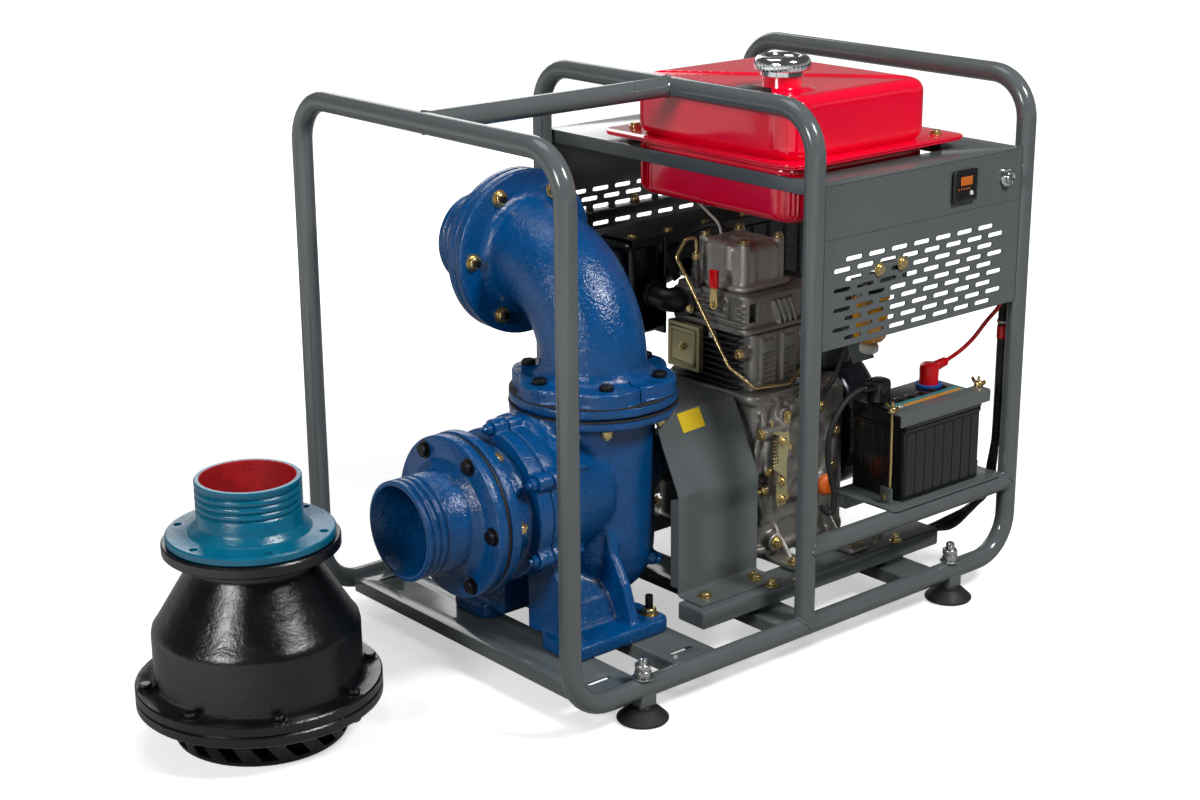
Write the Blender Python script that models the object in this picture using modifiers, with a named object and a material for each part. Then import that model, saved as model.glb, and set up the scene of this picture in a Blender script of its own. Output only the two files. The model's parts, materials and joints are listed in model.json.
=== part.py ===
"""Diesel trash pump set: a self-priming pump and an air-cooled engine in a tube frame,
with the foot valve of its suction hose standing beside it.  Metres, +Z up.

X runs from the suction end (-X) to the engine end (+X), Y from the control side (-Y)
to the discharge side (+Y).  The origin is on the ground, under the middle of the set.
"""
import bmesh
import bpy
from math import cos, sin, pi, radians, sqrt, tan
from mathutils import Vector

GAP = 0.0003            # running and seating clearance between touching pieces

# ---- tube frame -------------------------------------------------------------------
TUBE_R = 0.016          # frame tube, outer radius
FRAME_L = 0.970         # front hoop to rear hoop, tube centres
FRAME_W = 0.6365        # near side to far side, tube centres
FRAME_H = 0.815         # bottom rail to top tube, tube centres
MIDDLE_X = 0.479        # front hoop to middle hoop
BEND_R = 0.070          # bend radius of the tube centre line
RAIL_H = 0.0507         # bottom rail centre above the ground
TRAY_RAIL_H = 0.128     # battery rail centre above the bottom rail
FOOT_FRONT = 0.138      # front feet behind the front hoop
FOOT_REAR = 0.141       # rear feet ahead of the rear hoop
FOOT_R = 0.040          # rubber foot radius
FOOT_H = 0.033          # rubber foot height
STUD_R = 0.007          # foot stud radius
STUD_PROUD = 0.034      # foot stud above the rail
FOOT_NUT_R = 0.0135     # nut on the rail, across corners / 2
FOOT_NUT_T = 0.014
FOOT_BLOCK_L = 0.025    # block under the rail that a foot bears on
FOOT_BLOCK_DROP = 0.010 # block below the underside of the rail
HOOP_STUB = 0.012       # straight tube beyond the hoops' lower bends
COPE = 0.4              # share of a tube's radius that a coped end reaches past

# ---- foot valve -------------------------------------------------------------------
VALVE_AHEAD = 0.302     # foot valve axis ahead of the front hoop
VALVE_INSET = 0.3476    # foot valve axis from the near side
VALVE_BASE_R = 0.179    # lower flanges
VALVE_BODY_R = 0.151    # cylinder of the body
VALVE_TOP_R = 0.128     # upper flange of the body
BASKET_R = 0.127        # strainer basket
BASKET_SLOTS = 12
BASKET_H = 0.056        # strainer basket, ground to lower flange
VALVE_FLANGE_T = 0.016  # each lower flange
VALVE_BODY_H = 0.2865   # ground to the underside of the upper flange
VALVE_TOP_T = 0.017     # upper flange of the body
VALVE_SHOULDER = 0.121  # top of the cylinder above the bottom rail
VALVE_WALL = 0.010
VALVE_MOUTH = 0.3434    # mouth of the hose tail above the bottom rail
VALVE_TAIL_FLANGE_R = 0.1225
VALVE_TAIL_FLANGE_T = 0.012
VALVE_FLAP_R = 0.092
VALVE_FLAP_T = 0.008
VALVE_HINGE = 0.100     # flap's hinge from the valve's axis
TAIL_HOLE_R = 0.0065
TAIL_HOLES_AT = 0.20    # turn of the upper flange's holes, radians

# ---- origin ------------------------------------------------------------------------
FRONT_X = -((FRAME_L + TUBE_R) - (VALVE_AHEAD + VALVE_BASE_R)) / 2
REAR_X = FRONT_X + FRAME_L
MID_X = FRONT_X + MIDDLE_X
FEET_X = (("front", FRONT_X + FOOT_FRONT), ("rear", REAR_X - FOOT_REAR))
NEAR_Y = -FRAME_W / 2
FAR_Y = FRAME_W / 2
RAIL_Z = RAIL_H
TOP_Z = RAIL_Z + FRAME_H

# ---- base channels and bed beams ----------------------------------------------------
SHEET = 0.003           # folded sheet thickness
CHANNEL_TOP = RAIL_Z + 0.006
CHANNEL_H = 0.022
FRONT_CHANNEL = (0.050, 0.145)      # start and end behind the front hoop
SECOND_CHANNEL = (0.220, 0.305)
BED_FRONT_CHANNEL = (0.440, 0.510)
BED_REAR_CHANNEL = (0.735, 0.805)
SLOT_L = 0.045          # adjusting slots in the pump channels
SLOT_W = 0.009
SLOT_INSET = 0.052      # slot centre from the side's tube centre
BEAM_TOP = RAIL_Z + 0.048
BEAM_H = 0.030
BEAM_W = 0.060
BEAM_INSET = 0.090      # near beam centre from the near side
MOUNT_HALF = (0.022, 0.020)     # rubber mounts under the beams, X and Y
BEAM_START = 0.318
BEAM_END = 0.870

# ---- pump ---------------------------------------------------------------------------
PUMP_INSET = 0.271      # shaft axis from the near side
SHAFT_H = 0.2287        # shaft axis above the bottom rail
CHAMBER_X = 0.2775      # discharge axis behind the front hoop
CHAMBER_R = 0.096       # vertical chamber, outside
PORT_R = 0.068          # bore of the ports
CAVITY_R = 0.098        # volute cavity
FLANGE_R = 0.1325       # discharge flanges
FLANGE_BOLTS_R = 0.108  # bolt circle of every pipe flange
FLANGE_BOLTS = 6
BODY_FLANGE_Z = 0.3412  # underside of the discharge flange above the bottom rail
BODY_FLANGE_T = 0.018
VOLUTE_R = 0.112
VOLUTE_FRONT = 0.1003   # front face of the body behind the front hoop
COVER_R = 0.118         # cover ring and body ring
COVER_T = 0.025
COVER_BOLTS_R = 0.121
LUG_R = 0.014
LUG_PROUD = 0.002       # lugs beyond the ring's outer face
LUG_SHY = 0.0005        # lugs short of the joint face
SUCTION_R = 0.126       # suction flanges
SUCTION_T = 0.018
GASKET_T = 0.006
SUCTION_X = 0.009       # back of the hose tail's flange behind the front hoop
TAIL_R = 0.0763         # hose tail, outer radius
TAIL_L = 0.1085         # hose tail, mouth to the back of its flange
TAIL_ROOT_R = 0.088
GROOVES = 3
GROOVE_PITCH = 0.0125
GROOVE_D = 0.0025
FLAP_R = 0.062          # non-return flap
FLAP_T = 0.006
FLAP_WEIGHT_R = 0.034   # iron disc behind the flap
FLAP_PORT_R = 0.057
NECK_BORE_R = 0.080
COVER_NECK_R = 0.097    # suction cover between its flange and its ring
PLATE_START = 0.105     # pump foot plates behind the front hoop
PLATE_END = 0.302
PLATE_REACH = 0.157     # outer edge of a foot plate from the shaft axis
PLATE_W = 0.093
PLATE_T = 0.024
BODY_BOTTOM = 0.040     # floor of the chamber above the bottom rail
BODY_CORNER = 0.040     # rounding of the chamber's floor
HUB_R = 0.055           # bearing housing
WEB_T = 0.016           # ribs from the body to the foot plates
SHAFT_R = 0.0125
IMPELLER_R = 0.088
COUPLING_R = 0.045
COUPLING_X = 0.440      # split of the coupling behind the front hoop
ELBOW_R = 0.084         # elbow, outside of the pipe
ELBOW_BEND = 0.148      # bend radius of the elbow's centre line
ELBOW_RISE = 0.0135     # straight pipe above the lower flange
ELBOW_RUN = 0.030       # straight pipe up to the outlet's face
ELBOW_FLANGE_T = 0.040
OUTLET_FLANGE_T = 0.018
OUTLET_TAIL_L = 0.116
HEX_R = 0.0115          # flange bolts, across corners / 2
HEX_T = 0.009

# ---- coupling guard -----------------------------------------------------------------
GUARD_START = 0.330
GUARD_END = 0.502
GUARD_HALF_W = 0.141    # lower walls from the shaft axis
GUARD_TOP_HALF_W = 0.083
GUARD_KNEE_Z = 0.216    # above the bottom rail
GUARD_TOP_Z = 0.330
GUARD_FOOT = 0.055

# ---- engine -------------------------------------------------------------------------
ENGINE_FRONT = 0.508    # crankcase front face behind the front hoop
CRANKCASE_L = 0.228
CRANKCASE_HALF_W = 0.125
CRANKCASE_TOP = 0.330   # above the bottom rail
ENGINE_FOOT_T = 0.012
GEAR_COVER_R = 0.104    # round cover on the near face
GEAR_COVER_X = 0.112    # its centre behind the crankcase front
GEAR_COVER_T = 0.014
OIL_CAP = (0.142, -0.066)   # behind the crankcase front, above the shaft
OIL_CAP_R = 0.018
CYLINDER_START = 0.530
CYLINDER_L = 0.150
CYLINDER_HALF_W = 0.080
CYLINDER_H = 0.095
FINS = 5
FIN_T = 0.005
FIN_REACH = 0.012
HEAD_START = 0.520
HEAD_L = 0.180
HEAD_HALF_W = 0.090
HEAD_H = 0.062
ROCKER_START = 0.537
ROCKER_L = 0.118
ROCKER_HALF_W = 0.065
ROCKER_H = 0.078
FAN_R = 0.133
FAN_L = 0.075
FAN_WALL = 0.004
FLYWHEEL_R = 0.118
FLYWHEEL_T = 0.035
DECOMPRESSION = (0.006, -0.030, 0.046)  # lever's axis from the head's front, the shaft
                                        # line and the cylinder's top
INJECTOR = (0.003, 0.030)       # from the head's front and the shaft line
THROTTLE = (0.566, 0.070)       # lever pivot behind the front hoop, above the shaft
CLEANER_START = 0.455
CLEANER_L = 0.085
DUCT_R = 0.019          # intake duct between the cleaner and the head
MUFFLER_R = 0.050
MUFFLER_L = 0.200
EXHAUST_R = 0.015
PIPE_R = 0.003          # fuel injection pipe
LEVER_T = 0.003
LEVER_W = 0.014

# ---- sheet metal and tank -----------------------------------------------------------
SHELF_TOP = 0.704       # above the bottom rail
SHELF_LIP = 0.022
PANEL_Y = 0.008         # panel face outside the tube centres
PANEL_BOTTOM = 0.447    # above the bottom rail
VENT_L = 0.038
VENT_H = 0.0075
VENT_PITCH_X = 0.0515
VENT_PITCH_Z = 0.0155
VENT_ROWS = 9
VENT_BOTTOM = 0.460     # lowest row of vents above the bottom rail
VENT_MARGIN = 0.022
TANK_START = 0.500      # tank body behind the front hoop
TANK_L = 0.318
TANK_INSET = 0.066      # tank body from the near side
TANK_W = 0.372
TANK_R = 0.035
TANK_RIM = (0.022, 0.068, 0.021, 0.052)     # flange beyond the body: front, rear, near, far
TANK_RIM_R = 0.030
TANK_EDGE = 0.014       # rounding of a half's flat face
TANK_STAND = 0.018      # seam above the shelf
TANK_UPPER_H = 0.100    # flat top above the seam
TANK_LOWER_H = 0.096    # flat bottom below the seam
TANK_SHEET = 0.003
TANK_WALL = 0.006       # thickness of a tank half
TANK_DRAFT = 0.004      # how far a half draws in towards its flat face
NECK = (0.060, 0.085)   # filler axis from the tank's front and near faces
NECK_R = 0.030
NECK_H = 0.030
CAP_R = 0.044
CAP_H = 0.022

# ---- controls and battery -----------------------------------------------------------
METER = (0.162, 0.661)  # centre ahead of the rear hoop, above the bottom rail
METER_W = 0.056
METER_H = 0.052
METER_T = 0.010
KEY = (0.055, 0.660)    # centre ahead of the rear hoop, above the bottom rail
KEY_R = 0.015
KEY_T = 0.014
BATTERY_REAR = 0.070    # battery ahead of the rear hoop
BATTERY_L = 0.190
BATTERY_INSET = 0.004
BATTERY_W = 0.118
BATTERY_H = 0.150
TRAY_L = 0.275
TRAY_REAR = 0.025       # tray ahead of the rear hoop
TRAY_W = 0.137
BAR_W = 0.028           # hold-down angle
BAR_OVER = 0.016        # hold-down angle beyond the battery, each end
BAR_LIP = 0.018
ROD_R = 0.003
ROD_INSET = 0.020       # hold-down rods from the battery's near face
TAB_BEHIND = 0.008      # tray's hook tabs ahead of the rods
POST_R = 0.008          # battery terminal
POST_INSET = 0.034      # terminals from the battery's far face
FILTER_X = 0.660        # fuel filter axis
FILTER_INSET = 0.045
FILTER_R = 0.0285
FILTER_TOP = 0.500
FILTER_BOTTOM = 0.420
LEAD_R = 0.0055
HARNESS_R = 0.008

# ---- worked-out places --------------------------------------------------------------
PUMP_Y = NEAR_Y + PUMP_INSET
SHAFT_Z = RAIL_Z + SHAFT_H
AXIS_X = FRONT_X + CHAMBER_X
VALVE_X = FRONT_X - VALVE_AHEAD
VALVE_Y = NEAR_Y + VALVE_INSET
COVER_FRONT = FRONT_X + SUCTION_X + GASKET_T + 2 * GAP
FLANGE_TOP = RAIL_Z + BODY_FLANGE_Z + BODY_FLANGE_T
ELBOW_BASE = FLANGE_TOP + GAP
OUTLET_Z = ELBOW_BASE + ELBOW_FLANGE_T + ELBOW_RISE + ELBOW_BEND
OUTLET_Y = PUMP_Y + ELBOW_BEND + ELBOW_RUN
TRAY_Z = RAIL_Z + TRAY_RAIL_H + TUBE_R + GAP
BATTERY_X = REAR_X - BATTERY_REAR - BATTERY_L
SHELF_Z = RAIL_Z + SHELF_TOP
SEAM_Z = SHELF_Z + TANK_STAND
TANK_TOP = SEAM_Z + TANK_UPPER_H
TANK_BOTTOM = SEAM_Z - TANK_LOWER_H
PANEL_X0 = MID_X + TUBE_R + GAP
PANEL_X1 = REAR_X - TUBE_R - GAP
CRANK_TOP = RAIL_Z + CRANKCASE_TOP
CYLINDER_TOP = CRANK_TOP + GAP + CYLINDER_H
HEAD_TOP = CYLINDER_TOP + GAP + HEAD_H
FAN_X = FRONT_X + ENGINE_FRONT + CRANKCASE_L + GAP

PARTS = None
TOOLS = None


# ---- scene and materials --------------------------------------------------------------
def clear_scene():
    for obj in list(bpy.data.objects):
        bpy.data.objects.remove(obj, do_unlink=True)


def new_collection(name):
    group = bpy.data.collections.new(name)
    bpy.context.scene.collection.children.link(group)
    return group


def linear(channel):
    return channel / 12.92 if channel <= 0.04045 else ((channel + 0.055) / 1.055) ** 2.4


def material(name, colour, roughness, metallic=0.0):
    mat = bpy.data.materials.get(name)
    if mat is None:
        mat = bpy.data.materials.new(name)
        mat.use_nodes = True
        shader = mat.node_tree.nodes["Principled BSDF"]
        rgb = [linear(int(colour[i:i + 2], 16) / 255) for i in (0, 2, 4)]
        shader.inputs["Base Color"].default_value = (*rgb, 1.0)
        shader.inputs["Roughness"].default_value = roughness
        shader.inputs["Metallic"].default_value = metallic
    return mat


FINISHES = {
    "frame_paint": ("5b6163", 0.35, 0.0),
    "sheet_paint": ("565b5e", 0.40, 0.0),
    "pump_enamel": ("0b4f8a", 0.35, 0.0),
    "valve_enamel": ("0f6d94", 0.35, 0.0),
    "valve_black": ("141517", 0.35, 0.0),
    "tank_red": ("e4002b", 0.18, 0.0),
    "cast_aluminium": ("8b8680", 0.45, 0.9),
    "black_paint": ("17181a", 0.40, 0.0),
    "black_rubber": ("151515", 0.75, 0.0),
    "black_plastic": ("1b1c1e", 0.45, 0.0),
    "red_rubber": ("d8121c", 0.55, 0.0),
    "amber_plastic": ("d9930f", 0.20, 0.0),
    "white_plastic": ("d8d8d4", 0.40, 0.0),
    "orange_plastic": ("e8651a", 0.40, 0.0),
    "zinc": ("b9b7b0", 0.30, 1.0),
    "yellow_zinc": ("b08d3c", 0.30, 1.0),
    "chrome": ("d8dadb", 0.12, 1.0),
    "cast_iron": ("3a3a3c", 0.55, 0.8),
}


# ---- modelling tools ------------------------------------------------------------------
def adopt(obj, name, finish):
    """Name an object, put it in the parts collection and give it its finish."""
    obj.name = name
    obj.data.name = name
    for group in list(obj.users_collection):
        group.objects.unlink(obj)
    PARTS.objects.link(obj)
    if finish:
        obj.data.materials.clear()
        obj.data.materials.append(material(finish, *FINISHES[finish]))
    return obj


def to_tools(obj):
    for group in list(obj.users_collection):
        group.objects.unlink(obj)
    TOOLS.objects.link(obj)
    obj.hide_render = True
    obj.display_type = 'WIRE'
    return obj


def box(name, low, high, finish=None, bevel=0.0, segments=1):
    """A block between two corners, with its edges rounded if a bevel is given."""
    centre = [(a + b) / 2 for a, b in zip(low, high)]
    bpy.ops.mesh.primitive_cube_add(size=1, location=centre)
    obj = bpy.context.object
    for v in obj.data.vertices:
        v.co = [c * (b - a) for c, a, b in zip(v.co, low, high)]
    adopt(obj, name, finish)
    if bevel:
        mod = obj.modifiers.new("edges", 'BEVEL')
        mod.width = bevel
        mod.segments = segments
        mod.limit_method = 'ANGLE'
    return obj


TURN = {'X': (0, pi / 2, 0), 'Y': (-pi / 2, 0, 0), 'Z': (0, 0, 0)}


def rod(name, centre, axis, radius, length, finish=None, sides=16):
    """A round bar, pin or hexagon (sides=6) centred on a point."""
    bpy.ops.mesh.primitive_cylinder_add(vertices=sides, radius=radius, depth=length,
                                        location=centre, rotation=TURN[axis])
    return adopt(bpy.context.object, name, finish)


def bore(name, centre, axis, radius, length, sides=24):
    """A round cutter whose flats, not its corners, lie at the radius."""
    corner, half = radius / cos(pi / sides), length / 2
    return to_tools(turned(name, [(0, half), (corner, half), (corner, -half), (0, -half)],
                           centre, axis, steps=sides, phase=0.25))


def turned(name, outline, where, axis, finish=None, steps=20, phase=0.5):
    """A turned piece.  The outline is (radius, height) down its outside, then up its
    inside; heights are along the axis from the given point.  The phase is the share of
    one step by which its flats are turned about the axis."""
    mesh = bpy.data.meshes.new(name)
    start = phase * 2 * pi / steps
    points = [(r * cos(start), r * sin(start), h) for r, h in outline]
    edges = [(i, i + 1) for i in range(len(points) - 1)]
    if outline[0][0] > 1e-6 or outline[-1][0] > 1e-6:
        edges.append((len(points) - 1, 0))
    mesh.from_pydata(points, edges, [])
    obj = bpy.data.objects.new(name, mesh)
    obj.location = where
    obj.rotation_euler = TURN[axis]
    bpy.context.scene.collection.objects.link(obj)
    adopt(obj, name, finish)
    mod = obj.modifiers.new("turn", 'SCREW')
    mod.steps = steps
    mod.render_steps = steps
    mod.use_merge_vertices = True
    mod.merge_threshold = 0.0001
    return obj


def meshed(obj, split=False):
    """Swap a curve object for its welded mesh, so that it can be cut and joined."""
    graph = bpy.context.evaluated_depsgraph_get()
    mesh = bpy.data.meshes.new_from_object(obj.evaluated_get(graph))
    weld(mesh, split)
    solid = bpy.data.objects.new(obj.name, mesh)
    solid.matrix_world = obj.matrix_world.copy()
    name = obj.name
    bpy.data.objects.remove(obj, do_unlink=True)
    solid.name = name
    bpy.context.scene.collection.objects.link(solid)
    return solid


def weld(mesh, split):
    bm = bmesh.new()
    bm.from_mesh(mesh)
    bmesh.ops.remove_doubles(bm, verts=bm.verts, dist=0.00001)
    if split:
        bmesh.ops.triangulate(bm, faces=bm.faces)
    bmesh.ops.recalc_face_normals(bm, faces=bm.faces)
    bm.to_mesh(mesh)
    bm.free()


def tube(name, points, radius, finish=None, roundness=4):
    """A tube or cord along points, with closed ends."""
    curve = bpy.data.curves.new(name, 'CURVE')
    curve.dimensions = '3D'
    curve.bevel_depth = radius
    curve.bevel_resolution = roundness
    curve.use_fill_caps = True
    line = curve.splines.new('POLY')
    line.points.add(len(points) - 1)
    for p, co in zip(line.points, points):
        p.co = (*co, 1.0)
    obj = bpy.data.objects.new(name, curve)
    bpy.context.scene.collection.objects.link(obj)
    return adopt(meshed(obj, split=True), name, finish)


FLAT = {'X': (pi / 2, 0, pi / 2), 'Y': (pi / 2, 0, 0), 'Z': (0, 0, 0)}


def outline(name, points, axis, low, high, finish=None):
    """A flat outline given depth along an axis.  Points are (y, z) for X, (x, z) for Y
    and (x, y) for Z."""
    curve = bpy.data.curves.new(name, 'CURVE')
    curve.dimensions = '2D'
    curve.fill_mode = 'BOTH'
    curve.extrude = (high - low) / 2
    line = curve.splines.new('POLY')
    line.use_cyclic_u = True
    line.points.add(len(points) - 1)
    for p, (a, b) in zip(line.points, points):
        p.co = (a, b, 0.0, 1.0)
    obj = bpy.data.objects.new(name, curve)
    bpy.context.scene.collection.objects.link(obj)
    obj.rotation_euler = FLAT[axis]
    middle = (low + high) / 2
    obj.location = {'X': (middle, 0, 0), 'Y': (0, middle, 0), 'Z': (0, 0, middle)}[axis]
    bpy.context.view_layer.update()
    return adopt(meshed(obj), name, finish)


def boolean(obj, other, operation):
    if other.name not in TOOLS.objects:
        to_tools(other)
    mod = obj.modifiers.new(other.name, 'BOOLEAN')
    mod.operation = operation
    mod.object = other
    mod.solver = 'EXACT'


def join(obj, *others):
    for other in others:
        boolean(obj, other, 'UNION')
    return obj


def cut(obj, *others):
    for other in others:
        boolean(obj, other, 'DIFFERENCE')
    return obj


def gather(pieces):
    """Put separate blocks that do not touch into the first one's mesh."""
    graph = bpy.context.evaluated_depsgraph_get()
    whole, *rest = pieces
    bm = bmesh.new()
    for piece in pieces:
        shape = bpy.data.meshes.new_from_object(piece.evaluated_get(graph))
        shape.transform(whole.matrix_world.inverted() @ piece.matrix_world)
        bm.from_mesh(shape)
    whole.modifiers.clear()
    bm.to_mesh(whole.data)
    bm.free()
    for piece in rest:
        bpy.data.objects.remove(piece, do_unlink=True)
    return whole


def arc(centre, radius, start, end, steps):
    """Points of an arc in degrees, as (a, b) pairs."""
    turn = [radians(start + (end - start) * i / steps) for i in range(steps + 1)]
    return [(centre[0] + radius * cos(t), centre[1] + radius * sin(t)) for t in turn]


def filleted(corners, radius, steps=4):
    """A path through 3-D corners with each inner corner rounded to a radius."""
    corners = [Vector(c) for c in corners]
    path = [corners[0]]
    for before, corner, after in zip(corners, corners[1:], corners[2:]):
        a = (before - corner).normalized()
        b = (after - corner).normalized()
        reach = radius / tan(a.angle(b) / 2)
        start, end = corner + a * reach, corner + b * reach
        middle = corner + (a + b).normalized() * sqrt(radius ** 2 + reach ** 2)
        u, w = start - middle, end - middle
        sweep = u.angle(w)
        for i in range(steps + 1):
            t = i / steps
            path.append(middle + (u * sin((1 - t) * sweep) + w * sin(t * sweep)) / sin(sweep))
    path.append(corners[-1])
    return [tuple(p) for p in path]


def smooth(points, every):
    """Points at even spacing along a smooth curve through a route's own points."""
    route = [Vector(p) for p in points]
    ends = [2 * route[0] - route[1]] + route + [2 * route[-1] - route[-2]]
    fine = []
    for p0, p1, p2, p3 in zip(ends, ends[1:], ends[2:], ends[3:]):
        for i in range(12):
            t = i / 12
            fine.append(0.5 * (2 * p1 + (p2 - p0) * t + (2 * p0 - 5 * p1 + 4 * p2 - p3) * t * t
                               + (3 * p1 - p0 - 3 * p2 + p3) * t ** 3))
    fine.append(route[-1])
    length = sum((b - a).length for a, b in zip(fine, fine[1:]))
    count = max(4, round(length / every))
    out, run, k = [tuple(fine[0])], 0.0, 1
    for a, b in zip(fine, fine[1:]):
        step = (b - a).length
        while k < count and run + step >= length * k / count:
            out.append(tuple(a.lerp(b, (length * k / count - run) / step)))
            k += 1
        run += step
    out.append(tuple(fine[-1]))
    return out


def round_corners(x0, x1, y0, y1, radius, steps=4):
    """A rectangle outline with rounded corners."""
    return (arc((x1 - radius, y0 + radius), radius, -90, 0, steps)
            + arc((x1 - radius, y1 - radius), radius, 0, 90, steps)
            + arc((x0 + radius, y1 - radius), radius, 90, 180, steps)
            + arc((x0 + radius, y0 + radius), radius, 180, 270, steps))


def bolt_ring(name, centre, axis, radius, count, height, sign=1, start=0.0, size=HEX_R):
    """Hexagon heads or nuts on a bolt circle, sunk a little into their flange."""
    heads = []
    sunk = 0.002
    for i in range(count):
        t = start + 2 * pi * i / count
        a, b = radius * cos(t), radius * sin(t)
        along = sign * (height - sunk) / 2
        x, y, z = centre
        place = {'X': (x + along, y + a, z + b), 'Y': (x + a, y + along, z + b),
                 'Z': (x + a, y + b, z + along)}[axis]
        heads.append(rod(f"{name}_{i}", place, axis, size, height + sunk, sides=6))
    return gather(heads)


# ---- frame ----------------------------------------------------------------------------
def rail_cutter(name, y):
    """The space of a bottom rail, for coping what butts on it."""
    return bore(name, ((FRONT_X + REAR_X) / 2, y, RAIL_Z), 'X', TUBE_R + GAP, FRAME_L)


def build_hoops():
    stub = BEND_R + HOOP_STUB
    for name, x, inward in (("front_hoop", FRONT_X, 1), ("rear_hoop", REAR_X, -1)):
        corners = [(x + inward * stub, NEAR_Y, RAIL_Z), (x, NEAR_Y, RAIL_Z),
                   (x, NEAR_Y, TOP_Z), (x, FAR_Y, TOP_Z),
                   (x, FAR_Y, RAIL_Z), (x + inward * stub, FAR_Y, RAIL_Z)]
        tube(name, filleted(corners, BEND_R), TUBE_R, "frame_paint")
    foot = RAIL_Z + COPE * TUBE_R
    corners = [(MID_X, NEAR_Y, foot), (MID_X, NEAR_Y, TOP_Z),
               (MID_X, FAR_Y, TOP_Z), (MID_X, FAR_Y, foot)]
    middle = tube("middle_hoop", filleted(corners, BEND_R), TUBE_R, "frame_paint")
    cut(middle, rail_cutter("cope_near", NEAR_Y), rail_cutter("cope_far", FAR_Y))
    return stub


def build_rails(stub):
    """Bottom rails with the blocks that carry the feet, the spine and the battery rail."""
    block = (FOOT_BLOCK_L / 2, TUBE_R - 0.001, TUBE_R + FOOT_BLOCK_DROP)
    for side, y in (("near", NEAR_Y), ("far", FAR_Y)):
        ends = [(FRONT_X + stub + GAP, y, RAIL_Z), (REAR_X - stub - GAP, y, RAIL_Z)]
        rail = tube(f"{side}_rail", ends, TUBE_R, "frame_paint")
        for end, x in FEET_X:
            join(rail, box(f"{side}_{end}_block",
                           (x - block[0], y - block[1], RAIL_Z - block[2]),
                           (x + block[0], y + block[1], RAIL_Z - 0.003), bevel=0.002))
            cut(rail, bore(f"{side}_{end}_hole", (x, y, RAIL_Z), 'Z', STUD_R + GAP, 0.09, 12))
    spine = tube("spine_tube", [(FRONT_X + COPE * TUBE_R, 0, TOP_Z),
                                (MID_X - COPE * TUBE_R, 0, TOP_Z)], TUBE_R, "frame_paint")
    for name, x in (("cope_front_top", FRONT_X), ("cope_middle_top", MID_X)):
        cut(spine, bore(name, (x, 0, TOP_Z), 'Y', TUBE_R + GAP, 0.1))
    z = RAIL_Z + TRAY_RAIL_H
    tray_rail = tube("battery_rail", [(MID_X + COPE * TUBE_R, NEAR_Y, z),
                                      (REAR_X - COPE * TUBE_R, NEAR_Y, z)],
                     TUBE_R, "frame_paint")
    for name, x in (("cope_middle_leg", MID_X), ("cope_rear_leg", REAR_X)):
        cut(tray_rail, bore(name, (x, NEAR_Y, z), 'Z', TUBE_R + GAP, 0.1, 20))


def build_feet():
    top = RAIL_Z + TUBE_R
    for side, y in (("near", NEAR_Y), ("far", FAR_Y)):
        for end, x in FEET_X:
            under = RAIL_Z - TUBE_R - FOOT_BLOCK_DROP - GAP
            foot = turned(f"foot_{end}_{side}", [
                (0, top + STUD_PROUD), (STUD_R, top + STUD_PROUD), (STUD_R, under),
                (0.012, under),
                (0.012, FOOT_H - 0.012), (FOOT_R - 0.003, 0.013), (FOOT_R, 0.009),
                (FOOT_R, 0), (0, 0)], (x, y, 0), 'Z', "black_rubber", 16)
            join(foot, rod(f"nut_{end}_{side}", (x, y, top + 0.0005 + FOOT_NUT_T / 2), 'Z',
                           FOOT_NUT_R, FOOT_NUT_T, sides=6))


def build_base():
    reach = FRAME_W / 2 - TUBE_R - GAP
    channels = (("front_channel", FRONT_CHANNEL, True), ("second_channel", SECOND_CHANNEL, True),
                ("bed_front_channel", BED_FRONT_CHANNEL, False),
                ("bed_rear_channel", BED_REAR_CHANNEL, False))
    for name, (start, end), slotted in channels:
        x0, x1 = FRONT_X + start, FRONT_X + end
        low = CHANNEL_TOP - CHANNEL_H
        section = [(x0, low), (x0 + SHEET, low), (x0 + SHEET, CHANNEL_TOP - SHEET),
                   (x1 - SHEET, CHANNEL_TOP - SHEET), (x1 - SHEET, low), (x1, low),
                   (x1, CHANNEL_TOP), (x0, CHANNEL_TOP)]
        channel = outline(name, section, 'Y', -reach, reach, "sheet_paint")
        if slotted:
            middle = (x0 + x1) / 2
            for side, sign in (("near", -1), ("far", 1)):
                y = sign * (FRAME_W / 2 - SLOT_INSET)
                cut(channel, to_tools(outline(f"{name}_slot_{side}", round_corners(
                    middle - SLOT_L / 2, middle + SLOT_L / 2, y - SLOT_W / 2,
                    y + SLOT_W / 2, SLOT_W / 2.2, 2), 'Z', low, CHANNEL_TOP + 0.01)))
    for side, sign in (("near", -1), ("far", 1)):
        y = PUMP_Y + sign * (PUMP_INSET - BEAM_INSET)
        beam = box(f"{side}_bed_beam",
                   (FRONT_X + BEAM_START, y - BEAM_W / 2, BEAM_TOP - BEAM_H),
                   (FRONT_X + BEAM_END, y + BEAM_W / 2, BEAM_TOP), "sheet_paint", 0.003)
        for end, (start, stop) in (("front", BED_FRONT_CHANNEL), ("rear", BED_REAR_CHANNEL)):
            x = FRONT_X + (start + stop) / 2
            join(beam, box(f"{side}_{end}_mount",
                           (x - MOUNT_HALF[0], y - MOUNT_HALF[1], CHANNEL_TOP + GAP),
                           (x + MOUNT_HALF[0], y + MOUNT_HALF[1],
                            BEAM_TOP - BEAM_H + 0.002)))


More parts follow.
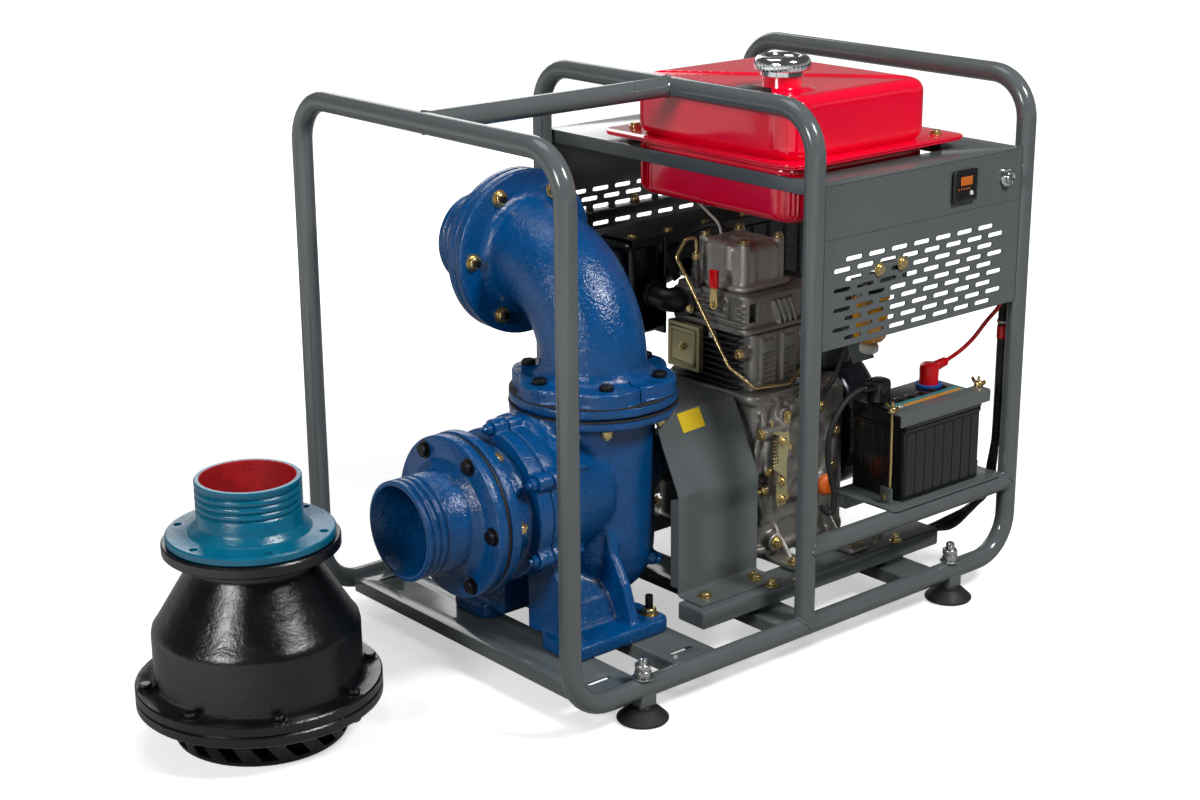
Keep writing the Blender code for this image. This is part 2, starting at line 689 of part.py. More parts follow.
# ---- pump -----------------------------------------------------------------------------
def hose_tail(name, where, axis, length, flange_r, flange_t, sign=1, finish="pump_enamel"):
    """A grooved hose tail with its bolt flange.  The flange's back is at the given
    point and the mouth is on the minus side of the axis for sign 1."""
    groove_from = length - 0.012
    outside = [(flange_r, 0), (flange_r, -flange_t), (TAIL_ROOT_R, -flange_t),
               (TAIL_R + 0.002, -flange_t - 0.010), (TAIL_R, -flange_t - 0.014)]
    for i in reversed(range(GROOVES)):
        h = -groove_from + i * GROOVE_PITCH
        outside += [(TAIL_R, h + 0.002), (TAIL_R - GROOVE_D, h), (TAIL_R, h - 0.002)]
    outside += [(TAIL_R, -length), (PORT_R, -length), (PORT_R, 0)]
    if sign < 0:
        outside = [(r, -h) for r, h in reversed(outside)]
    return turned(name, outside, where, axis, finish, 24)


def build_suction():
    back = FRONT_X + SUCTION_X
    tail = hose_tail("suction_tail", (back, PUMP_Y, SHAFT_Z), 'X', TAIL_L, SUCTION_R, SUCTION_T)
    join(tail, bolt_ring("suction_bolt", (back - SUCTION_T, PUMP_Y, SHAFT_Z), 'X',
                          FLANGE_BOLTS_R, FLANGE_BOLTS, HEX_T, -1))
    turned("suction_gasket", [(SUCTION_R - 0.002, GASKET_T), (SUCTION_R - 0.002, 0),
                              (FLAP_PORT_R, 0), (FLAP_PORT_R, GASKET_T)],
           (back + GAP, PUMP_Y, SHAFT_Z), 'X', "black_rubber", 24)
    length = VOLUTE_FRONT - GAP - (COVER_FRONT - FRONT_X)
    cover = turned("suction_cover", [
        (COVER_R, length), (COVER_R, length - COVER_T),
        (COVER_NECK_R + 0.009, length - COVER_T - 0.004), (COVER_NECK_R, SUCTION_T + 0.010),
        (COVER_NECK_R, SUCTION_T), (SUCTION_R, SUCTION_T), (SUCTION_R, 0),
        (NECK_BORE_R, 0), (NECK_BORE_R, length)],
        (COVER_FRONT, PUMP_Y, SHAFT_Z), 'X', "pump_enamel", 22)
    lug = FRONT_X + VOLUTE_FRONT - GAP
    join(cover, lug_ring("cover_lug", lug - COVER_T - LUG_PROUD, COVER_T + LUG_PROUD - LUG_SHY,
                         LUG_R, 8),
         lug_ring("cover_nut", lug - COVER_T - LUG_PROUD - 0.008, 0.010, 0.009, 6))
    hinge_z = SHAFT_Z + FLAP_R + 0.003
    seat = COVER_FRONT + GAP
    flap = rod("suction_flap", (seat + FLAP_T / 2, PUMP_Y, SHAFT_Z), 'X', FLAP_R, FLAP_T,
               "black_rubber", 28)
    join(flap, box("flap_strap", (seat + 0.0004, PUMP_Y - 0.018, SHAFT_Z + FLAP_R - 0.010),
                   (seat + 0.0056, PUMP_Y + 0.018, hinge_z + 0.002)),
         rod("flap_weight", (seat + 0.008, PUMP_Y, SHAFT_Z), 'X', FLAP_WEIGHT_R, 0.006,
             sides=20))
    move_origin(flap, (seat + FLAP_T / 2, PUMP_Y, hinge_z))


def lug_ring(name, x, length, radius, sides):
    """Round lugs or nuts where the suction cover is bolted to the body."""
    lugs = []
    for i in range(FLANGE_BOLTS):
        t = 2 * pi * (i + 0.5) / FLANGE_BOLTS
        y, z = PUMP_Y + COVER_BOLTS_R * cos(t), SHAFT_Z + COVER_BOLTS_R * sin(t)
        lugs.append(rod(f"{name}_{i}", (x + length / 2, y, z), 'X', radius, length,
                        sides=sides))
    return gather(lugs)


def move_origin(obj, point):
    """Put an object's origin on its joint axis and leave its shape where it is."""
    bpy.context.view_layer.update()
    shift = obj.matrix_world.inverted() @ Vector(point)
    for v in obj.data.vertices:
        v.co -= shift
    obj.location = point


def build_pump_body():
    flange_z = RAIL_Z + BODY_FLANGE_Z
    bottom = RAIL_Z + BODY_BOTTOM
    outside = [(0, FLANGE_TOP - SHAFT_Z), (FLANGE_R, FLANGE_TOP - SHAFT_Z),
               (FLANGE_R, flange_z - SHAFT_Z), (CHAMBER_R + 0.004, flange_z - SHAFT_Z),
               (CHAMBER_R, flange_z - SHAFT_Z - 0.008)]
    outside += [(r, z - SHAFT_Z) for r, z in
                arc((CHAMBER_R - BODY_CORNER, bottom + BODY_CORNER), BODY_CORNER, 0, -90, 3)]
    outside += [(0, bottom - SHAFT_Z)]
    body = turned("pump_body", outside, (AXIS_X, PUMP_Y, SHAFT_Z), 'Z', "pump_enamel")
    front = FRONT_X + VOLUTE_FRONT
    volute = turned("volute", [
        (0, 0.214), (0.070, 0.208), (VOLUTE_R, 0.155), (VOLUTE_R, COVER_T),
        (COVER_R, COVER_T - 0.003), (COVER_R, 0), (0, 0)], (front, PUMP_Y, SHAFT_Z), 'X')
    hub = turned("bearing_hub", [(0, 0.318), (0.034, 0.318), (0.036, 0.290), (HUB_R, 0.270),
                                 (HUB_R, 0.200), (0, 0.200)],
                 (front, PUMP_Y, SHAFT_Z), 'X', steps=16)
    join(body, volute, hub)
    join(body, lug_ring("body_lug", front + LUG_SHY, COVER_T + LUG_PROUD, LUG_R - 0.0006, 8))
    join(body, bolt_ring("body_nut", (AXIS_X, PUMP_Y, flange_z), 'Z', FLANGE_BOLTS_R,
                          FLANGE_BOLTS, HEX_T, -1))
    for side, sign in (("near", -1), ("far", 1)):
        outer = PUMP_Y + sign * PLATE_REACH
        inner = PUMP_Y + sign * (PLATE_REACH - PLATE_W)
        y0, y1 = min(outer, inner), max(outer, inner)
        x0, x1 = FRONT_X + PLATE_START, FRONT_X + PLATE_END
        floor = CHANNEL_TOP + GAP
        join(body, to_tools(outline(f"foot_plate_{side}",
                                    round_corners(x0, x1, y0, y1, 0.020, 3), 'Z',
                                    floor, floor + PLATE_T)))
        top = SHAFT_Z - 0.055
        for k, x in enumerate((x0 + 0.012, x1 - 0.070)):
            foot_z = floor + PLATE_T - 0.004
            reach_out = outer - sign * 0.012
            reach_in = PUMP_Y + sign * 0.040
            web = [(reach_out, foot_z), (reach_out, foot_z + 0.012),
                   (PUMP_Y + sign * (VOLUTE_R - 0.012), top), (reach_in, top),
                   (reach_in, foot_z)]
            join(body, to_tools(outline(f"foot_web_{side}_{k}", web if sign < 0 else web[::-1],
                                        'X', x, x + WEB_T)))
    cavity = turned("cavity", [(0, 0.150), (CAVITY_R, 0.150), (CAVITY_R, -0.01), (0, -0.01)],
                    (front, PUMP_Y, SHAFT_Z), 'X', steps=18, phase=0.25)
    throat = turned("throat", [(0, FLANGE_TOP - SHAFT_Z + 0.01),
                               (PORT_R + 0.004, FLANGE_TOP - SHAFT_Z + 0.01),
                               (PORT_R + 0.004, 0.02), (0, 0.02)],
                    (AXIS_X, PUMP_Y, SHAFT_Z), 'Z', steps=18, phase=0.25)
    cut(body, to_tools(cavity), to_tools(throat),
        bore("shaft_bore", (front + 0.22, PUMP_Y, SHAFT_Z), 'X', SHAFT_R + GAP, 0.22, 16))
    # Studs and nuts that hold the plates down
    for side, sign in (("near", -1), ("far", 1)):
        y = PUMP_Y + sign * (PLATE_REACH - 0.032)
        x = FRONT_X + (PLATE_END + PLATE_START) / 2 + 0.078
        z = CHANNEL_TOP + GAP + PLATE_T
        join(body, rod(f"plate_nut_{side}", (x, y, z + 0.006), 'Z', 0.012, 0.016, sides=6),
             rod(f"plate_stud_{side}", (x, y, z + 0.015), 'Z', 0.006, 0.034, sides=12))


def build_rotor():
    """Impeller and pump shaft, then the crankshaft and flywheel, meeting at the coupling."""
    front = FRONT_X + VOLUTE_FRONT
    split = FRONT_X + COUPLING_X
    end = split - front - GAP
    rotor = turned("pump_rotor", [
        (0, end), (COUPLING_R, end), (COUPLING_R, end - 0.018), (0.022, end - 0.020),
        (SHAFT_R + 0.004, end - 0.021), (SHAFT_R + 0.004, 0.330), (SHAFT_R, 0.328),
        (SHAFT_R, 0.140), (0.026, 0.138), (IMPELLER_R, 0.134), (IMPELLER_R, 0.128),
        (0.030, 0.122), (0.024, 0.080), (0.014, 0.070), (0, 0.070)],
        (front, PUMP_Y, SHAFT_Z), 'X', "cast_iron", 14)
    for i in range(3):
        t = 2 * pi * i / 3
        vane = box(f"vane_{i}", (front + 0.090, -0.003, 0.018),
                   (front + 0.131, 0.003, IMPELLER_R - 0.003))
        vane.location = (vane.location.x, PUMP_Y - vane.location.z * sin(t),
                         SHAFT_Z + vane.location.z * cos(t))
        vane.rotation_euler = (t, 0, 0)
        join(rotor, vane)
    start = split + GAP
    wheel = FAN_X + 0.020 - start
    turned("crankshaft", [
        (0, wheel + FLYWHEEL_T + 0.012), (0.020, wheel + FLYWHEEL_T + 0.012),
        (0.020, wheel + FLYWHEEL_T), (FLYWHEEL_R - 0.002, wheel + FLYWHEEL_T),
        (FLYWHEEL_R, wheel + FLYWHEEL_T - 0.002), (FLYWHEEL_R, wheel + 0.002),
        (FLYWHEEL_R - 0.002, wheel), (SHAFT_R + 0.003, wheel), (SHAFT_R + 0.003, 0.020),
        (COUPLING_R, 0.018), (COUPLING_R, 0), (0, 0)],
        (start, PUMP_Y, SHAFT_Z), 'X', "cast_iron", 16)


def build_discharge():
    base = ELBOW_BASE
    elbow = turned("discharge_elbow", [
        (0, ELBOW_FLANGE_T), (FLANGE_R, ELBOW_FLANGE_T), (FLANGE_R, 0.020),
        (FLANGE_R - 0.003, 0.018), (FLANGE_R, 0.016), (FLANGE_R, 0), (0, 0)],
        (AXIS_X, PUMP_Y, base), 'Z', "pump_enamel")
    seat = base + ELBOW_FLANGE_T
    bend = [(AXIS_X, PUMP_Y + ELBOW_BEND - ELBOW_BEND * cos(radians(a)),
             seat + ELBOW_RISE + ELBOW_BEND * sin(radians(a))) for a in range(0, 91, 18)]
    route = [(AXIS_X, PUMP_Y, seat - 0.010)] + bend + [(AXIS_X, OUTLET_Y - 0.007, OUTLET_Z)]
    inner = [(AXIS_X, PUMP_Y, base - 0.01)] + bend + [(AXIS_X, OUTLET_Y + 0.01, OUTLET_Z)]
    outlet = turned("outlet_flange", [
        (0, 0), (FLANGE_R, 0), (FLANGE_R, -OUTLET_FLANGE_T), (0, -OUTLET_FLANGE_T)],
        (AXIS_X, OUTLET_Y, OUTLET_Z), 'Y')
    join(elbow, tube("elbow_outside", route, ELBOW_R, roundness=6), outlet)
    join(elbow, bolt_ring("elbow_bolt", (AXIS_X, PUMP_Y, seat), 'Z', FLANGE_BOLTS_R,
                           FLANGE_BOLTS, HEX_T, 1))
    join(elbow, bolt_ring("outlet_nut", (AXIS_X, OUTLET_Y - OUTLET_FLANGE_T, OUTLET_Z), 'Y',
                           FLANGE_BOLTS_R, FLANGE_BOLTS, HEX_T, -1))
    cut(elbow, tube("elbow_inside", inner, PORT_R, roundness=5))
    tail = hose_tail("discharge_tail", (AXIS_X, OUTLET_Y + GAP, OUTLET_Z), 'Y', OUTLET_TAIL_L,
                     FLANGE_R, SUCTION_T, -1)
    join(tail, bolt_ring("outlet_bolt", (AXIS_X, OUTLET_Y + GAP + SUCTION_T, OUTLET_Z), 'Y',
                          FLANGE_BOLTS_R, FLANGE_BOLTS, HEX_T, 1))


def build_guard():
    foot = BEAM_TOP + GAP
    knee, top = RAIL_Z + GUARD_KNEE_Z, RAIL_Z + GUARD_TOP_Z
    half, cap = GUARD_HALF_W, GUARD_TOP_HALF_W
    t = SHEET
    right = [(half + GUARD_FOOT, foot), (half + GUARD_FOOT, foot + t), (half, foot + t),
             (half, knee), (cap, top)]
    inside = [(cap - 0.7 * t, top - t), (half - t, knee - 0.3 * t), (half - t, foot)]
    points = right + [(-a, b) for a, b in reversed(right)]
    points += [(-a, b) for a, b in reversed(inside)] + inside
    guard = outline("coupling_guard", [(PUMP_Y + a, b) for a, b in points], 'X',
                    FRONT_X + GUARD_START, FRONT_X + GUARD_END, "sheet_paint")
    cut(guard, bore("chamber_notch", (AXIS_X, PUMP_Y, top), 'Z', CHAMBER_R + 0.007, 0.10, 28))


# ---- foot valve -----------------------------------------------------------------------
def build_foot_valve():
    where = (VALVE_X, VALVE_Y, 0)
    joint = BASKET_H + VALVE_FLANGE_T
    base = turned("valve_base", [
        (VALVE_BASE_R, joint), (VALVE_BASE_R, BASKET_H), (BASKET_R, BASKET_H),
        (BASKET_R, 0.004), (BASKET_R - 0.004, 0), (0, 0), (0, 0.006), (BASKET_R - 0.006, 0.006),
        (BASKET_R - 0.006, joint - 0.006), (0.085, joint - 0.006), (0.085, joint)],
        where, 'Z', "valve_black", 24, 0)
    slots = []
    for i in range(BASKET_SLOTS):
        t = 2 * pi * (i + 0.5) / BASKET_SLOTS
        slot = box(f"basket_slot_{i}", (-0.012, -0.015, -0.0165), (0.012, 0.015, 0.0165))
        slot.location = (VALVE_X + BASKET_R * cos(t), VALVE_Y + BASKET_R * sin(t), 0.030)
        slot.rotation_euler = (radians(25), 0, t)
        slots.append(slot)
    cut(base, gather(slots))
    start = joint + GAP
    top = VALVE_BODY_H + VALVE_TOP_T
    shoulder = RAIL_Z + VALVE_SHOULDER
    body = turned("valve_body", [
        (VALVE_TOP_R, top), (VALVE_TOP_R, VALVE_BODY_H), (0.092, VALVE_BODY_H),
        (0.090, VALVE_BODY_H - 0.020), (VALVE_BODY_R - 0.006, shoulder + 0.004),
        (VALVE_BODY_R, shoulder - 0.004), (VALVE_BODY_R, start + VALVE_FLANGE_T + 0.006),
        (VALVE_BODY_R + 0.004, start + VALVE_FLANGE_T), (VALVE_BASE_R, start + VALVE_FLANGE_T),
        (VALVE_BASE_R, start), (VALVE_BODY_R - VALVE_WALL, start),
        (VALVE_BODY_R - VALVE_WALL, shoulder),
        (0.080, VALVE_BODY_H - 0.018), (PORT_R + 0.002, VALVE_BODY_H), (PORT_R + 0.002, top)],
        where, 'Z', "valve_black", 24)
    join(body, bolt_ring("valve_nut", (VALVE_X, VALVE_Y, start + VALVE_FLANGE_T), 'Z',
                          VALVE_BASE_R - 0.015, 8, 0.008, 1, pi / 8))
    tail = hose_tail("valve_tail", (VALVE_X, VALVE_Y, top + GAP), 'Z',
                     RAIL_Z + VALVE_MOUTH - top, VALVE_TAIL_FLANGE_R, VALVE_TAIL_FLANGE_T, -1,
                     "valve_enamel")
    turns = [TAIL_HOLES_AT + 2 * pi * i / FLANGE_BOLTS for i in range(FLANGE_BOLTS)]
    cut(tail, gather([bore(f"tail_hole_{i}", (VALVE_X + FLANGE_BOLTS_R * cos(t),
                                              VALVE_Y + FLANGE_BOLTS_R * sin(t), top), 'Z',
                           TAIL_HOLE_R, 0.03, 8) for i, t in enumerate(turns)]))
    seat = joint + GAP
    hinge_x = VALVE_X - VALVE_HINGE
    flap = rod("valve_flap", (VALVE_X, VALVE_Y, seat + VALVE_FLAP_T / 2), 'Z', VALVE_FLAP_R,
               VALVE_FLAP_T, "black_rubber", 28)
    join(flap, box("valve_strap", (hinge_x - 0.002, VALVE_Y - 0.025, seat + 0.0006),
                   (VALVE_X - 0.080, VALVE_Y + 0.025, seat + 0.0074)))
    move_origin(flap, (hinge_x, VALVE_Y, seat + VALVE_FLAP_T / 2))


# ---- engine ---------------------------------------------------------------------------
def build_engine():
    x0 = FRONT_X + ENGINE_FRONT
    x1 = x0 + CRANKCASE_L
    near = PUMP_Y - CRANKCASE_HALF_W
    oil_x, oil_z = x0 + OIL_CAP[0], SHAFT_Z + OIL_CAP[1]
    floor = BEAM_TOP + GAP
    case = box("crankcase", (x0, PUMP_Y - CRANKCASE_HALF_W, floor),
               (x1, PUMP_Y + CRANKCASE_HALF_W, CRANK_TOP), "cast_aluminium", 0.018, 2)
    beam = PUMP_INSET - BEAM_INSET
    join(case, box("engine_feet", (x0 + 0.030, PUMP_Y - beam - 0.022, floor),
                   (x1 - 0.030, PUMP_Y + beam + 0.022, floor + ENGINE_FOOT_T), bevel=0.003),
         turned("gear_cover", [(0, 0), (GEAR_COVER_R, 0), (GEAR_COVER_R, -0.010),
                               (GEAR_COVER_R - 0.004, -GEAR_COVER_T), (0, -GEAR_COVER_T)],
                (x0 + GEAR_COVER_X, near + 0.002, SHAFT_Z), 'Y'),
         rod("oil_neck", (oil_x, near - 0.004, oil_z), 'Y', 0.013, 0.034, sides=16),
         rod("lever_boss", (FRONT_X + THROTTLE[0], PUMP_Y - CRANKCASE_HALF_W - 0.002,
                            SHAFT_Z + THROTTLE[1]), 'Y', 0.012, 0.024, sides=16))
    cut(case, bore("crank_bore", ((x0 + x1) / 2, PUMP_Y, SHAFT_Z), 'X',
                   SHAFT_R + 0.003 + GAP, 0.5, 16))
    sx = FRONT_X + CYLINDER_START
    base = CRANK_TOP + GAP
    barrel = box("cylinder", (sx, PUMP_Y - CYLINDER_HALF_W, base),
                 (sx + CYLINDER_L, PUMP_Y + CYLINDER_HALF_W, CYLINDER_TOP), "black_paint", 0.010, 2)
    half = CYLINDER_HALF_W + FIN_REACH
    heights = [base + CYLINDER_H * (i + 0.5) / FINS for i in range(FINS)]
    join(barrel, gather([box(f"fin_{i}", (sx - FIN_REACH, PUMP_Y - half, z - FIN_T / 2),
                             (sx + CYLINDER_L + FIN_REACH, PUMP_Y + half, z + FIN_T / 2))
                         for i, z in enumerate(heights)]))
    hx = FRONT_X + HEAD_START
    head = box("cylinder_head", (hx, PUMP_Y - HEAD_HALF_W, CYLINDER_TOP + GAP),
               (hx + HEAD_L, PUMP_Y + HEAD_HALF_W, HEAD_TOP), "cast_aluminium", 0.008, 2)
    decomp = (hx + DECOMPRESSION[0], PUMP_Y + DECOMPRESSION[1],
              CYLINDER_TOP + DECOMPRESSION[2])
    injector = (hx + INJECTOR[0], PUMP_Y + INJECTOR[1])
    join(head, rod("decompression_boss", (decomp[0] - 0.008, decomp[1], decomp[2]), 'X',
                   0.008, 0.020, sides=12),
         rod("injector_boss", (*injector, HEAD_TOP + 0.006), 'Z', 0.007, 0.016,
             sides=12))
    rx = FRONT_X + ROCKER_START
    box("rocker_cover", (rx, PUMP_Y - ROCKER_HALF_W, HEAD_TOP + GAP),
        (rx + ROCKER_L, PUMP_Y + ROCKER_HALF_W, HEAD_TOP + GAP + ROCKER_H),
        "cast_aluminium", 0.018, 3)
    lever_x = decomp[0] - 0.018 - GAP
    lever = box("decompression_lever", (lever_x - LEVER_T, decomp[1] - 0.007, decomp[2] - 0.008),
                (lever_x, decomp[1] + 0.007, decomp[2] + 0.040), "yellow_zinc", 0.001)
    join(lever, box("lever_grip", (lever_x - LEVER_T - 0.004, decomp[1] - 0.009,
                                   decomp[2] + 0.028),
                    (lever_x + 0.004, decomp[1] + 0.009, decomp[2] + 0.058), bevel=0.003))
    move_origin(lever, (lever_x, decomp[1], decomp[2]))
    throttle_y = PUMP_Y - CRANKCASE_HALF_W - 0.014 - GAP
    pivot = (FRONT_X + THROTTLE[0], throttle_y, SHAFT_Z + THROTTLE[1])
    throttle = box("throttle_lever",
                   (pivot[0] - LEVER_W / 2, throttle_y - LEVER_T, pivot[2] - 0.062),
                   (pivot[0] + LEVER_W / 2, throttle_y, pivot[2] + 0.010), "yellow_zinc", 0.001)
    join(throttle, rod("throttle_knob", (pivot[0], throttle_y - 0.006, pivot[2] - 0.053), 'Y',
                       0.006, 0.012, sides=12))
    move_origin(throttle, pivot)
    cap_y = near - 0.021 - GAP
    cap = rod("oil_cap", (oil_x, cap_y - 0.006, oil_z), 'Y', OIL_CAP_R, 0.012,
              "orange_plastic", 20)
    join(cap, box("cap_grip", (oil_x - 0.003, cap_y - 0.020, oil_z - 0.014),
                  (oil_x + 0.003, cap_y - 0.010, oil_z + 0.014), bevel=0.001))
    move_origin(cap, (oil_x, cap_y, oil_z))
    build_injection_pipe(injector)
    build_fan()
    build_intake()


def build_injection_pipe(injector):
    side = PUMP_Y - CYLINDER_HALF_W - FIN_REACH - 0.012
    front = FRONT_X + HEAD_START - 0.012 - GAP
    pump = (FRONT_X + 0.650, PUMP_Y - CRANKCASE_HALF_W + 0.024)
    route = [(*pump, CRANK_TOP + GAP), (*pump, CRANK_TOP + 0.014), (*pump, CRANK_TOP + 0.022),
             (FRONT_X + 0.628, side - 0.004, CRANK_TOP + 0.024),
             (FRONT_X + 0.600, side - 0.006, CRANK_TOP + 0.008),
             (FRONT_X + 0.560, side - 0.004, CRANK_TOP + 0.004),
             (FRONT_X + 0.520, side + 0.006, CRANK_TOP + 0.016),
             (front - 0.008, side + 0.040, CRANK_TOP + 0.055),
             (front - 0.006, PUMP_Y - 0.020, CRANK_TOP + 0.110),
             (front - 0.014, PUMP_Y + 0.024, CYLINDER_TOP + 0.050),
             (front - 0.018, PUMP_Y + 0.034, CYLINDER_TOP + 0.080),
             (front - 0.004, PUMP_Y + 0.026, CYLINDER_TOP + 0.115),
             (*injector, HEAD_TOP + 0.048), (*injector, HEAD_TOP + 0.032),
             (*injector, HEAD_TOP + 0.014 + GAP)]
    tube("injection_pipe", smooth(route, 0.014), PIPE_R, "yellow_zinc", 1)


def build_fan():
    hole = SHAFT_R + 0.012
    turned("fan_shroud", [
        (FAN_R - 0.022, FAN_L), (FAN_R - 0.022, FAN_L + 0.004), (FAN_R - 0.006, FAN_L + 0.004),
        (FAN_R, FAN_L - 0.002), (FAN_R, 0.004), (FAN_R - 0.004, 0), (hole, 0),
        (hole, FAN_WALL), (FAN_R - FAN_WALL, FAN_WALL), (FAN_R - FAN_WALL, FAN_L)],
        (FAN_X, PUMP_Y, SHAFT_Z), 'X', "black_paint", 24)


def build_intake():
    """Air cleaner with its duct, and the muffler, on the far side of the head."""
    head_far = PUMP_Y + HEAD_HALF_W
    x0 = FRONT_X + CLEANER_START
    cleaner = box("air_cleaner", (x0, head_far + 0.030, CYLINDER_TOP - 0.035),
                  (x0 + CLEANER_L, head_far + 0.160, CYLINDER_TOP + 0.125), "black_plastic",
                  0.016, 2)
    z = CYLINDER_TOP + 0.030
    port = FRONT_X + HEAD_START + 0.050
    join(cleaner, tube("intake_duct", filleted([
        (x0 + 0.070, head_far + 0.070, z), (port, head_far + 0.070, z),
        (port, head_far + GAP, z)], 0.024, 3), DUCT_R, roundness=4))
    mx = FRONT_X + HEAD_START + 0.105
    z = CYLINDER_TOP + 0.050
    muffler = rod("muffler", (mx + 0.060, head_far + 0.105, z + 0.030), 'X', MUFFLER_R,
                  MUFFLER_L, "black_paint", 24)
    join(muffler, tube("exhaust_pipe", filleted([
        (mx, head_far + GAP, z - 0.012), (mx, head_far + 0.040, z - 0.012),
        (mx, head_far + 0.085, z + 0.020)], 0.030, 3), EXHAUST_R, roundness=4))


# ---- sheet metal ----------------------------------------------------------------------
def build_shelf():
    hole = 0.004
    x0, x1 = FRONT_X + TANK_START - hole, FRONT_X + TANK_START + TANK_L + hole
    y0, y1 = NEAR_Y + TANK_INSET - hole, NEAR_Y + TANK_INSET + TANK_W + hole
    edge = FRAME_W / 2 + PANEL_Y
    shelf = box("top_shelf", (PANEL_X0, -edge, SHELF_Z - SHEET), (PANEL_X1, edge, SHELF_Z),
                "sheet_paint")
    join(shelf, box("shelf_lip", (PANEL_X0, -edge + 0.020, SHELF_Z - SHELF_LIP),
                    (PANEL_X0 + SHEET, edge - 0.020, SHELF_Z - 0.001)))
    start = max(x0, PANEL_X0 + SHEET + 0.002)
    cut(shelf, to_tools(outline("tank_hole", round_corners(start, x1, y0, y1, 0.012, 3), 'Z',
                                SHELF_Z - 0.05, SHELF_Z + 0.05)))


def build_panel(name, y, sign):
    top = SHELF_Z - SHEET - GAP
    bottom = RAIL_Z + PANEL_BOTTOM
    low, high = sorted((y, y - sign * SHEET))
    panel = box(name, (PANEL_X0, low, bottom), (PANEL_X1, high, top), "sheet_paint")
    holes = []
    for row in range(VENT_ROWS):
        z = RAIL_Z + VENT_BOTTOM + row * VENT_PITCH_Z
        x = PANEL_X0 + VENT_MARGIN + (VENT_PITCH_X / 2 if row % 2 == 0 else 0)
        while x + VENT_L < PANEL_X1 - VENT_MARGIN * 0.6:
            holes.append(box(f"{name}_vent_{len(holes)}", (x, low - 0.01, z - VENT_H / 2),
                             (x + VENT_L, high + 0.01, z + VENT_H / 2)))
            x += VENT_PITCH_X
    cut(panel, gather(holes))


# ---- tank -----------------------------------------------------------------------------
def build_tank():
    x0, y0 = FRONT_X + TANK_START, NEAR_Y + TANK_INSET
    x1, y1 = x0 + TANK_L, y0 + TANK_W
    rim = (x0 - TANK_RIM[0], x1 + TANK_RIM[1], y0 - TANK_RIM[2], y1 + TANK_RIM[3])
    upper = tank_shell("tank_upper", x0, x1, y0, y1, SEAM_Z, TANK_TOP)
    join(upper, outline("tank_upper_rim", round_corners(*rim, TANK_RIM_R, 3), 'Z', SEAM_Z,
                        SEAM_Z + TANK_SHEET))
    neck = (x0 + NECK[0], y0 + NECK[1])
    join(upper, rod("filler_neck", (*neck, TANK_TOP + NECK_H / 2 - 0.004), 'Z', NECK_R,
                    NECK_H + 0.008, sides=20))
    lower = tank_shell("tank_lower", x0 + 0.001, x1 - 0.001, y0 + 0.001, y1 - 0.001,
                       SEAM_Z - GAP, TANK_BOTTOM)
    join(lower, outline("tank_lower_rim", round_corners(
        rim[0] + 0.001, rim[1] - 0.001, rim[2] + 0.001, rim[3] - 0.001, TANK_RIM_R, 3),
        'Z', SEAM_Z - GAP - TANK_SHEET, SEAM_Z - GAP))
    spacers = ((x0 + 0.04, y1 + 0.03), (x1 + 0.03, y0 + 0.02), (x1 + 0.03, y1 + 0.02))
    for i, (x, y) in enumerate(spacers):
        join(lower, rod(f"tank_spacer_{i}", (x, y, (SHELF_Z + SEAM_Z - 0.001) / 2), 'Z',
                        0.010, SEAM_Z - SHELF_Z - 2 * GAP - 0.001, sides=12))
    cut(upper, tank_hollow("upper_hollow", x0, x1, y0, y1, SEAM_Z, TANK_TOP),
        bore("neck_bore", (*neck, TANK_TOP), 'Z', NECK_R - 0.004, 0.12, 14))
    cut(lower, tank_hollow("lower_hollow", x0, x1, y0, y1, SEAM_Z, TANK_BOTTOM))
    cap_z = TANK_TOP + NECK_H + GAP
    turned("tank_cap", [
        (0, CAP_H), (CAP_R - 0.005, CAP_H), (CAP_R, CAP_H - 0.005), (CAP_R, 0.006),
        (CAP_R - 0.003, 0.004), (NECK_R + 0.004, -0.008), (NECK_R + GAP, -0.008),
        (NECK_R + GAP, 0), (0, 0)], (*neck, cap_z), 'Z', "chrome", 24)


def tank_shell(name, x0, x1, y0, y1, seam, far):
    """One pressed half of the tank, drawn in slightly towards its flat face."""
    low, high = min(seam, far), max(seam, far)
    shell = outline(name, round_corners(x0, x1, y0, y1, TANK_R, 3), 'Z', low, high, "tank_red")
    for v in shell.data.vertices:
        if abs((shell.matrix_world @ v.co).z - far) < 0.001:
            v.co.x += TANK_DRAFT if v.co.x < (x0 + x1) / 2 else -TANK_DRAFT
            v.co.y += TANK_DRAFT if v.co.y < (y0 + y1) / 2 else -TANK_DRAFT
    mod = shell.modifiers.new("edges", 'BEVEL')
    mod.width = TANK_EDGE
    mod.segments = 2
    mod.limit_method = 'WEIGHT'
    layer = shell.data.attributes.new("bevel_weight_edge", 'FLOAT', 'EDGE')
    for edge in shell.data.edges:
        ends = [shell.data.vertices[i].co for i in edge.vertices]
        flat = all(abs((shell.matrix_world @ c).z - far) < 0.001 for c in ends)
        layer.data[edge.index].value = 1.0 if flat else 0.0
    return shell


def tank_hollow(name, x0, x1, y0, y1, seam, far):
    """The inside of one half, open at the seam."""
    into = TANK_WALL + TANK_DRAFT
    past = seam - (0.02 if seam < far else -0.02)
    end = far - TANK_WALL if far > seam else far + TANK_WALL
    return to_tools(outline(name, round_corners(x0 + into, x1 - into, y0 + into, y1 - into,
                                                TANK_R - TANK_WALL, 3), 'Z',
                            min(past, end), max(past, end)))


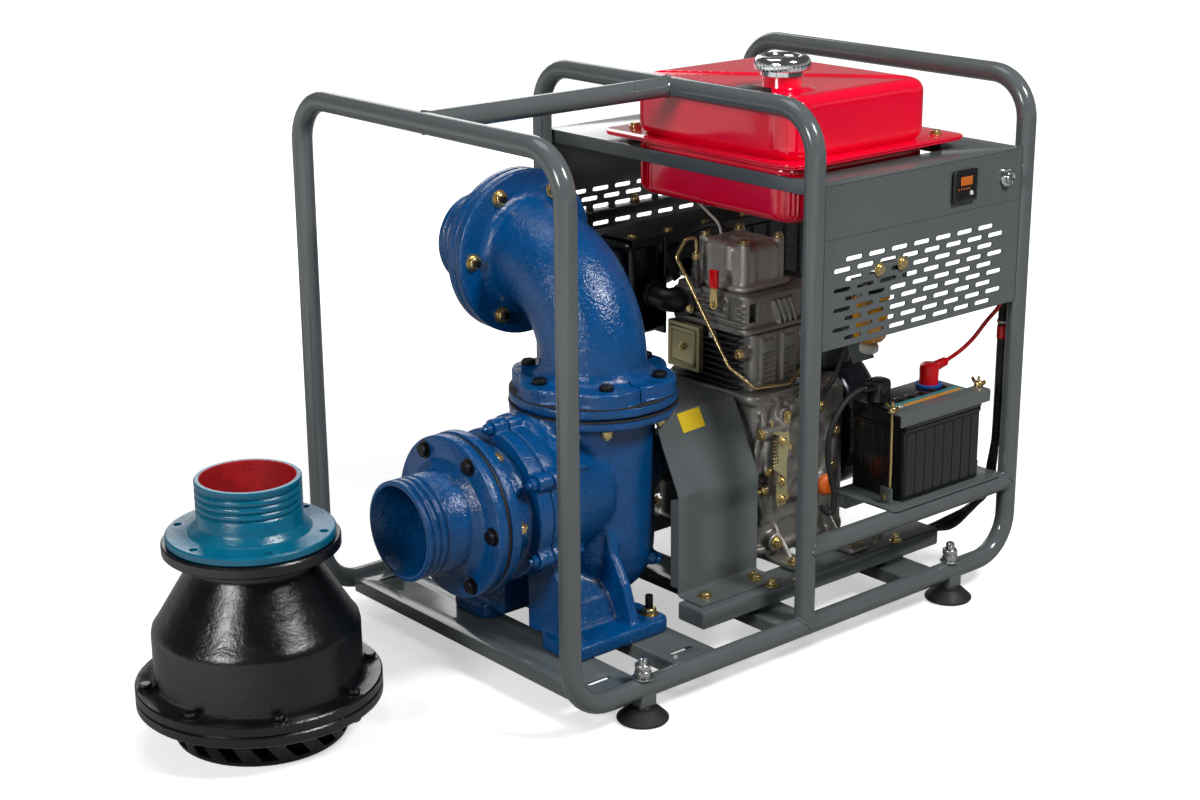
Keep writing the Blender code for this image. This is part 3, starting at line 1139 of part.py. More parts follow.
# ---- controls -------------------------------------------------------------------------
def build_controls():
    face = NEAR_Y - PANEL_Y
    x, z = REAR_X - METER[0], RAIL_Z + METER[1]
    box("hour_meter", (x - METER_W / 2, face - METER_T - GAP, z - METER_H / 2),
        (x + METER_W / 2, face - GAP, z + METER_H / 2), "black_plastic", 0.004, 2)
    x, z = REAR_X - KEY[0], RAIL_Z + KEY[1]
    key = turned("key_switch", [(0, 0), (KEY_R, 0), (KEY_R, -0.006), (KEY_R - 0.003, -0.009),
                                (KEY_R - 0.005, -KEY_T), (0, -KEY_T)],
                 (x, face - GAP, z), 'Y', "chrome", 24)
    slot = box("key_slot", (x - 0.0012, face - GAP - KEY_T - 0.01, z - 0.006),
               (x + 0.0012, face - GAP - KEY_T + 0.005, z + 0.006))
    cut(key, slot)


def build_filter():
    x, y = FRONT_X + FILTER_X, NEAR_Y + FILTER_INSET
    top, bottom = RAIL_Z + FILTER_TOP, RAIL_Z + FILTER_BOTTOM
    bowl = turned("fuel_filter", [
        (0, top + 0.034), (0.020, top + 0.034), (0.020, top + 0.012),
        (FILTER_R + 0.002, top + 0.010),
        (FILTER_R + 0.002, top - 0.004), (FILTER_R, top - 0.006), (FILTER_R, bottom + 0.016),
        (FILTER_R - 0.010, bottom + 0.003), (0.010, bottom), (0, bottom)], (x, y, 0), 'Z',
        "amber_plastic", 16)
    inner = NEAR_Y - PANEL_Y + SHEET + GAP
    join(bowl, box("filter_bracket", (x - 0.042, inner, top + 0.016), (x + 0.030, y, top + 0.030)))
    for i, dx in enumerate((-0.030, 0.016)):
        join(bowl, box(f"bracket_ear_{i}", (x + dx - 0.012, inner, top + 0.014),
                       (x + dx + 0.012, inner + 0.004, top + 0.070)))
    turned("drain_knob", [(0, -GAP), (0.010, -GAP), (0.016, -0.004), (0.016, -0.013),
                          (0.013, -0.016), (0, -0.016)], (x, y, bottom), 'Z',
           "white_plastic", 14)


# ---- battery --------------------------------------------------------------------------
def build_battery():
    x0, y0 = BATTERY_X, NEAR_Y + BATTERY_INSET
    x1, y1 = x0 + BATTERY_L, y0 + BATTERY_W
    floor = TRAY_Z + SHEET + GAP
    top = floor + BATTERY_H
    battery = box("battery", (x0, y0, floor), (x1, y1, top), "black_plastic", 0.003)
    posts = battery_posts()
    for name, (px, py) in posts.items():
        join(battery, rod(f"{name}_post", (px, py, top + 0.004), 'Z', POST_R, 0.012, sides=12))
    tx1 = REAR_X - TRAY_REAR
    tx0 = tx1 - TRAY_L
    ty0, ty1 = NEAR_Y - 0.012, NEAR_Y - 0.012 + TRAY_W
    tray = outline("battery_tray", round_corners(tx0, tx1, ty0, ty1, 0.010, 3), 'Z', TRAY_Z,
                   TRAY_Z + SHEET, "sheet_paint")
    join(tray, box("tray_angle", (tx0 + 0.004, ty1 - 0.028, TRAY_Z - 0.024),
                   (tx1 - 0.004, ty1 - 0.002, TRAY_Z + 0.001)))
    hook_y = y0 + ROD_INSET
    rods = (("front", x0 - BAR_OVER / 2 - 0.004), ("rear", x1 + BAR_OVER / 2 + 0.004))
    for end, x in rods:
        join(tray, box(f"tray_tab_{end}",
                       (x - TAB_BEHIND - SHEET / 2, hook_y - 0.012, TRAY_Z + 0.001),
                       (x - TAB_BEHIND + SHEET / 2, hook_y + 0.012, TRAY_Z + 0.030)))
    bar_z = top + GAP
    bar = box("hold_down", (x0 - BAR_OVER, y0 - SHEET - GAP, bar_z),
              (x1 + BAR_OVER, y0 + BAR_W, bar_z + SHEET), "sheet_paint")
    join(bar, box("bar_lip", (x0 - BAR_OVER, y0 - SHEET - GAP, bar_z - BAR_LIP),
                  (x1 + BAR_OVER, y0 - GAP, bar_z + 0.001)))
    low, high = TRAY_Z + 0.012, bar_z + 0.020
    for end, x in rods:
        join(bar, rod(f"hold_rod_{end}", (x, hook_y, (low + high) / 2), 'Z', ROD_R, high - low,
                      sides=10))
        nut_z = bar_z + SHEET + GAP
        nut = turned(f"wing_nut_{end}", [(0.007, 0.008), (0.008, 0), (ROD_R + 0.0006, 0),
                                         (ROD_R + 0.0006, 0.008)],
                     (x, hook_y, nut_z), 'Z', "yellow_zinc", 16)
        for side, sign in (("a", -1), ("b", 1)):
            wing = box(f"wing_{end}_{side}", (-0.0055, -0.0012, -0.006),
                       (0.0055, 0.0012, 0.006), bevel=0.001)
            wing.location = (x, hook_y + sign * 0.0105, nut_z + 0.009)
            wing.rotation_euler = (sign * radians(-35), 0, pi / 2)
            join(nut, wing)


def battery_posts():
    """Battery terminals, in plan."""
    far = NEAR_Y + BATTERY_INSET + BATTERY_W - POST_INSET
    x0 = BATTERY_X
    return {"negative": (x0 + 0.026, far), "positive": (x0 + BATTERY_L - 0.040, far)}


def boot(name, post, height):
    """A moulded terminal cover."""
    top = TRAY_Z + SHEET + GAP + BATTERY_H
    return turned(name, [(0, height), (0.012, height), (0.016, height - 0.005), (0.016, 0.018),
                         (0.019, 0.006), (0.019, GAP), (0.0095, GAP), (0.0095, 0.0115), (0, 0.0115)],
                  (*post, top), 'Z', "red_rubber", 16)


def build_leads():
    posts = battery_posts()
    top = TRAY_Z + SHEET + GAP + BATTERY_H
    px, py = posts["positive"]
    panel = NEAR_Y - PANEL_Y + SHEET
    lead = boot("positive_lead", (px, py), 0.040)
    join(lead, tube("positive_cable", smooth([
        (px + 0.006, py, top + 0.030), (px + 0.040, py - 0.008, top + 0.040),
        (px + 0.070, py - 0.024, top + 0.070), (px + 0.082, py - 0.050, top + 0.110),
        (px + 0.084, panel + 0.014, top + 0.150), (px + 0.084, panel + 0.010, top + 0.185)], 0.019),
        LEAD_R, roundness=2))
    nx, ny = posts["negative"]
    lead = boot("negative_lead", (nx, ny), 0.034)
    case_y = PUMP_Y - CRANKCASE_HALF_W - GEAR_COVER_T + 0.002
    join(lead, tube("negative_cable", smooth([
        (nx - 0.006, ny, top + 0.024), (nx - 0.035, ny - 0.004, top + 0.028),
        (nx - 0.078, ny - 0.002, top + 0.016), (nx - 0.112, ny - 0.002, top - 0.016),
        (nx - 0.116, ny + 0.002, top - 0.060), (nx - 0.110, ny, top - 0.105),
        (nx - 0.104, ny - 0.004, top - 0.145), (nx - 0.112, ny - 0.002, top - 0.172),
        (nx - 0.125, case_y - 0.036, SHAFT_Z - 0.088),
        (nx - 0.127, case_y - 0.024, SHAFT_Z - 0.089),
        (nx - 0.127, case_y - GAP, SHAFT_Z - 0.089)], 0.019), LEAD_R, roundness=2))
    leg = REAR_X
    beam_end, beam_y = FRONT_X + BEAM_END + GAP, NEAR_Y + BEAM_INSET
    y = NEAR_Y + TUBE_R + HARNESS_R + GAP
    bed = BEAM_TOP
    start = RAIL_Z + PANEL_BOTTOM + 0.030
    tube("rear_harness", smooth([
        (leg - 0.004, y, start), (leg - 0.003, y, start - 0.100), (leg - 0.003, y, start - 0.220),
        (leg - 0.003, y + 0.004, TRAY_Z + 0.030), (leg - 0.005, y + 0.010, TRAY_Z - 0.050),
        (leg - 0.022, y + 0.036, bed + 0.010), (beam_end + 0.052, beam_y - 0.004, bed - 0.014),
        (beam_end + 0.026, beam_y, bed - 0.015), (beam_end, beam_y, bed - 0.015)], 0.026),
        HARNESS_R, "black_rubber", 2)


def main():
    global PARTS, TOOLS
    clear_scene()
    PARTS = new_collection("trash_pump_set")
    TOOLS = new_collection("cutters")
    stub = build_hoops()
    build_rails(stub)
    build_feet()
    build_base()
    build_suction()
    build_pump_body()
    build_rotor()
    build_discharge()
    build_guard()
    build_foot_valve()
    build_engine()
    build_shelf()
    build_panel("near_panel", NEAR_Y - PANEL_Y, -1)
    build_panel("far_panel", FAR_Y + PANEL_Y, 1)
    build_tank()
    build_controls()
    build_filter()
    build_battery()
    build_leads()
    for obj in PARTS.objects:
        obj.data.shade_smooth()
        obj.data.set_sharp_from_angle(angle=radians(35))


main()
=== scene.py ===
"""Looks of a six inch self-priming pump set: a cast pump and an air-cooled diesel engine
in a tube frame, with the foot valve that goes on the end of its suction hose."""

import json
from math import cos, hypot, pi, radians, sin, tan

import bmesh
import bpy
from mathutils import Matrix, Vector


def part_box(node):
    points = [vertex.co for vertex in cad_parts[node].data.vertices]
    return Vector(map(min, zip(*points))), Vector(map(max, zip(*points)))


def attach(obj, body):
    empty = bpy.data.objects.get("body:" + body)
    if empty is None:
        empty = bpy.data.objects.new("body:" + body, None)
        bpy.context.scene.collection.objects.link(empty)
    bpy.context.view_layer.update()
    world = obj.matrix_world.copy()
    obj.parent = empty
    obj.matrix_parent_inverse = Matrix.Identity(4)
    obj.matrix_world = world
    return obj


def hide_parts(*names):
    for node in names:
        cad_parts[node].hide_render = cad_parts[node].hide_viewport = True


bl_info = {
    "name": "Pump Set Looks",
    "version": (1, 0, 0),
    "blender": (4, 5, 0),
    "location": "3D View > Sidebar > Pump Set",
    "description": "Builds the finished surfaces of a tube-framed pump set "
                   "around its frame of solids",
    "category": "Object",
}

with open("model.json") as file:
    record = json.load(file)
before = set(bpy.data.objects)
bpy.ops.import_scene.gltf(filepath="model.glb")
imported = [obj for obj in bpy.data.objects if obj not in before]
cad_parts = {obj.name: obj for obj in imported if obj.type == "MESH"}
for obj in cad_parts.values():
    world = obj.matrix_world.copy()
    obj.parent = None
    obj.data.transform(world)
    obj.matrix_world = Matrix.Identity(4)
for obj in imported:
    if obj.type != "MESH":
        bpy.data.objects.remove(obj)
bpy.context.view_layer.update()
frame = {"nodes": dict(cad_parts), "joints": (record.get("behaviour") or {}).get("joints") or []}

NODES = frame["nodes"]
JOINTS = {joint["name"]: joint for joint in frame["joints"]}


def at(x, y, z):
    return Vector((x, y, z))


X, Y, Z = at(1, 0, 0), at(0, 1, 0), at(0, 0, 1)


# ---- places that the frame gives ----------------------------------------------------
def low(node):
    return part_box(node)[0]


def high(node):
    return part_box(node)[1]


def middle(node):
    return (low(node) + high(node)) / 2


def radius_of(node):
    """Half the width of a round solid that stands upright or lies along X."""
    return (high(node).y - low(node).y) / 2


def pivot_of(joint):
    return Vector(JOINTS[joint]["pos_m"])


def on_shaft(x):
    return at(x, SHAFT.y, SHAFT.z)


TUBE_R = radius_of("spine_tube")
FRONT_X = low("front_hoop").x + TUBE_R
MIDDLE_X = middle("middle_hoop").x
REAR_X = high("rear_hoop").x - TUBE_R
NEAR_Y = low("front_hoop").y + TUBE_R
FAR_Y = high("front_hoop").y - TUBE_R
RAIL_Z = low("front_hoop").z + TUBE_R
TOP_Z = high("front_hoop").z - TUBE_R
SHAFT = pivot_of("shaft_spin")
OUTLET = middle("discharge_tail")
CHAMBER = on_shaft(OUTLET.x)
VALVE = at(middle("valve_base").x, middle("valve_base").y, 0)
GAP = 0.0003                                # between castings that are bolted together
CASE_HALF = 0.125                           # from the shaft to the crankcase's side walls
HEAD_TOP = low("rocker_cover").z - GAP
INJECTOR = at(FRONT_X + 0.523, SHAFT.y + 0.03, HEAD_TOP)
BATTERY_TOP = low("battery").z + 0.15       # the terminals stand higher than the lid


# ---- colours and sizes a user would change ------------------------------------------
def linear(code):
    """An sRGB hex colour as linear red, green and blue."""
    parts = [int(code[i:i + 2], 16) / 255 for i in (0, 2, 4)]
    return tuple(c / 12.92 if c <= 0.04045 else ((c + 0.055) / 1.055) ** 2.4 for c in parts)


def colour(name, code, description):
    return bpy.props.FloatVectorProperty(name=name, description=description, subtype='COLOR',
        size=3, min=0, max=1, default=linear(code))


def length(name, metres, description):
    return bpy.props.FloatProperty(name=name, description=description, default=metres, min=0,
        subtype='DISTANCE', unit='LENGTH')


class PumpSetColours(bpy.types.PropertyGroup):
    frame_grey: colour("Frame grey", "5a6061", "Powder coat of the tubes and sheet metal")
    pump_blue: colour("Pump blue", "004a84", "Enamel of the pump castings")
    valve_teal: colour("Valve teal", "006482", "Enamel of the foot valve's hose tail")
    bore_red: colour("Bore red", "a80612", "Primer inside the foot valve's hose tail")
    valve_black: colour("Valve black", "0d0d0f", "Bitumen enamel of the foot valve")
    tank_red: colour("Tank red", "ee0030", "Gloss enamel of the fuel tank")
    rubber_black: colour("Rubber black", "141414", "Feet, gasket and cable sheaths")
    cable_red: colour("Cable red", "d6060f", "Positive lead, its boot and the lever cap")
    bowl_amber: colour("Bowl amber", "f2a010", "Bowl of the fuel filter")


class PumpSetSizes(bpy.types.PropertyGroup):
    tube_bend: length("Tube bend", 0.07, "Bend radius of the frame tubes, to their centre line")
    hose_bore: length("Hose tail bore", 0.068, "Inside radius of the hose tails")
    groove_depth: length("Groove depth", 0.0025, "Depth of the grooves that grip a hose")
    bolt_circle: length("Bolt circle", 0.108, "Radius of the pipe flanges' bolt circle")
    bolt_head: length("Bolt head", 0.0115, "Half the width of a flange bolt, across its corners")
    casting_grain: length("Casting grain", 0.0036, "How finely the castings' skins are meshed")
    vent_length: length("Vent length", 0.038, "Length of a panel vent")
    vent_height: length("Vent height", 0.0075, "Height of a panel vent")


def colours():
    return bpy.context.scene.pump_set_colours


def sizes():
    return bpy.context.scene.pump_set_sizes


# ---- materials ----------------------------------------------------------------------
def add(tree, kind, inputs=None, **settings):
    """Adds a node with its settings, and links or sets its inputs."""
    node = tree.nodes.new(kind)
    for key, value in settings.items():
        setattr(node, key, value)
    for key, value in (inputs or {}).items():
        if isinstance(value, bpy.types.NodeSocket):
            tree.links.new(value, node.inputs[key])
        else:
            node.inputs[key].default_value = value
    return node


def per_metre(millimetres):
    """The scale of a pattern whose features are this far apart."""
    return 1000 / millimetres


def shaded(rgb, factor):
    return (*(min(1.0, c * factor) for c in rgb), 1.0)


def surface(name, rgb, grain, depth, rough, spread=0.06, drift=0.12, drift_size=70, worn=None,
        wear=(0.35, 0.6), metallic=0.0, lumps=None, speckle=None, shine=0.5, **sockets):
    """A Principled surface with the detail every real one has: colour that drifts slowly,
    gloss that varies, a fine skin of the given grain in mm and depth in mm, and edges
    rubbed to another colour where the piece's wear attribute marks them."""
    mat = bpy.data.materials.new(name)
    mat.use_nodes = True
    tree = mat.node_tree
    shader = tree.nodes["Principled BSDF"]
    place = add(tree, 'ShaderNodeTexCoord').outputs["Object"]
    slow = add(tree, 'ShaderNodeTexNoise', {"Vector": place, "Scale": per_metre(drift_size),
        "Detail": 4.0, "Roughness": 0.6})
    tone = add(tree, 'ShaderNodeMix', {"Factor": slow.outputs["Fac"], 6: shaded(rgb, 1 - drift),
        7: shaded(rgb, 1 + drift)}, data_type='RGBA')
    skin = add(tree, 'ShaderNodeTexNoise', {"Vector": place, "Scale": per_metre(grain),
        "Detail": 3.0, "Roughness": 0.55})
    paint = tone.outputs[2]
    if speckle:
        size, code, share = speckle
        dots = add(tree, 'ShaderNodeTexNoise', {"Vector": place, "Scale": per_metre(size),
            "Detail": 5.0, "Roughness": 0.7})
        mask = add(tree, 'ShaderNodeMapRange', {"Value": dots.outputs["Fac"], "From Min": 0.5,
            "From Max": 0.72, "To Min": 0.0, "To Max": share})
        paint = add(tree, 'ShaderNodeMix', {"Factor": mask.outputs[0], 6: paint,
            7: shaded(linear(code), 1)}, data_type='RGBA').outputs[2]
    gloss = add(tree, 'ShaderNodeMapRange', {"Value": slow.outputs["Fac"], "From Min": 0.3,
        "From Max": 0.7, "To Min": rough - spread, "To Max": rough + spread}).outputs[0]
    if worn:
        marks = add(tree, 'ShaderNodeAttribute', attribute_name="wear").outputs["Fac"]
        patchy = add(tree, 'ShaderNodeTexNoise', {"Vector": place, "Scale": per_metre(9),
            "Detail": 6.0, "Roughness": 0.75})
        rubbed = add(tree, 'ShaderNodeMath', {0: marks, 1: patchy.outputs["Fac"]},
            operation='MULTIPLY')
        mask = add(tree, 'ShaderNodeMapRange', {"Value": rubbed.outputs[0], "From Min": wear[0],
            "From Max": wear[1]})
        paint = add(tree, 'ShaderNodeMix', {"Factor": mask.outputs[0], 6: paint,
            7: shaded(linear(worn), 1)}, data_type='RGBA').outputs[2]
    relief = add(tree, 'ShaderNodeBump', {"Height": skin.outputs["Fac"], "Strength": 1.0,
        "Distance": depth * 0.001})
    if lumps:
        size, rise = lumps
        coarse = add(tree, 'ShaderNodeTexNoise', {"Vector": place, "Scale": per_metre(size),
            "Detail": 2.0, "Roughness": 0.5})
        relief = add(tree, 'ShaderNodeBump', {"Height": coarse.outputs["Fac"], "Strength": 1.0,
            "Distance": rise * 0.001, "Normal": relief.outputs[0]})
    tree.links.new(paint, shader.inputs["Base Color"])
    tree.links.new(gloss, shader.inputs["Roughness"])
    tree.links.new(relief.outputs[0], shader.inputs["Normal"])
    shader.inputs["Metallic"].default_value = metallic
    shader.inputs["Specular IOR Level"].default_value = shine
    for key, value in sockets.items():
        shader.inputs[key.replace("_", " ").title()].default_value = value
    return mat


# Finish: slot of the record, colour (a swatch of the panel or a hex code), grain and depth of
# the skin in mm, roughness, and what else the surface has.
COATS = {
    # Polyester powder on steel: fine orange peel, even semi-gloss, few marks.
    "powder_coated_steel": ("frame_paint", "frame_grey", 3.0, 0.05, 0.15, dict(
        spread=0.04, drift=0.08, worn="7d8384", wear=(0.6, 0.95))),
    # Hammer-finish enamel brushed on sand-cast iron: lumps, pits and glossy crests.
    "enamelled_cast_iron": ("pump_enamel", "pump_blue", 4.0, 1.15, 0.15, dict(
        spread=0.04, drift=0.28, drift_size=45, worn="1f6fa6", wear=(0.46, 0.8),
        lumps=(13, 1.3), speckle=(4.5, "032a4c", 0.75))),
    # The same enamel in teal, thinner, on a machined casting.
    "teal_enamel": ("valve_enamel", "valve_teal", 2.4, 0.45, 0.19, dict(
        drift=0.25, drift_size=30, worn="1f7f9c", wear=(0.5, 0.85), shine=0.45,
        speckle=(3.5, "043a52", 0.6))),
    # Red oxide primer left rough in the bore.
    "red_primer": ("valve_enamel", "bore_red", 3.0, 0.8, 0.62, dict(
        drift=0.3, drift_size=18, speckle=(4, "5c0b0f", 0.6))),
    # Bitumen enamel flooded over a sand casting: wet gloss over a slow swell.
    "bitumen_enamel": ("valve_black", "valve_black", 2.6, 0.42, 0.19, dict(
        drift=0.35, drift_size=40, worn="2e2c2a", wear=(0.5, 0.85), lumps=(26, 1.0),
        speckle=(7, "1f1d1c", 0.35))),
    # Two-pack gloss on deep-drawn sheet, the smoothest surface here.
    "tank_gloss_enamel": ("tank_red", "tank_red", 5.0, 0.03, 0.14, dict(
        spread=0.03, drift=0.05, Coat_Weight=0.3, Coat_Roughness=0.05)),
    # Sand and pressure die castings, left bare: matt and mottled.
    "cast_aluminium": ("cast_aluminium", "8b8883", 2.4, 0.45, 0.46, dict(
        spread=0.08, drift=0.16, drift_size=28, worn="bdb9b1", wear=(0.28, 0.6), metallic=0.7,
        speckle=(8, "45423e", 0.4))),
    # The rocker cover's brighter die casting, mottled by the mould.
    "die_cast_aluminium": ("cast_aluminium", "aeaaa2", 1.8, 0.35, 0.42, dict(
        spread=0.06, drift=0.14, drift_size=20, worn="d2cec6", wear=(0.28, 0.6), metallic=0.55,
        speckle=(6, "6b6862", 0.35))),
    # Black chromate on the fan shroud's pressing: dark, violet, shiny as glass.
    "black_chromate_steel": ("black_paint", "3d3c48", 3.0, 0.04, 0.16, dict(
        spread=0.03, drift=0.12, drift_size=60, worn="a7a6ad", wear=(0.3, 0.6), metallic=0.6)),
    # Stove enamel on finned iron and sheet: black with a dull sheen.
    "stove_enamel": ("black_paint", "17181a", 2.2, 0.3, 0.42, dict(
        drift=0.3, worn="4a4a4a", wear=(0.4, 0.75))),
    # Hexagon fasteners with yellow chromate over zinc: pale gold with a soft glint.
    "yellow_zinc_steel": ("yellow_zinc", "c9b27c", 1.6, 0.05, 0.24, dict(
        spread=0.05, drift=0.12, drift_size=14, metallic=0.9, speckle=(5, "988c5c", 0.18))),
    # The same plating on flat pressings, where it looks pale and green.
    "yellow_zinc_plate": ("yellow_zinc", "b3ab80", 4.0, 0.03, 0.34, dict(
        spread=0.04, drift=0.12, drift_size=30, metallic=0.5)),
    # Clear zinc plate, a cold grey with a soft shine.
    "clear_zinc_steel": ("chrome", "b6b8b8", 1.6, 0.1, 0.27, dict(
        drift=0.15, drift_size=12, metallic=0.95, speckle=(4, "70726f", 0.4))),
    # Oiled black bolts: near black, with a dim shine on the flats.
    "black_oxide_steel": ("cast_iron", "1c1c1e", 1.6, 0.15, 0.36, dict(
        drift=0.3, drift_size=14, metallic=0.6)),
    # Bright chromium: clear mirror images.
    "chromed_steel": ("chrome", "d9dcdd", 4.0, 0.02, 0.1, dict(
        spread=0.04, drift=0.05, metallic=1.0)),
    # Iron from the lathe, a brown-grey metal that rust has begun to spot.
    "machined_iron": ("cast_iron", "5a5856", 1.2, 0.15, 0.38, dict(
        metallic=0.85, speckle=(6, "33302d", 0.5))),
    # Moulded nitrile, matt, dusty where it is handled.
    "moulded_rubber": ("black_rubber", "rubber_black", 1.5, 0.2, 0.62, dict(
        spread=0.1, drift=0.35, drift_size=22, speckle=(10, "2b2a28", 0.4))),
    # Polypropylene of the battery case and the air cleaner: deep black, smooth gloss.
    "black_polypropylene": ("black_plastic", "0b0c10", 1.2, 0.02, 0.18, dict(
        spread=0.04, drift=0.2, drift_size=35)),
    # Small mouldings and vinyl labels: one flat colour each, with a plain plastic sheen.
    "black_abs": ("black_plastic", "101112", 1.2, 0.05, 0.28, dict(drift=0.1)),
    "red_silicone": ("red_rubber", "cable_red", 1.6, 0.03, 0.26, dict(
        drift=0.1, drift_size=20)),
    "orange_nylon": ("orange_plastic", "d2611a", 1.4, 0.1, 0.42, dict(
        drift=0.15, drift_size=14)),
    "blue_nylon": ("black_plastic", "1557a8", 1.4, 0.08, 0.38, dict(drift=0.1)),
    "white_nylon": ("white_plastic", "d9d6cc", 1.4, 0.08, 0.4, dict(
        drift=0.06, drift_size=20)),
    "yellow_vinyl": ("amber_plastic", "e3c21c", 3.0, 0.03, 0.35, dict(drift=0.05)),
    "lcd_orange": ("orange_plastic", "c9691a", 3.0, 0.02, 0.2, dict(drift=0.05)),
    "label_teal": ("black_plastic", "2c7f86", 3.0, 0.03, 0.35, dict(drift=0.08)),
    "label_white": ("white_plastic", "c9cbc8", 3.0, 0.03, 0.38, dict(drift=0.06)),
    "label_orange": ("orange_plastic", "c98a2a", 3.0, 0.03, 0.38, dict(drift=0.06)),
    # Clear amber polyamide: light passes the wall and the fuel behind it glows.
    "amber_polyamide": ("amber_plastic", "bowl_amber", 4.0, 0.05, 0.16, dict(
        spread=0.04, drift=0.15, drift_size=25, Transmission_Weight=0.15, Coat_Weight=0.4)),
}


def make_finishes():
    """Every finish of the set, by the name of its real material."""
    for name, (_, tone, grain, depth, rough, more) in COATS.items():
        rgb = getattr(colours(), tone) if hasattr(colours(), tone) else linear(tone)
        FINISHES[name] = surface(name, rgb, grain, depth, rough, **more)


FINISHES = {}


# ---- modelling, as by hand ------------------------------------------------------------
def start(operator, name, **settings):
    """Adds a primitive with nothing else selected, and names it."""
    bpy.ops.object.select_all(action='DESELECT')
    operator(**settings)
    piece = bpy.context.object
    piece.name = name
    return piece


def take(piece, *others):
    """Selects these pieces alone, with the first one active."""
    bpy.ops.object.select_all(action='DESELECT')
    for one in (piece, *others):
        one.select_set(True)
    bpy.context.view_layer.objects.active = piece
    return piece


def edit_all():
    bpy.ops.object.mode_set(mode='EDIT')
    bpy.ops.mesh.select_all(action='SELECT')


def settle(piece, *others):
    """Puts the place of each piece into its mesh."""
    take(piece, *others)
    bpy.ops.object.transform_apply(location=True, rotation=True, scale=True)
    return piece


def steps_from(place, *steps):
    """Places that lie these steps away from one place."""
    return [place + Vector(step) for step in steps]


def upright(y, *pairs):
    """Places in the upright plane at y, from their x and z."""
    return [at(x, y, z) for x, z in pairs]


def close_up(piece, merge=0.00002):
    """Merges doubles and turns every face outwards."""
    edit_all()
    bpy.ops.mesh.remove_doubles(threshold=merge)
    bpy.ops.mesh.normals_make_consistent(inside=False)
    bpy.ops.object.mode_set(mode='OBJECT')
    return settle(piece)


def modify(piece, kind, **settings):
    """Adds a modifier with its settings and applies it."""
    take(piece)
    modifier = piece.modifiers.new(kind.lower(), kind)
    for key, value in settings.items():
        setattr(modifier, key, value)
    bpy.ops.object.modifier_apply(modifier=modifier.name)
    return piece


def soften(piece, width, segments=2, angle=35):
    """Rounds every edge sharper than the angle."""
    return modify(piece, 'BEVEL', width=width, segments=segments, limit_method='ANGLE',
        angle_limit=radians(angle), harden_normals=False)


def one_point(name, place):
    """A plane drawn together to one vertex, in edit mode, to draw an outline from."""
    piece = start(bpy.ops.mesh.primitive_plane_add, name, size=0.01, location=place)
    bpy.ops.object.mode_set(mode='EDIT')
    bpy.ops.mesh.merge(type='CENTER')
    return piece


def draw(points):
    """Extrudes the selected vertex from point to point."""
    for here, there in zip(points, points[1:]):
        bpy.ops.mesh.extrude_region_move(TRANSFORM_OT_translate={"value": there - here})


def across(axis):
    """A direction square to an axis, from which turned shapes start."""
    return X if abs(axis.x) < 0.5 else Y


def turned(name, outline, centre, axis=Z, steps=72):
    """Spins an outline of (radius, height along the axis) points round the axis."""
    side = across(axis)
    points = [Vector(centre) + side * r + axis * h for r, h in outline]
    piece = one_point(name, points[0])
    draw(points)
    bpy.ops.mesh.select_all(action='SELECT')
    bpy.ops.mesh.spin(steps=steps, angle=2 * pi, center=Vector(centre), axis=axis)
    bpy.ops.object.mode_set(mode='OBJECT')
    return close_up(piece)


def slab(name, points, depth):
    """Fills a flat outline and extrudes it by a vector."""
    points = [Vector(p) for p in points]
    piece = one_point(name, points[0])
    draw(points)
    bpy.ops.mesh.select_all(action='SELECT')
    bpy.ops.mesh.edge_face_add()
    bpy.ops.mesh.extrude_region_move(TRANSFORM_OT_translate={"value": Vector(depth)})
    bpy.ops.object.mode_set(mode='OBJECT')
    return close_up(piece)


def block(name, lowest, highest, edge=0.0, segments=2):
    """A cube sized between two corners, with its edges rounded."""
    lowest, highest = Vector(lowest), Vector(highest)
    piece = start(bpy.ops.mesh.primitive_cube_add, name, size=1, location=(lowest + highest) / 2,
        scale=highest - lowest)
    settle(piece)
    return soften(piece, edge, segments) if edge else piece


def rod(name, foot, top, radius, sides=24, edge=0.0, tip=None):
    """A cylinder or cone from foot to top, with its rims rounded."""
    foot, top = Vector(foot), Vector(top)
    along = top - foot
    piece = start(bpy.ops.mesh.primitive_cone_add, name, vertices=sides, radius1=radius,
        radius2=radius if tip is None else tip, depth=along.length, location=(foot + top) / 2,
        rotation=along.to_track_quat('Z', 'Y').to_euler())
    settle(piece)
    return soften(piece, edge) if edge else piece


def bent_tube(name, corners, radius, bend, sides=36, steps=10):
    """Draws a circle along each straight run and spins it round each bend."""
    corners = [Vector(c) for c in corners]
    ahead = (corners[1] - corners[0]).normalized()
    piece = start(bpy.ops.mesh.primitive_circle_add, name, vertices=sides, radius=radius,
        fill_type='NGON', location=corners[0], rotation=ahead.to_track_quat('Z', 'Y').to_euler())
    bpy.ops.object.mode_set(mode='EDIT')
    here = corners[0]
    for corner, after in zip(corners[1:-1], corners[2:]):
        onward = (after - corner).normalized()
        turn = ahead.angle(onward)
        reach = bend * tan(turn / 2)
        stop = corner - ahead * reach
        bpy.ops.mesh.extrude_region_move(TRANSFORM_OT_translate={"value": stop - here})
        inward = (onward - ahead * onward.dot(ahead)).normalized()
        bpy.ops.mesh.spin(steps=steps, angle=turn, center=stop + inward * bend,
            axis=onward.cross(ahead).normalized())
        here, ahead = corner + onward * reach, onward
    bpy.ops.mesh.extrude_region_move(TRANSFORM_OT_translate={"value": corners[-1] - here})
    bpy.ops.object.mode_set(mode='OBJECT')
    return close_up(piece)


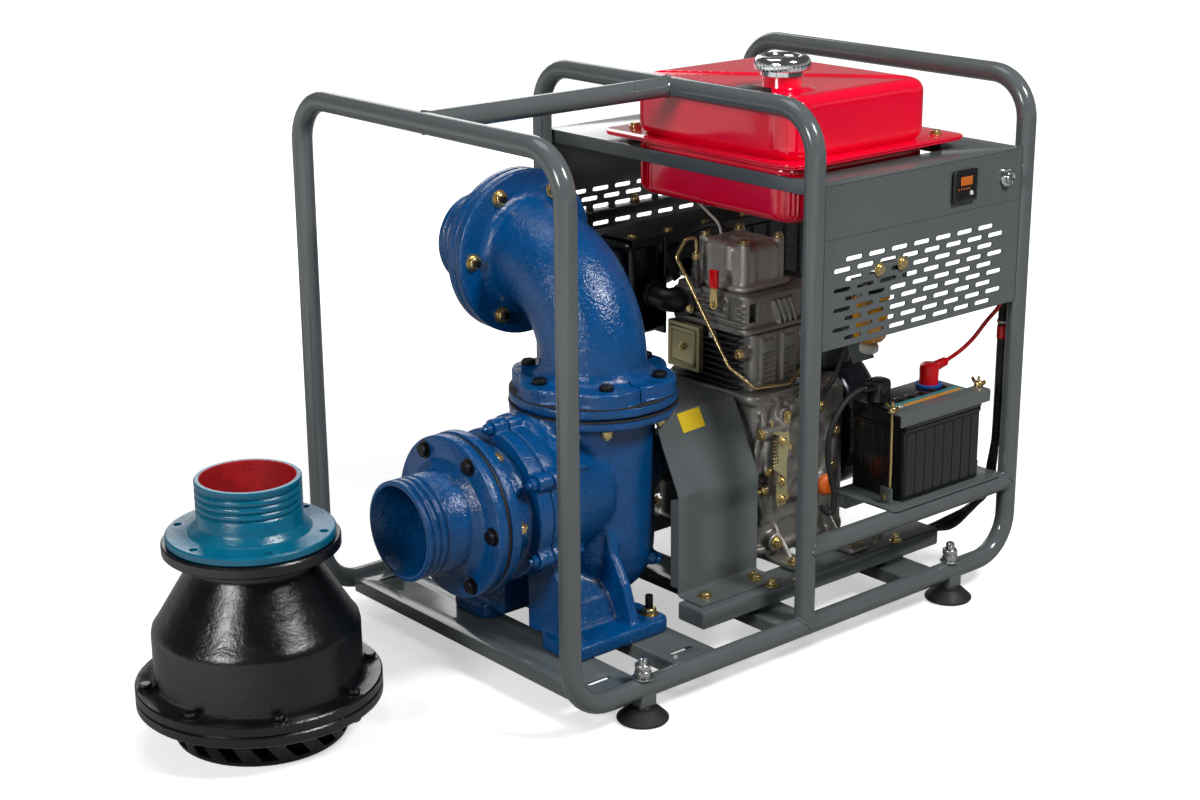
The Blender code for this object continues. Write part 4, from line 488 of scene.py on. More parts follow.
def wire(name, points, radius, sides=4):
    """A cable or pipe on one smooth curve through its points, made a mesh."""
    curve = bpy.data.curves.new(name, 'CURVE')
    curve.dimensions = '3D'
    curve.bevel_depth = radius
    curve.bevel_resolution = sides
    curve.resolution_u = 10
    curve.use_fill_caps = True
    spline = curve.splines.new('BEZIER')
    spline.bezier_points.add(len(points) - 1)
    for knot, place in zip(spline.bezier_points, points):
        knot.co = place
        knot.handle_left_type = knot.handle_right_type = 'AUTO'
    piece = bpy.data.objects.new(name, curve)
    bpy.context.scene.collection.objects.link(piece)
    take(piece)
    bpy.ops.object.convert(target='MESH')
    return close_up(bpy.context.object)


def copied(master, places, axis=Z, roll=0.0):
    """Copies a piece made at the origin, along +Z, to each place, and joins the copies."""
    made = []
    turn = Matrix.Rotation(roll, 4, 'Z')
    if axis != Z:
        turn = axis.to_track_quat('Z', 'Y').to_matrix().to_4x4() @ turn
    for place in places:
        copy = master.copy()
        copy.data = master.data.copy()
        copy.matrix_world = Matrix.Translation(place) @ turn
        bpy.context.scene.collection.objects.link(copy)
        made.append(copy)
    bpy.context.view_layer.update()
    settle(*made)
    if len(made) > 1:
        bpy.ops.object.join()
    return bpy.context.object


def joined(piece, *others):
    take(piece, *others)
    bpy.ops.object.join()
    return bpy.context.object


def carve(piece, *cutters, solver='MANIFOLD'):
    """Cuts each cutter out of a piece."""
    for cutter in cutters:
        modify(piece, 'BOOLEAN', operation='DIFFERENCE', object=cutter, solver=solver)
        bpy.data.objects.remove(cutter)
    return piece


def recast(node, edge=0.0, segments=2, angle=30):
    """A merged copy of a CAD solid with its edges rounded."""
    piece = NODES[node].copy()
    piece.data = piece.data.copy()
    piece.parent = None
    for key in list(piece.keys()):
        del piece[key]
    bpy.context.scene.collection.objects.link(piece)
    piece.name = node + "_finished"
    take(piece)
    edit_all()
    bpy.ops.mesh.remove_doubles(threshold=0.00002)
    bpy.ops.mesh.dissolve_limited(angle_limit=radians(0.5))
    bpy.ops.object.mode_set(mode='OBJECT')
    return soften(piece, edge, segments, angle) if edge else piece


def melt(piece, grain, passes=4):
    """Melts overlapping shapes into one casting whose corners are filleted."""
    modify(piece, 'REMESH', mode='VOXEL', voxel_size=grain)
    return modify(piece, 'SMOOTH', factor=0.5, iterations=passes)


def ring_of(centre, axis, radius, count, phase=0.0):
    """Places on a bolt circle."""
    side = across(axis)
    over = axis.cross(side)
    turns = [phase + 2 * pi * i / count for i in range(count)]
    return [Vector(centre) + side * radius * cos(t) + over * radius * sin(t) for t in turns]


def hex_head(size, height, washer=True, stud=0.0):
    """A hexagon head or nut at the origin, on its washer, with the end of its stud."""
    head = rod("head", (0, 0, 0), (0, 0, height), size, sides=6)
    edit_all()
    bpy.ops.mesh.select_all(action='DESELECT')
    bpy.ops.object.mode_set(mode='OBJECT')
    for face in head.data.polygons:
        face.select = face.normal.z > 0.9
    bpy.ops.object.mode_set(mode='EDIT')
    bpy.ops.mesh.inset(thickness=size * 0.14, depth=size * 0.1)
    bpy.ops.object.mode_set(mode='OBJECT')
    soften(head, size * 0.05, 1, 40)
    parts = [head]
    if washer:
        parts.append(rod("washer", (0, 0, -0.0002), (0, 0, 0.0016), size * 1.22, 20, 0.0004))
    if stud:
        parts.append(rod("stud", (0, 0, 0), (0, 0, height + stud), size * 0.52, 14, 0.0008))
    return joined(*parts) if len(parts) > 1 else head


def bolts(name, places, axis, size, height, coat="yellow_zinc_steel", washer=True, stud=0.0,
        roll=0.0):
    """The same bolt at each place."""
    master = hex_head(size, height, washer, stud)
    piece = copied(master, places, axis, roll)
    bpy.data.objects.remove(master)
    piece.name = name
    return finished(piece, coat, wear=False)


def mark_wear(piece):
    """Stores how sharply each vertex stands out, for paint to be rubbed off there."""
    shape = bmesh.new()
    shape.from_mesh(piece.data)
    marks = []
    for vertex in shape.verts:
        angles = [e.calc_face_angle_signed(0.0) for e in vertex.link_edges]
        marks.append(min(1.0, max(0.0, max(angles, default=0.0)) / 0.9))
    shape.free()
    layer = piece.data.attributes.new("wear", 'FLOAT', 'POINT')
    layer.data.foreach_set("value", marks)


def finished(piece, coat, body="frame", stands_for=(), wear=True, angle=35, name=None):
    """Gives a piece its finish, shading and body, and hides the CAD nodes it stands for. Paint is
    rubbed off its edges where the finish has a worn colour and wear is left on."""
    if name:
        piece.name = name
    settle(piece)
    if piece.data.materials:
        piece.data.materials[0] = FINISHES[coat]
    else:
        piece.data.materials.append(FINISHES[coat])
    bpy.ops.object.shade_smooth_by_angle(angle=radians(angle))
    if wear and "worn" in COATS[coat][-1]:
        mark_wear(piece)
    piece.data.name = piece.name
    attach(piece, body)
    if stands_for:
        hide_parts(*([stands_for] if isinstance(stands_for, str) else stands_for))
    return piece


# ---- frame ------------------------------------------------------------------------------
def weld_seam(name, joint, branch, main, bead=0.0024):
    """The bead where a tube butts on another of the same size, along their meeting."""
    side = branch.cross(main)
    path = []
    for i in range(33):
        t = 2 * pi * i / 32
        out = abs(cos(t)) * TUBE_R
        path.append(joint + branch * (out + bead * 0.3) + main * TUBE_R * cos(t)
            + side * TUBE_R * sin(t))
    return finished(wire(name, path, bead, 2), "powder_coated_steel", wear=False)


class PUMPSET_OT_frame_tubes(bpy.types.Operator):
    """Bends the hoops, lays the rails, spine and battery rail, and welds them"""
    bl_idname = "pump_set.frame_tubes"
    bl_label = "Frame tubes"

    def execute(self, context):
        bend = sizes().tube_bend
        end = low("near_rail").x - FRONT_X
        for node, x, inward in (("front_hoop", FRONT_X, end), ("rear_hoop", REAR_X, -end),
                ("middle_hoop", MIDDLE_X, 0)):
            corners = [(x, NEAR_Y, RAIL_Z), (x, NEAR_Y, TOP_Z), (x, FAR_Y, TOP_Z),
                (x, FAR_Y, RAIL_Z)]
            if inward:
                corners = [(x + inward, NEAR_Y, RAIL_Z), *corners, (x + inward, FAR_Y, RAIL_Z)]
            finished(bent_tube(node + "_tube", corners, TUBE_R, bend), "powder_coated_steel",
                stands_for=node)
        start_x, stop_x = low("near_rail").x - 0.0004, high("near_rail").x + 0.0004
        tubes = (                           # each with the welds on it
            ("near_rail_tube", "near_rail", start_x, stop_x, NEAR_Y, RAIL_Z,
                (("near_middle", MIDDLE_X, Z, X),)),
            ("far_rail_tube", "far_rail", start_x, stop_x, FAR_Y, RAIL_Z,
                (("far_middle", MIDDLE_X, Z, X),)),
            ("spine_tube_finished", "spine_tube", FRONT_X, MIDDLE_X, 0, TOP_Z,
                (("spine_front", FRONT_X, X, Y), ("spine_middle", MIDDLE_X, -X, Y))),
            ("battery_rail_tube", "battery_rail", MIDDLE_X, REAR_X, NEAR_Y,
                middle("battery_rail").z, (("battery_rail_front", MIDDLE_X, X, Z),
                ("battery_rail_rear", REAR_X, -X, Z))))
        for name, node, x0, x1, y, z, welds in tubes:
            finished(rod(name, (x0, y, z), (x1, y, z), TUBE_R, 36), "powder_coated_steel",
                stands_for=node)
            for weld, x, branch, main in welds:
                weld_seam(weld + "_weld", at(x, y, z), branch, main)
        return {'FINISHED'}


class PUMPSET_OT_feet(bpy.types.Operator):
    """Turns the rubber feet with their studs, nuts and the saddles under the rails"""
    bl_idname = "pump_set.feet"
    bl_label = "Feet"

    def execute(self, context):
        under = RAIL_Z - TUBE_R - 0.0103
        top = RAIL_Z + TUBE_R
        for end in ("front", "rear"):
            for side in ("near", "far"):
                node = f"foot_{end}_{side}"
                centre = at(middle(node).x, middle(node).y, 0)
                wide = (high(node).x - low(node).x) / 2
                pad = turned(node + "_rubber", [(0, 0.0008), (wide * 0.9, 0), (wide * 0.97, 0.001),
                    (wide, 0.0026), (wide, 0.0046), (wide * 0.97, 0.0062), (wide * 0.62, 0.019),
                    (wide * 0.56, 0.0205), (wide * 0.48, 0.0212), (0, 0.0214)], centre, steps=64)
                finished(pad, "moulded_rubber", stands_for=node)
                cup = turned(node + "_cup", [(0, 0.0204), (0.015, 0.0204), (0.015, 0.0224),
                    (0.0128, 0.023), (0.0128, 0.0232), (0, 0.0232)], centre, steps=40)
                finished(cup, "clear_zinc_steel")
                stud = turned(node + "_stud", [(0, 0.0225), (0.007, 0.0225), (0.007, top + 0.0315),
                    (0.0056, top + 0.0338), (0, top + 0.0338)], centre, steps=28)
                threads = [rod("thread", centre + Z * (top + 0.019 + i * 0.0016),
                    centre + Z * (top + 0.0198 + i * 0.0016), 0.0069, 24, tip=0.0074)
                    for i in range(8)]
                finished(joined(stud, *threads), "clear_zinc_steel")
                bolts(node + "_lower_nut", [centre + Z * 0.0232], Z, 0.0118, 0.006,
                    "clear_zinc_steel", washer=False)
                bolts(node + "_washer_and_nuts", [centre + Z * (top + 0.0004)], Z, 0.0135, 0.011,
                    "clear_zinc_steel")
                bolts(node + "_lock_nut", [centre + Z * (top + 0.0122)], Z, 0.013, 0.0095,
                    "clear_zinc_steel", washer=False, roll=0.4)
                saddle = block(node + "_saddle", (centre.x - 0.0145, centre.y - TUBE_R + 0.0008,
                    under), (centre.x + 0.0145, centre.y + TUBE_R - 0.0008, RAIL_Z - 0.004),
                    0.0018)
                finished(saddle, "powder_coated_steel")
        return {'FINISHED'}


class PUMPSET_OT_base(bpy.types.Operator):
    """Folds the channels across the base and the beams that carry the engine"""
    bl_idname = "pump_set.base"
    bl_label = "Base channels and beams"

    def execute(self, context):
        for node in ("front_channel", "second_channel", "bed_front_channel", "bed_rear_channel"):
            channel = recast(node, 0.0012, 2)
            finished(channel, "powder_coated_steel", stands_for=node)
            for side, y in (("near", NEAR_Y + TUBE_R), ("far", FAR_Y - TUBE_R)):
                a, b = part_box(node)
                bead = wire(f"{node}_{side}_weld", [at(a.x + (b.x - a.x) * i / 8,
                    y + 0.0006 * (-1) ** i, b.z - 0.001) for i in range(9)], 0.0022, 2)
                finished(bead, "powder_coated_steel", wear=False)
        for node in ("near_bed_beam", "far_bed_beam"):
            finished(recast(node, 0.0022, 2), "powder_coated_steel", stands_for=node)
        for channel in ("bed_front_channel", "bed_rear_channel"):
            places = [at(middle(channel).x, middle(beam).y + side * 0.021, high("near_bed_beam").z)
                for beam in ("near_bed_beam", "far_bed_beam") for side in (-1, 1)]
            bolts(channel + "_mount_bolts", places, Z, 0.0088, 0.006, stud=0.006)
        return {'FINISHED'}


# ---- pump -------------------------------------------------------------------------------
def hose_tail(node, seat, axis, length, root_r=0.088, flange_t=0.018, grooves=3, pitch=0.0125,
        steps=112):
    """Turns a grooved hose tail from its flange on the seat to its mouth along the axis."""
    flange_r = (high(node) - low(node)).dot(across(axis)) / 2
    pipe_r, bore_r, deep = 0.0763, sizes().hose_bore, sizes().groove_depth

    points = [(bore_r, 0), (flange_r - 0.0016, 0), (flange_r, 0.0016),
        (flange_r, flange_t - 0.0022), (flange_r - 0.0022, flange_t),
        (root_r + 0.006, flange_t + 0.0004), (root_r + 0.002, flange_t + 0.0018),
        (root_r, flange_t + 0.0048), (pipe_r + 0.0022, flange_t + 0.011),
        (pipe_r, flange_t + 0.015)]
    first = length - 0.012 - (grooves - 1) * pitch
    for i in range(grooves):
        h = first + i * pitch
        points += [(pipe_r, h - 0.003), (pipe_r - deep * 0.5, h - 0.0014), (pipe_r - deep, h),
            (pipe_r - deep * 0.5, h + 0.0014), (pipe_r, h + 0.003)]
    points += [(pipe_r, length - 0.0014), (pipe_r - 0.0014, length), (bore_r + 0.0014, length),
        (bore_r, length - 0.0014), (bore_r, 0)]
    return turned(node + "_casting", points, seat, axis, steps)


class PUMPSET_OT_suction_tail(bpy.types.Operator):
    """Turns the suction hose tail and its gasket, and bolts them to the cover"""
    bl_idname = "pump_set.suction_tail"
    bl_label = "Suction tail"

    def execute(self, context):
        centre = on_shaft(low("suction_gasket").x - GAP)
        length = centre.x - low("suction_tail").x
        tail = hose_tail("suction_tail", centre, -X, length)
        finished(tail, "enamelled_cast_iron", stands_for="suction_tail", angle=50)
        ring = radius_of("suction_gasket")
        thick = high("suction_gasket").x - low("suction_gasket").x
        gasket = turned("suction_gasket_rubber", [(0.057, 0), (ring - 0.001, 0),
            (ring, thick * 0.25), (ring - 0.0004, thick * 0.5), (ring, thick * 0.75),
            (ring - 0.001, thick), (0.057, thick), (0.057, 0)],
            on_shaft(low("suction_gasket").x), X, 96)
        finished(gasket, "moulded_rubber", stands_for="suction_gasket")
        circle = sizes().bolt_circle
        front = ring_of(centre - X * 0.018, X, circle, 6)
        bolts("suction_flange_bolts", front, -X, sizes().bolt_head, 0.008, "black_oxide_steel")
        behind = ring_of(on_shaft(low("suction_cover").x + 0.018), X, circle, 6)
        bolts("suction_flange_nuts", behind, X, sizes().bolt_head, 0.0125, stud=0.006)
        return {'FINISHED'}


class PUMPSET_OT_suction_cover(bpy.types.Operator):
    """Casts the suction cover with its lugs, and puts on its painted nuts"""
    bl_idname = "pump_set.suction_cover"
    bl_label = "Suction cover"

    def execute(self, context):
        x0, x1 = low("suction_cover").x, high("suction_cover").x
        long = x1 - x0
        cover = turned("suction_cover_casting", [(0.08, 0), (0.124, 0), (0.126, 0.0018),
            (0.126, 0.016), (0.1236, 0.018), (0.1, 0.0186), (0.0972, 0.022), (0.097, long - 0.033),
            (0.1, long - 0.029), (0.108, long - 0.0262), (0.1168, long - 0.025),
            (0.118, long - 0.023), (0.118, long), (0.08, long), (0.08, 0)], on_shaft(x0), X, 96)
        places = ring_of(on_shaft(0), X, 0.121, 6, pi / 6)
        lugs = [rod("lug", (x1 - 0.0262, p.y, p.z), (x1 - 0.0004, p.y, p.z), 0.0142, 28)
            for p in places]
        cover = melt(joined(cover, *lugs), 0.0022, 3)
        carve(cover, rod("bore", on_shaft(x0 - 0.01), on_shaft(x1 + 0.01), 0.08, 72))
        finished(cover, "enamelled_cast_iron", stands_for="suction_cover", angle=45)
        bolts("cover_nuts", [at(x1 - 0.0262, p.y, p.z) for p in places], -X, 0.01, 0.0078,
            "enamelled_cast_iron", washer=False, stud=0.0072)
        return {'FINISHED'}


class PUMPSET_OT_pump_body(bpy.types.Operator):
    """Casts the pump body: chamber, volute, bearing housing, lugs, ribs and feet"""
    bl_idname = "pump_set.pump_body"
    bl_label = "Pump body"

    def execute(self, context):
        a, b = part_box("pump_body")
        cx, cy = CHAMBER.x, CHAMBER.y
        floor = a.z
        under = b.z - 0.0225
        front = high("suction_cover").x + GAP
        chamber = turned("pump_body_casting", [(0, b.z - 0.0045), (0.131, b.z - 0.0045),
            (0.1325, b.z - 0.0062), (0.1325, under + 0.0016), (0.1306, under),
            (0.1075, under - 0.0006), (0.0985, under - 0.004), (0.0962, under - 0.012),
            (0.096, 0.2), (0.0945, 0.165), (0.089, 0.14), (0.078, 0.117), (0.062, 0.101),
            (0.04, 0.093), (0, 0.0905)], (cx, cy, 0), Z, 88)
        volute = turned("volute", [(0, 0.148), (0.074, 0.1475), (0.089, 0.145), (0.096, 0.1385),
            (0.0995, 0.118), (0.105, 0.09), (0.111, 0.062), (0.113, 0.034), (0.1165, 0.028),
            (0.118, 0.0245), (0.118, 0), (0, 0)], (front, cy, SHAFT.z), X, 80)
        snail = turned("snail", [(0, 0.118), (0.07, 0.117), (0.086, 0.106), (0.096, 0.084),
            (0.098, 0.03), (0, 0.03)], (front, cy + 0.01, SHAFT.z + 0.03), X, 64)
        hub = turned("hub", [(0, 0.317), (0.0335, 0.317), (0.035, 0.314), (0.0365, 0.292),
            (0.05, 0.28), (0.055, 0.268), (0.055, 0.2), (0, 0.2)], (front, cy, SHAFT.z), X, 56)
        parts = [volute, snail, hub]
        places = ring_of((front, cy, SHAFT.z), X, 0.121, 6, pi / 6)
        for p in places:
            parts.append(rod("lug", p + X * 0.0006, p + X * 0.027, 0.0138, 28))
            inner = at(p.x, cy, SHAFT.z).lerp(p, 0.72)
            parts.append(rod("web", p + X * 0.018, inner + X * 0.066, 0.0085, 16, tip=0.012))
        for t in (0.35, 1.35, 2.55, 3.9):
            crest = at(front + 0.034, cy + 0.112 * cos(t), SHAFT.z + 0.112 * sin(t))
            parts.append(rod("rib", crest, crest + X * 0.05, 0.0065, 14))
        plug = at(cx + 0.045, cy - 0.072, 0.152)
        plug_end = plug + at(0.01, -0.016, -0.003)
        parts.append(rod("plug_boss", plug, plug_end, 0.012, 20))
        x0, x1 = a.x + 0.0045, high("second_channel").x - 0.0035
        for sign in (-1, 1):
            outer, inner = cy + sign * 0.157, cy + sign * 0.064
            parts.append(slab("plate", rounded_box(x0, x1, min(outer, inner), max(outer, inner),
                0.02, floor), (0, 0, 0.0238)))
            for x in (x0 + 0.01, x1 - 0.074):
                parts.append(slab("web", [(x, outer - sign * 0.01, floor + 0.018),
                    (x, outer - sign * 0.014, floor + 0.04), (x, outer - sign * 0.03,
                    floor + 0.085), (x, cy + sign * 0.098, floor + 0.13),
                    (x, cy + sign * 0.084, 0.236), (x, cy + sign * 0.03, 0.236),
                    (x, cy + sign * 0.03, floor + 0.018)], (0.017, 0, 0)))
            parts.append(slab("apron", [(x0 + 0.012, cy + sign * 0.03, floor + 0.02),
                (x0 + 0.012, cy + sign * 0.112, floor + 0.02), (x0 + 0.012, cy + sign * 0.09,
                floor + 0.062), (x0 + 0.012, cy + sign * 0.03, floor + 0.105)],
                (x1 - x0 - 0.07, 0, 0)))
        body = melt(joined(chamber, *parts), sizes().casting_grain, 5)
        cavity = rod("cavity", (front - 0.01, cy, SHAFT.z), (front + 0.137, cy, SHAFT.z), 0.0896,
            64)
        throat = rod("throat", (cx, cy, SHAFT.z + 0.02), (cx, cy, b.z + 0.02), 0.0715, 64)
        bore = rod("bore", (front + 0.1, cy, SHAFT.z), (front + 0.34, cy, SHAFT.z), 0.0126, 24)
        top = block("above", (cx - 0.2, cy - 0.2, b.z - 0.0045), (cx + 0.2, cy + 0.2, b.z + 0.1))
        carve(body, cavity, throat, bore, top)
        finished(body, "enamelled_cast_iron", stands_for="pump_body", angle=60)
        circle = ring_of((cx, cy, under), Z, sizes().bolt_circle, 6)
        bolts("discharge_flange_nuts", circle, -Z, sizes().bolt_head, 0.0135, stud=0.005)
        x = x0 + 0.177
        plates = [at(x, cy + sign * 0.125, floor + 0.0236) for sign in (-1, 1)]
        bolts("foot_plate_nuts", plates, Z, 0.012, 0.0095)
        studs = [rod("stud", p, p + Z * 0.032, 0.0062, 20, 0.0014) for p in plates]
        finished(joined(*studs), "black_oxide_steel", name="foot_plate_studs")
        fronts = [at(a.x + 0.028, cy + sign * 0.132, floor + 0.0236) for sign in (-1, 1)]
        bolts("front_plate_bolts", fronts, Z, 0.0105, 0.0075)
        bolts("drain_plug", [plug_end], at(0.52, -0.83, -0.16).normalized(), 0.0085, 0.007,
            "enamelled_cast_iron", washer=False)
        return {'FINISHED'}


def rounded_box(x0, x1, y0, y1, radius, z, steps=6):
    """The outline of a rounded rectangle at a height."""
    points = []
    for cx, cy, turn in ((x1 - radius, y0 + radius, -pi / 2), (x1 - radius, y1 - radius, 0),
            (x0 + radius, y1 - radius, pi / 2), (x0 + radius, y0 + radius, pi)):
        for i in range(steps + 1):
            t = turn + pi / 2 * i / steps
            points.append((cx + radius * cos(t), cy + radius * sin(t), z))
    return points


def lobed(centre, reach, waist, lobes, phase, z, steps=72):
    """The outline of a flange that reaches out at its bolts and in between them."""
    points = []
    for i in range(steps):
        t = 2 * pi * i / steps
        share = (0.5 + 0.5 * cos(lobes * (t - phase))) ** 0.7
        r = waist + (reach - waist) * share
        points.append((centre.x + r * cos(t), centre.y + r * sin(t), z))
    return points


class PUMPSET_OT_discharge(bpy.types.Operator):
    """Casts the discharge elbow on its lobed flange and bolts the hose tail to it"""
    bl_idname = "pump_set.discharge"
    bl_label = "Discharge elbow and tail"

    def execute(self, context):
        base = low("discharge_elbow").z
        seat = low("discharge_tail").y - GAP
        foot = at(CHAMBER.x, CHAMBER.y, base + 0.012)
        corner = at(CHAMBER.x, CHAMBER.y, OUTLET.z)
        mouth = at(CHAMBER.x, seat - 0.006, OUTLET.z)
        bend = seat - 0.03 - CHAMBER.y
        elbow = bent_tube("discharge_elbow_casting", [foot, corner, mouth], 0.0838, bend, 72, 30)
        lower = turned("ring", [(0, 0.017), (0.1205, 0.017), (0.13, 0.0168), (0.1325, 0.015),
            (0.1325, 0.002), (0.1308, 0.0004), (0, 0.0004)], (foot.x, foot.y, base), Z, 88)
        upper = slab("lobes", lobed(foot, 0.1325, 0.1175, 6, 0, base + 0.0168), (0, 0, 0.0232))
        collar = turned("collar", [(0, 0.054), (0.085, 0.054), (0.088, 0.0455), (0.096, 0.0405),
            (0, 0.04)], (foot.x, foot.y, base), Z, 72)
        outlet = turned("outlet", [(0, 0), (0.131, 0), (0.1325, 0.0016), (0.1325, 0.016),
            (0.1306, 0.018), (0.096, 0.0186), (0.088, 0.0225), (0.0845, 0.03), (0, 0.03)],
            (foot.x, seat, OUTLET.z), -Y, 88)
        bosses = [rod("boss", p, p + Z * 0.0015, 0.015, 24)
            for p in ring_of((foot.x, foot.y, base + 0.0395), Z, sizes().bolt_circle, 6)]
        elbow = melt(joined(elbow, lower, upper, collar, outlet, *bosses), 0.0031, 3)
        groove = turned("seam", [(0.127, 0.0158), (0.14, 0.015), (0.14, 0.0182), (0.127, 0.0174),
            (0.127, 0.0158)], (foot.x, foot.y, base), Z, 88)
        crack = block("crack", (-0.0016, 0.088, 0), (0.0016, 0.14, 0.03))
        crack.matrix_world = (Matrix.Translation((foot.x, foot.y, base + 0.0185))
            @ Matrix.Rotation(-3.21, 4, 'Z'))
        settle(crack)
        inside = bent_tube("bore", [foot - Z * 0.03, corner, mouth + Y * 0.03], sizes().hose_bore,
            bend, 60, 24)
        carve(elbow, groove, crack, inside)
        finished(elbow, "enamelled_cast_iron", stands_for="discharge_elbow", angle=60)
        for name, z, r in (("discharge_gasket", base - 0.0046, 0.1334),
                ("elbow_seam_gasket", base + 0.0152, 0.1322)):
            ring = turned(name, [(0.072, 0), (r - 0.001, 0), (r, 0.0008), (r, 0.0024),
                (r - 0.001, 0.0032), (0.072, 0.0032), (0.072, 0)], (foot.x, foot.y, z), Z, 96)
            finished(ring, "moulded_rubber")
        heads = ring_of((foot.x, foot.y, base + 0.0402), Z, sizes().bolt_circle, 6)
        bolts("elbow_flange_bolts", heads, Z, sizes().bolt_head, 0.0082, "black_oxide_steel",
            washer=False)
        a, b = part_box("discharge_tail")
        tail = hose_tail("discharge_tail", at(foot.x, a.y, OUTLET.z), Y, b.y - a.y)
        finished(tail, "enamelled_cast_iron", stands_for="discharge_tail", angle=50)
        nuts = ring_of((foot.x, seat - 0.018, OUTLET.z), Y, sizes().bolt_circle, 6)
        bolts("outlet_nuts", nuts, -Y, sizes().bolt_head, 0.0085)
        ends = [rod("end", p, p - Y * 0.0145, 0.0058, 16, 0.0008) for p in nuts]
        finished(joined(*ends), "black_oxide_steel", name="outlet_bolt_ends")
        heads = ring_of((foot.x, low("discharge_tail").y + 0.018, OUTLET.z), Y,
            sizes().bolt_circle, 6)
        bolts("outlet_bolts", heads, Y, sizes().bolt_head, 0.0082, "black_oxide_steel")
        return {'FINISHED'}


def folded(name, path, depth, thick, edge=0.0006, centred=0.0):
    """Sheet metal: a path drawn through its bends, extruded, then given its thickness."""
    path = [Vector(p) for p in path]
    piece = one_point(name, path[0])
    draw(path)
    bpy.ops.mesh.select_all(action='SELECT')
    bpy.ops.mesh.extrude_edges_move(TRANSFORM_OT_translate={"value": Vector(depth)})
    bpy.ops.object.mode_set(mode='OBJECT')
    settle(piece)
    modify(piece, 'SOLIDIFY', thickness=thick, offset=centred, use_even_offset=True)
    close_up(piece)
    return soften(piece, edge, 1, 50) if edge else piece


def with_bends(corners, radius, steps=5):
    """A path whose inner corners are rounded."""
    corners = [Vector(c) for c in corners]
    path = [corners[0]]
    for before, corner, after in zip(corners, corners[1:], corners[2:]):
        back, on = (before - corner).normalized(), (after - corner).normalized()
        reach = radius / tan(back.angle(on) / 2)
        start_at, end_at = corner + back * reach, corner + on * reach
        for i in range(steps + 1):
            t = i / steps
            path.append(start_at.lerp(corner, t).lerp(corner.lerp(end_at, t), t))
    return path + [corners[-1]]


class PUMPSET_OT_guard(bpy.types.Operator):
    """Folds the coupling guard, with its turned-in edges, bolts and plain sticker"""
    bl_idname = "pump_set.guard"
    bl_label = "Coupling guard"

    def execute(self, context):
        a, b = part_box("coupling_guard")
        cy = SHAFT.y
        half, cap = 0.141 - 0.0015, 0.083 - 0.001
        knee, top, foot = RAIL_Z + 0.216, b.z - 0.0015, a.z + 0.0015
        reach = half + 0.055
        side = [(reach, foot), (half, foot), (half, knee), (cap, top)]
        corners = [(a.x, cy + y, z) for y, z in side]
        corners += [(a.x, cy - y, z) for y, z in reversed(side)]
        guard = folded("coupling_guard_sheet", with_bends(corners, 0.007), (b.x - a.x, 0, 0),
            0.003, 0.0005)
        carve(guard, rod("notch", (CHAMBER.x, cy, top - 0.1), (CHAMBER.x, cy, top + 0.1), 0.103,
            64))
        finished(guard, "powder_coated_steel", stands_for="coupling_guard")
        for end, x, thick in (("rear", b.x - 0.0004, -0.0022), ("front", a.x + 0.0004, 0.0022)):
            for flank, s in (("near", -1), ("far", 1)):
                wall, inner = cy + s * (half - 0.0015), cy + s * (half - 0.0185)
                edge = [(x, wall, foot + 0.012), (x, wall, knee - 0.004), (x, inner, knee - 0.01),
                    (x, inner, foot + 0.012)]
                finished(soften(slab(f"guard_lip_{end}_{flank}", edge, (thick, 0, 0)), 0.0006, 1),
                    "powder_coated_steel")
        places = [at(x, cy + s * (half + 0.03), foot + 0.0015) for x in (a.x + 0.03, b.x - 0.03)
            for s in (-1, 1)]
        bolts("guard_foot_bolts", places, Z, 0.0092, 0.0062)
        # The sloping near face carries a plain sticker.
        out = at(0, -(top - knee), half - cap).normalized()
        centre = at(a.x + 0.071, cy - cap - (half - cap) * 0.13, top - (top - knee) * 0.13)
        down = at(0, -(half - cap), knee - top).normalized()
        sticker = block("sticker", (-0.024, -0.016, 0), (0.024, 0.016, 0.0005), 0.0002, 1)
        slope = Matrix((X, -down, out)).transposed().to_4x4()
        sticker.matrix_world = (Matrix.Translation(centre + out * 0.00155) @ slope
            @ Matrix.Rotation(0.05, 4, 'Z'))
        finished(sticker, "yellow_vinyl", name="guard_sticker")
        return {'FINISHED'}


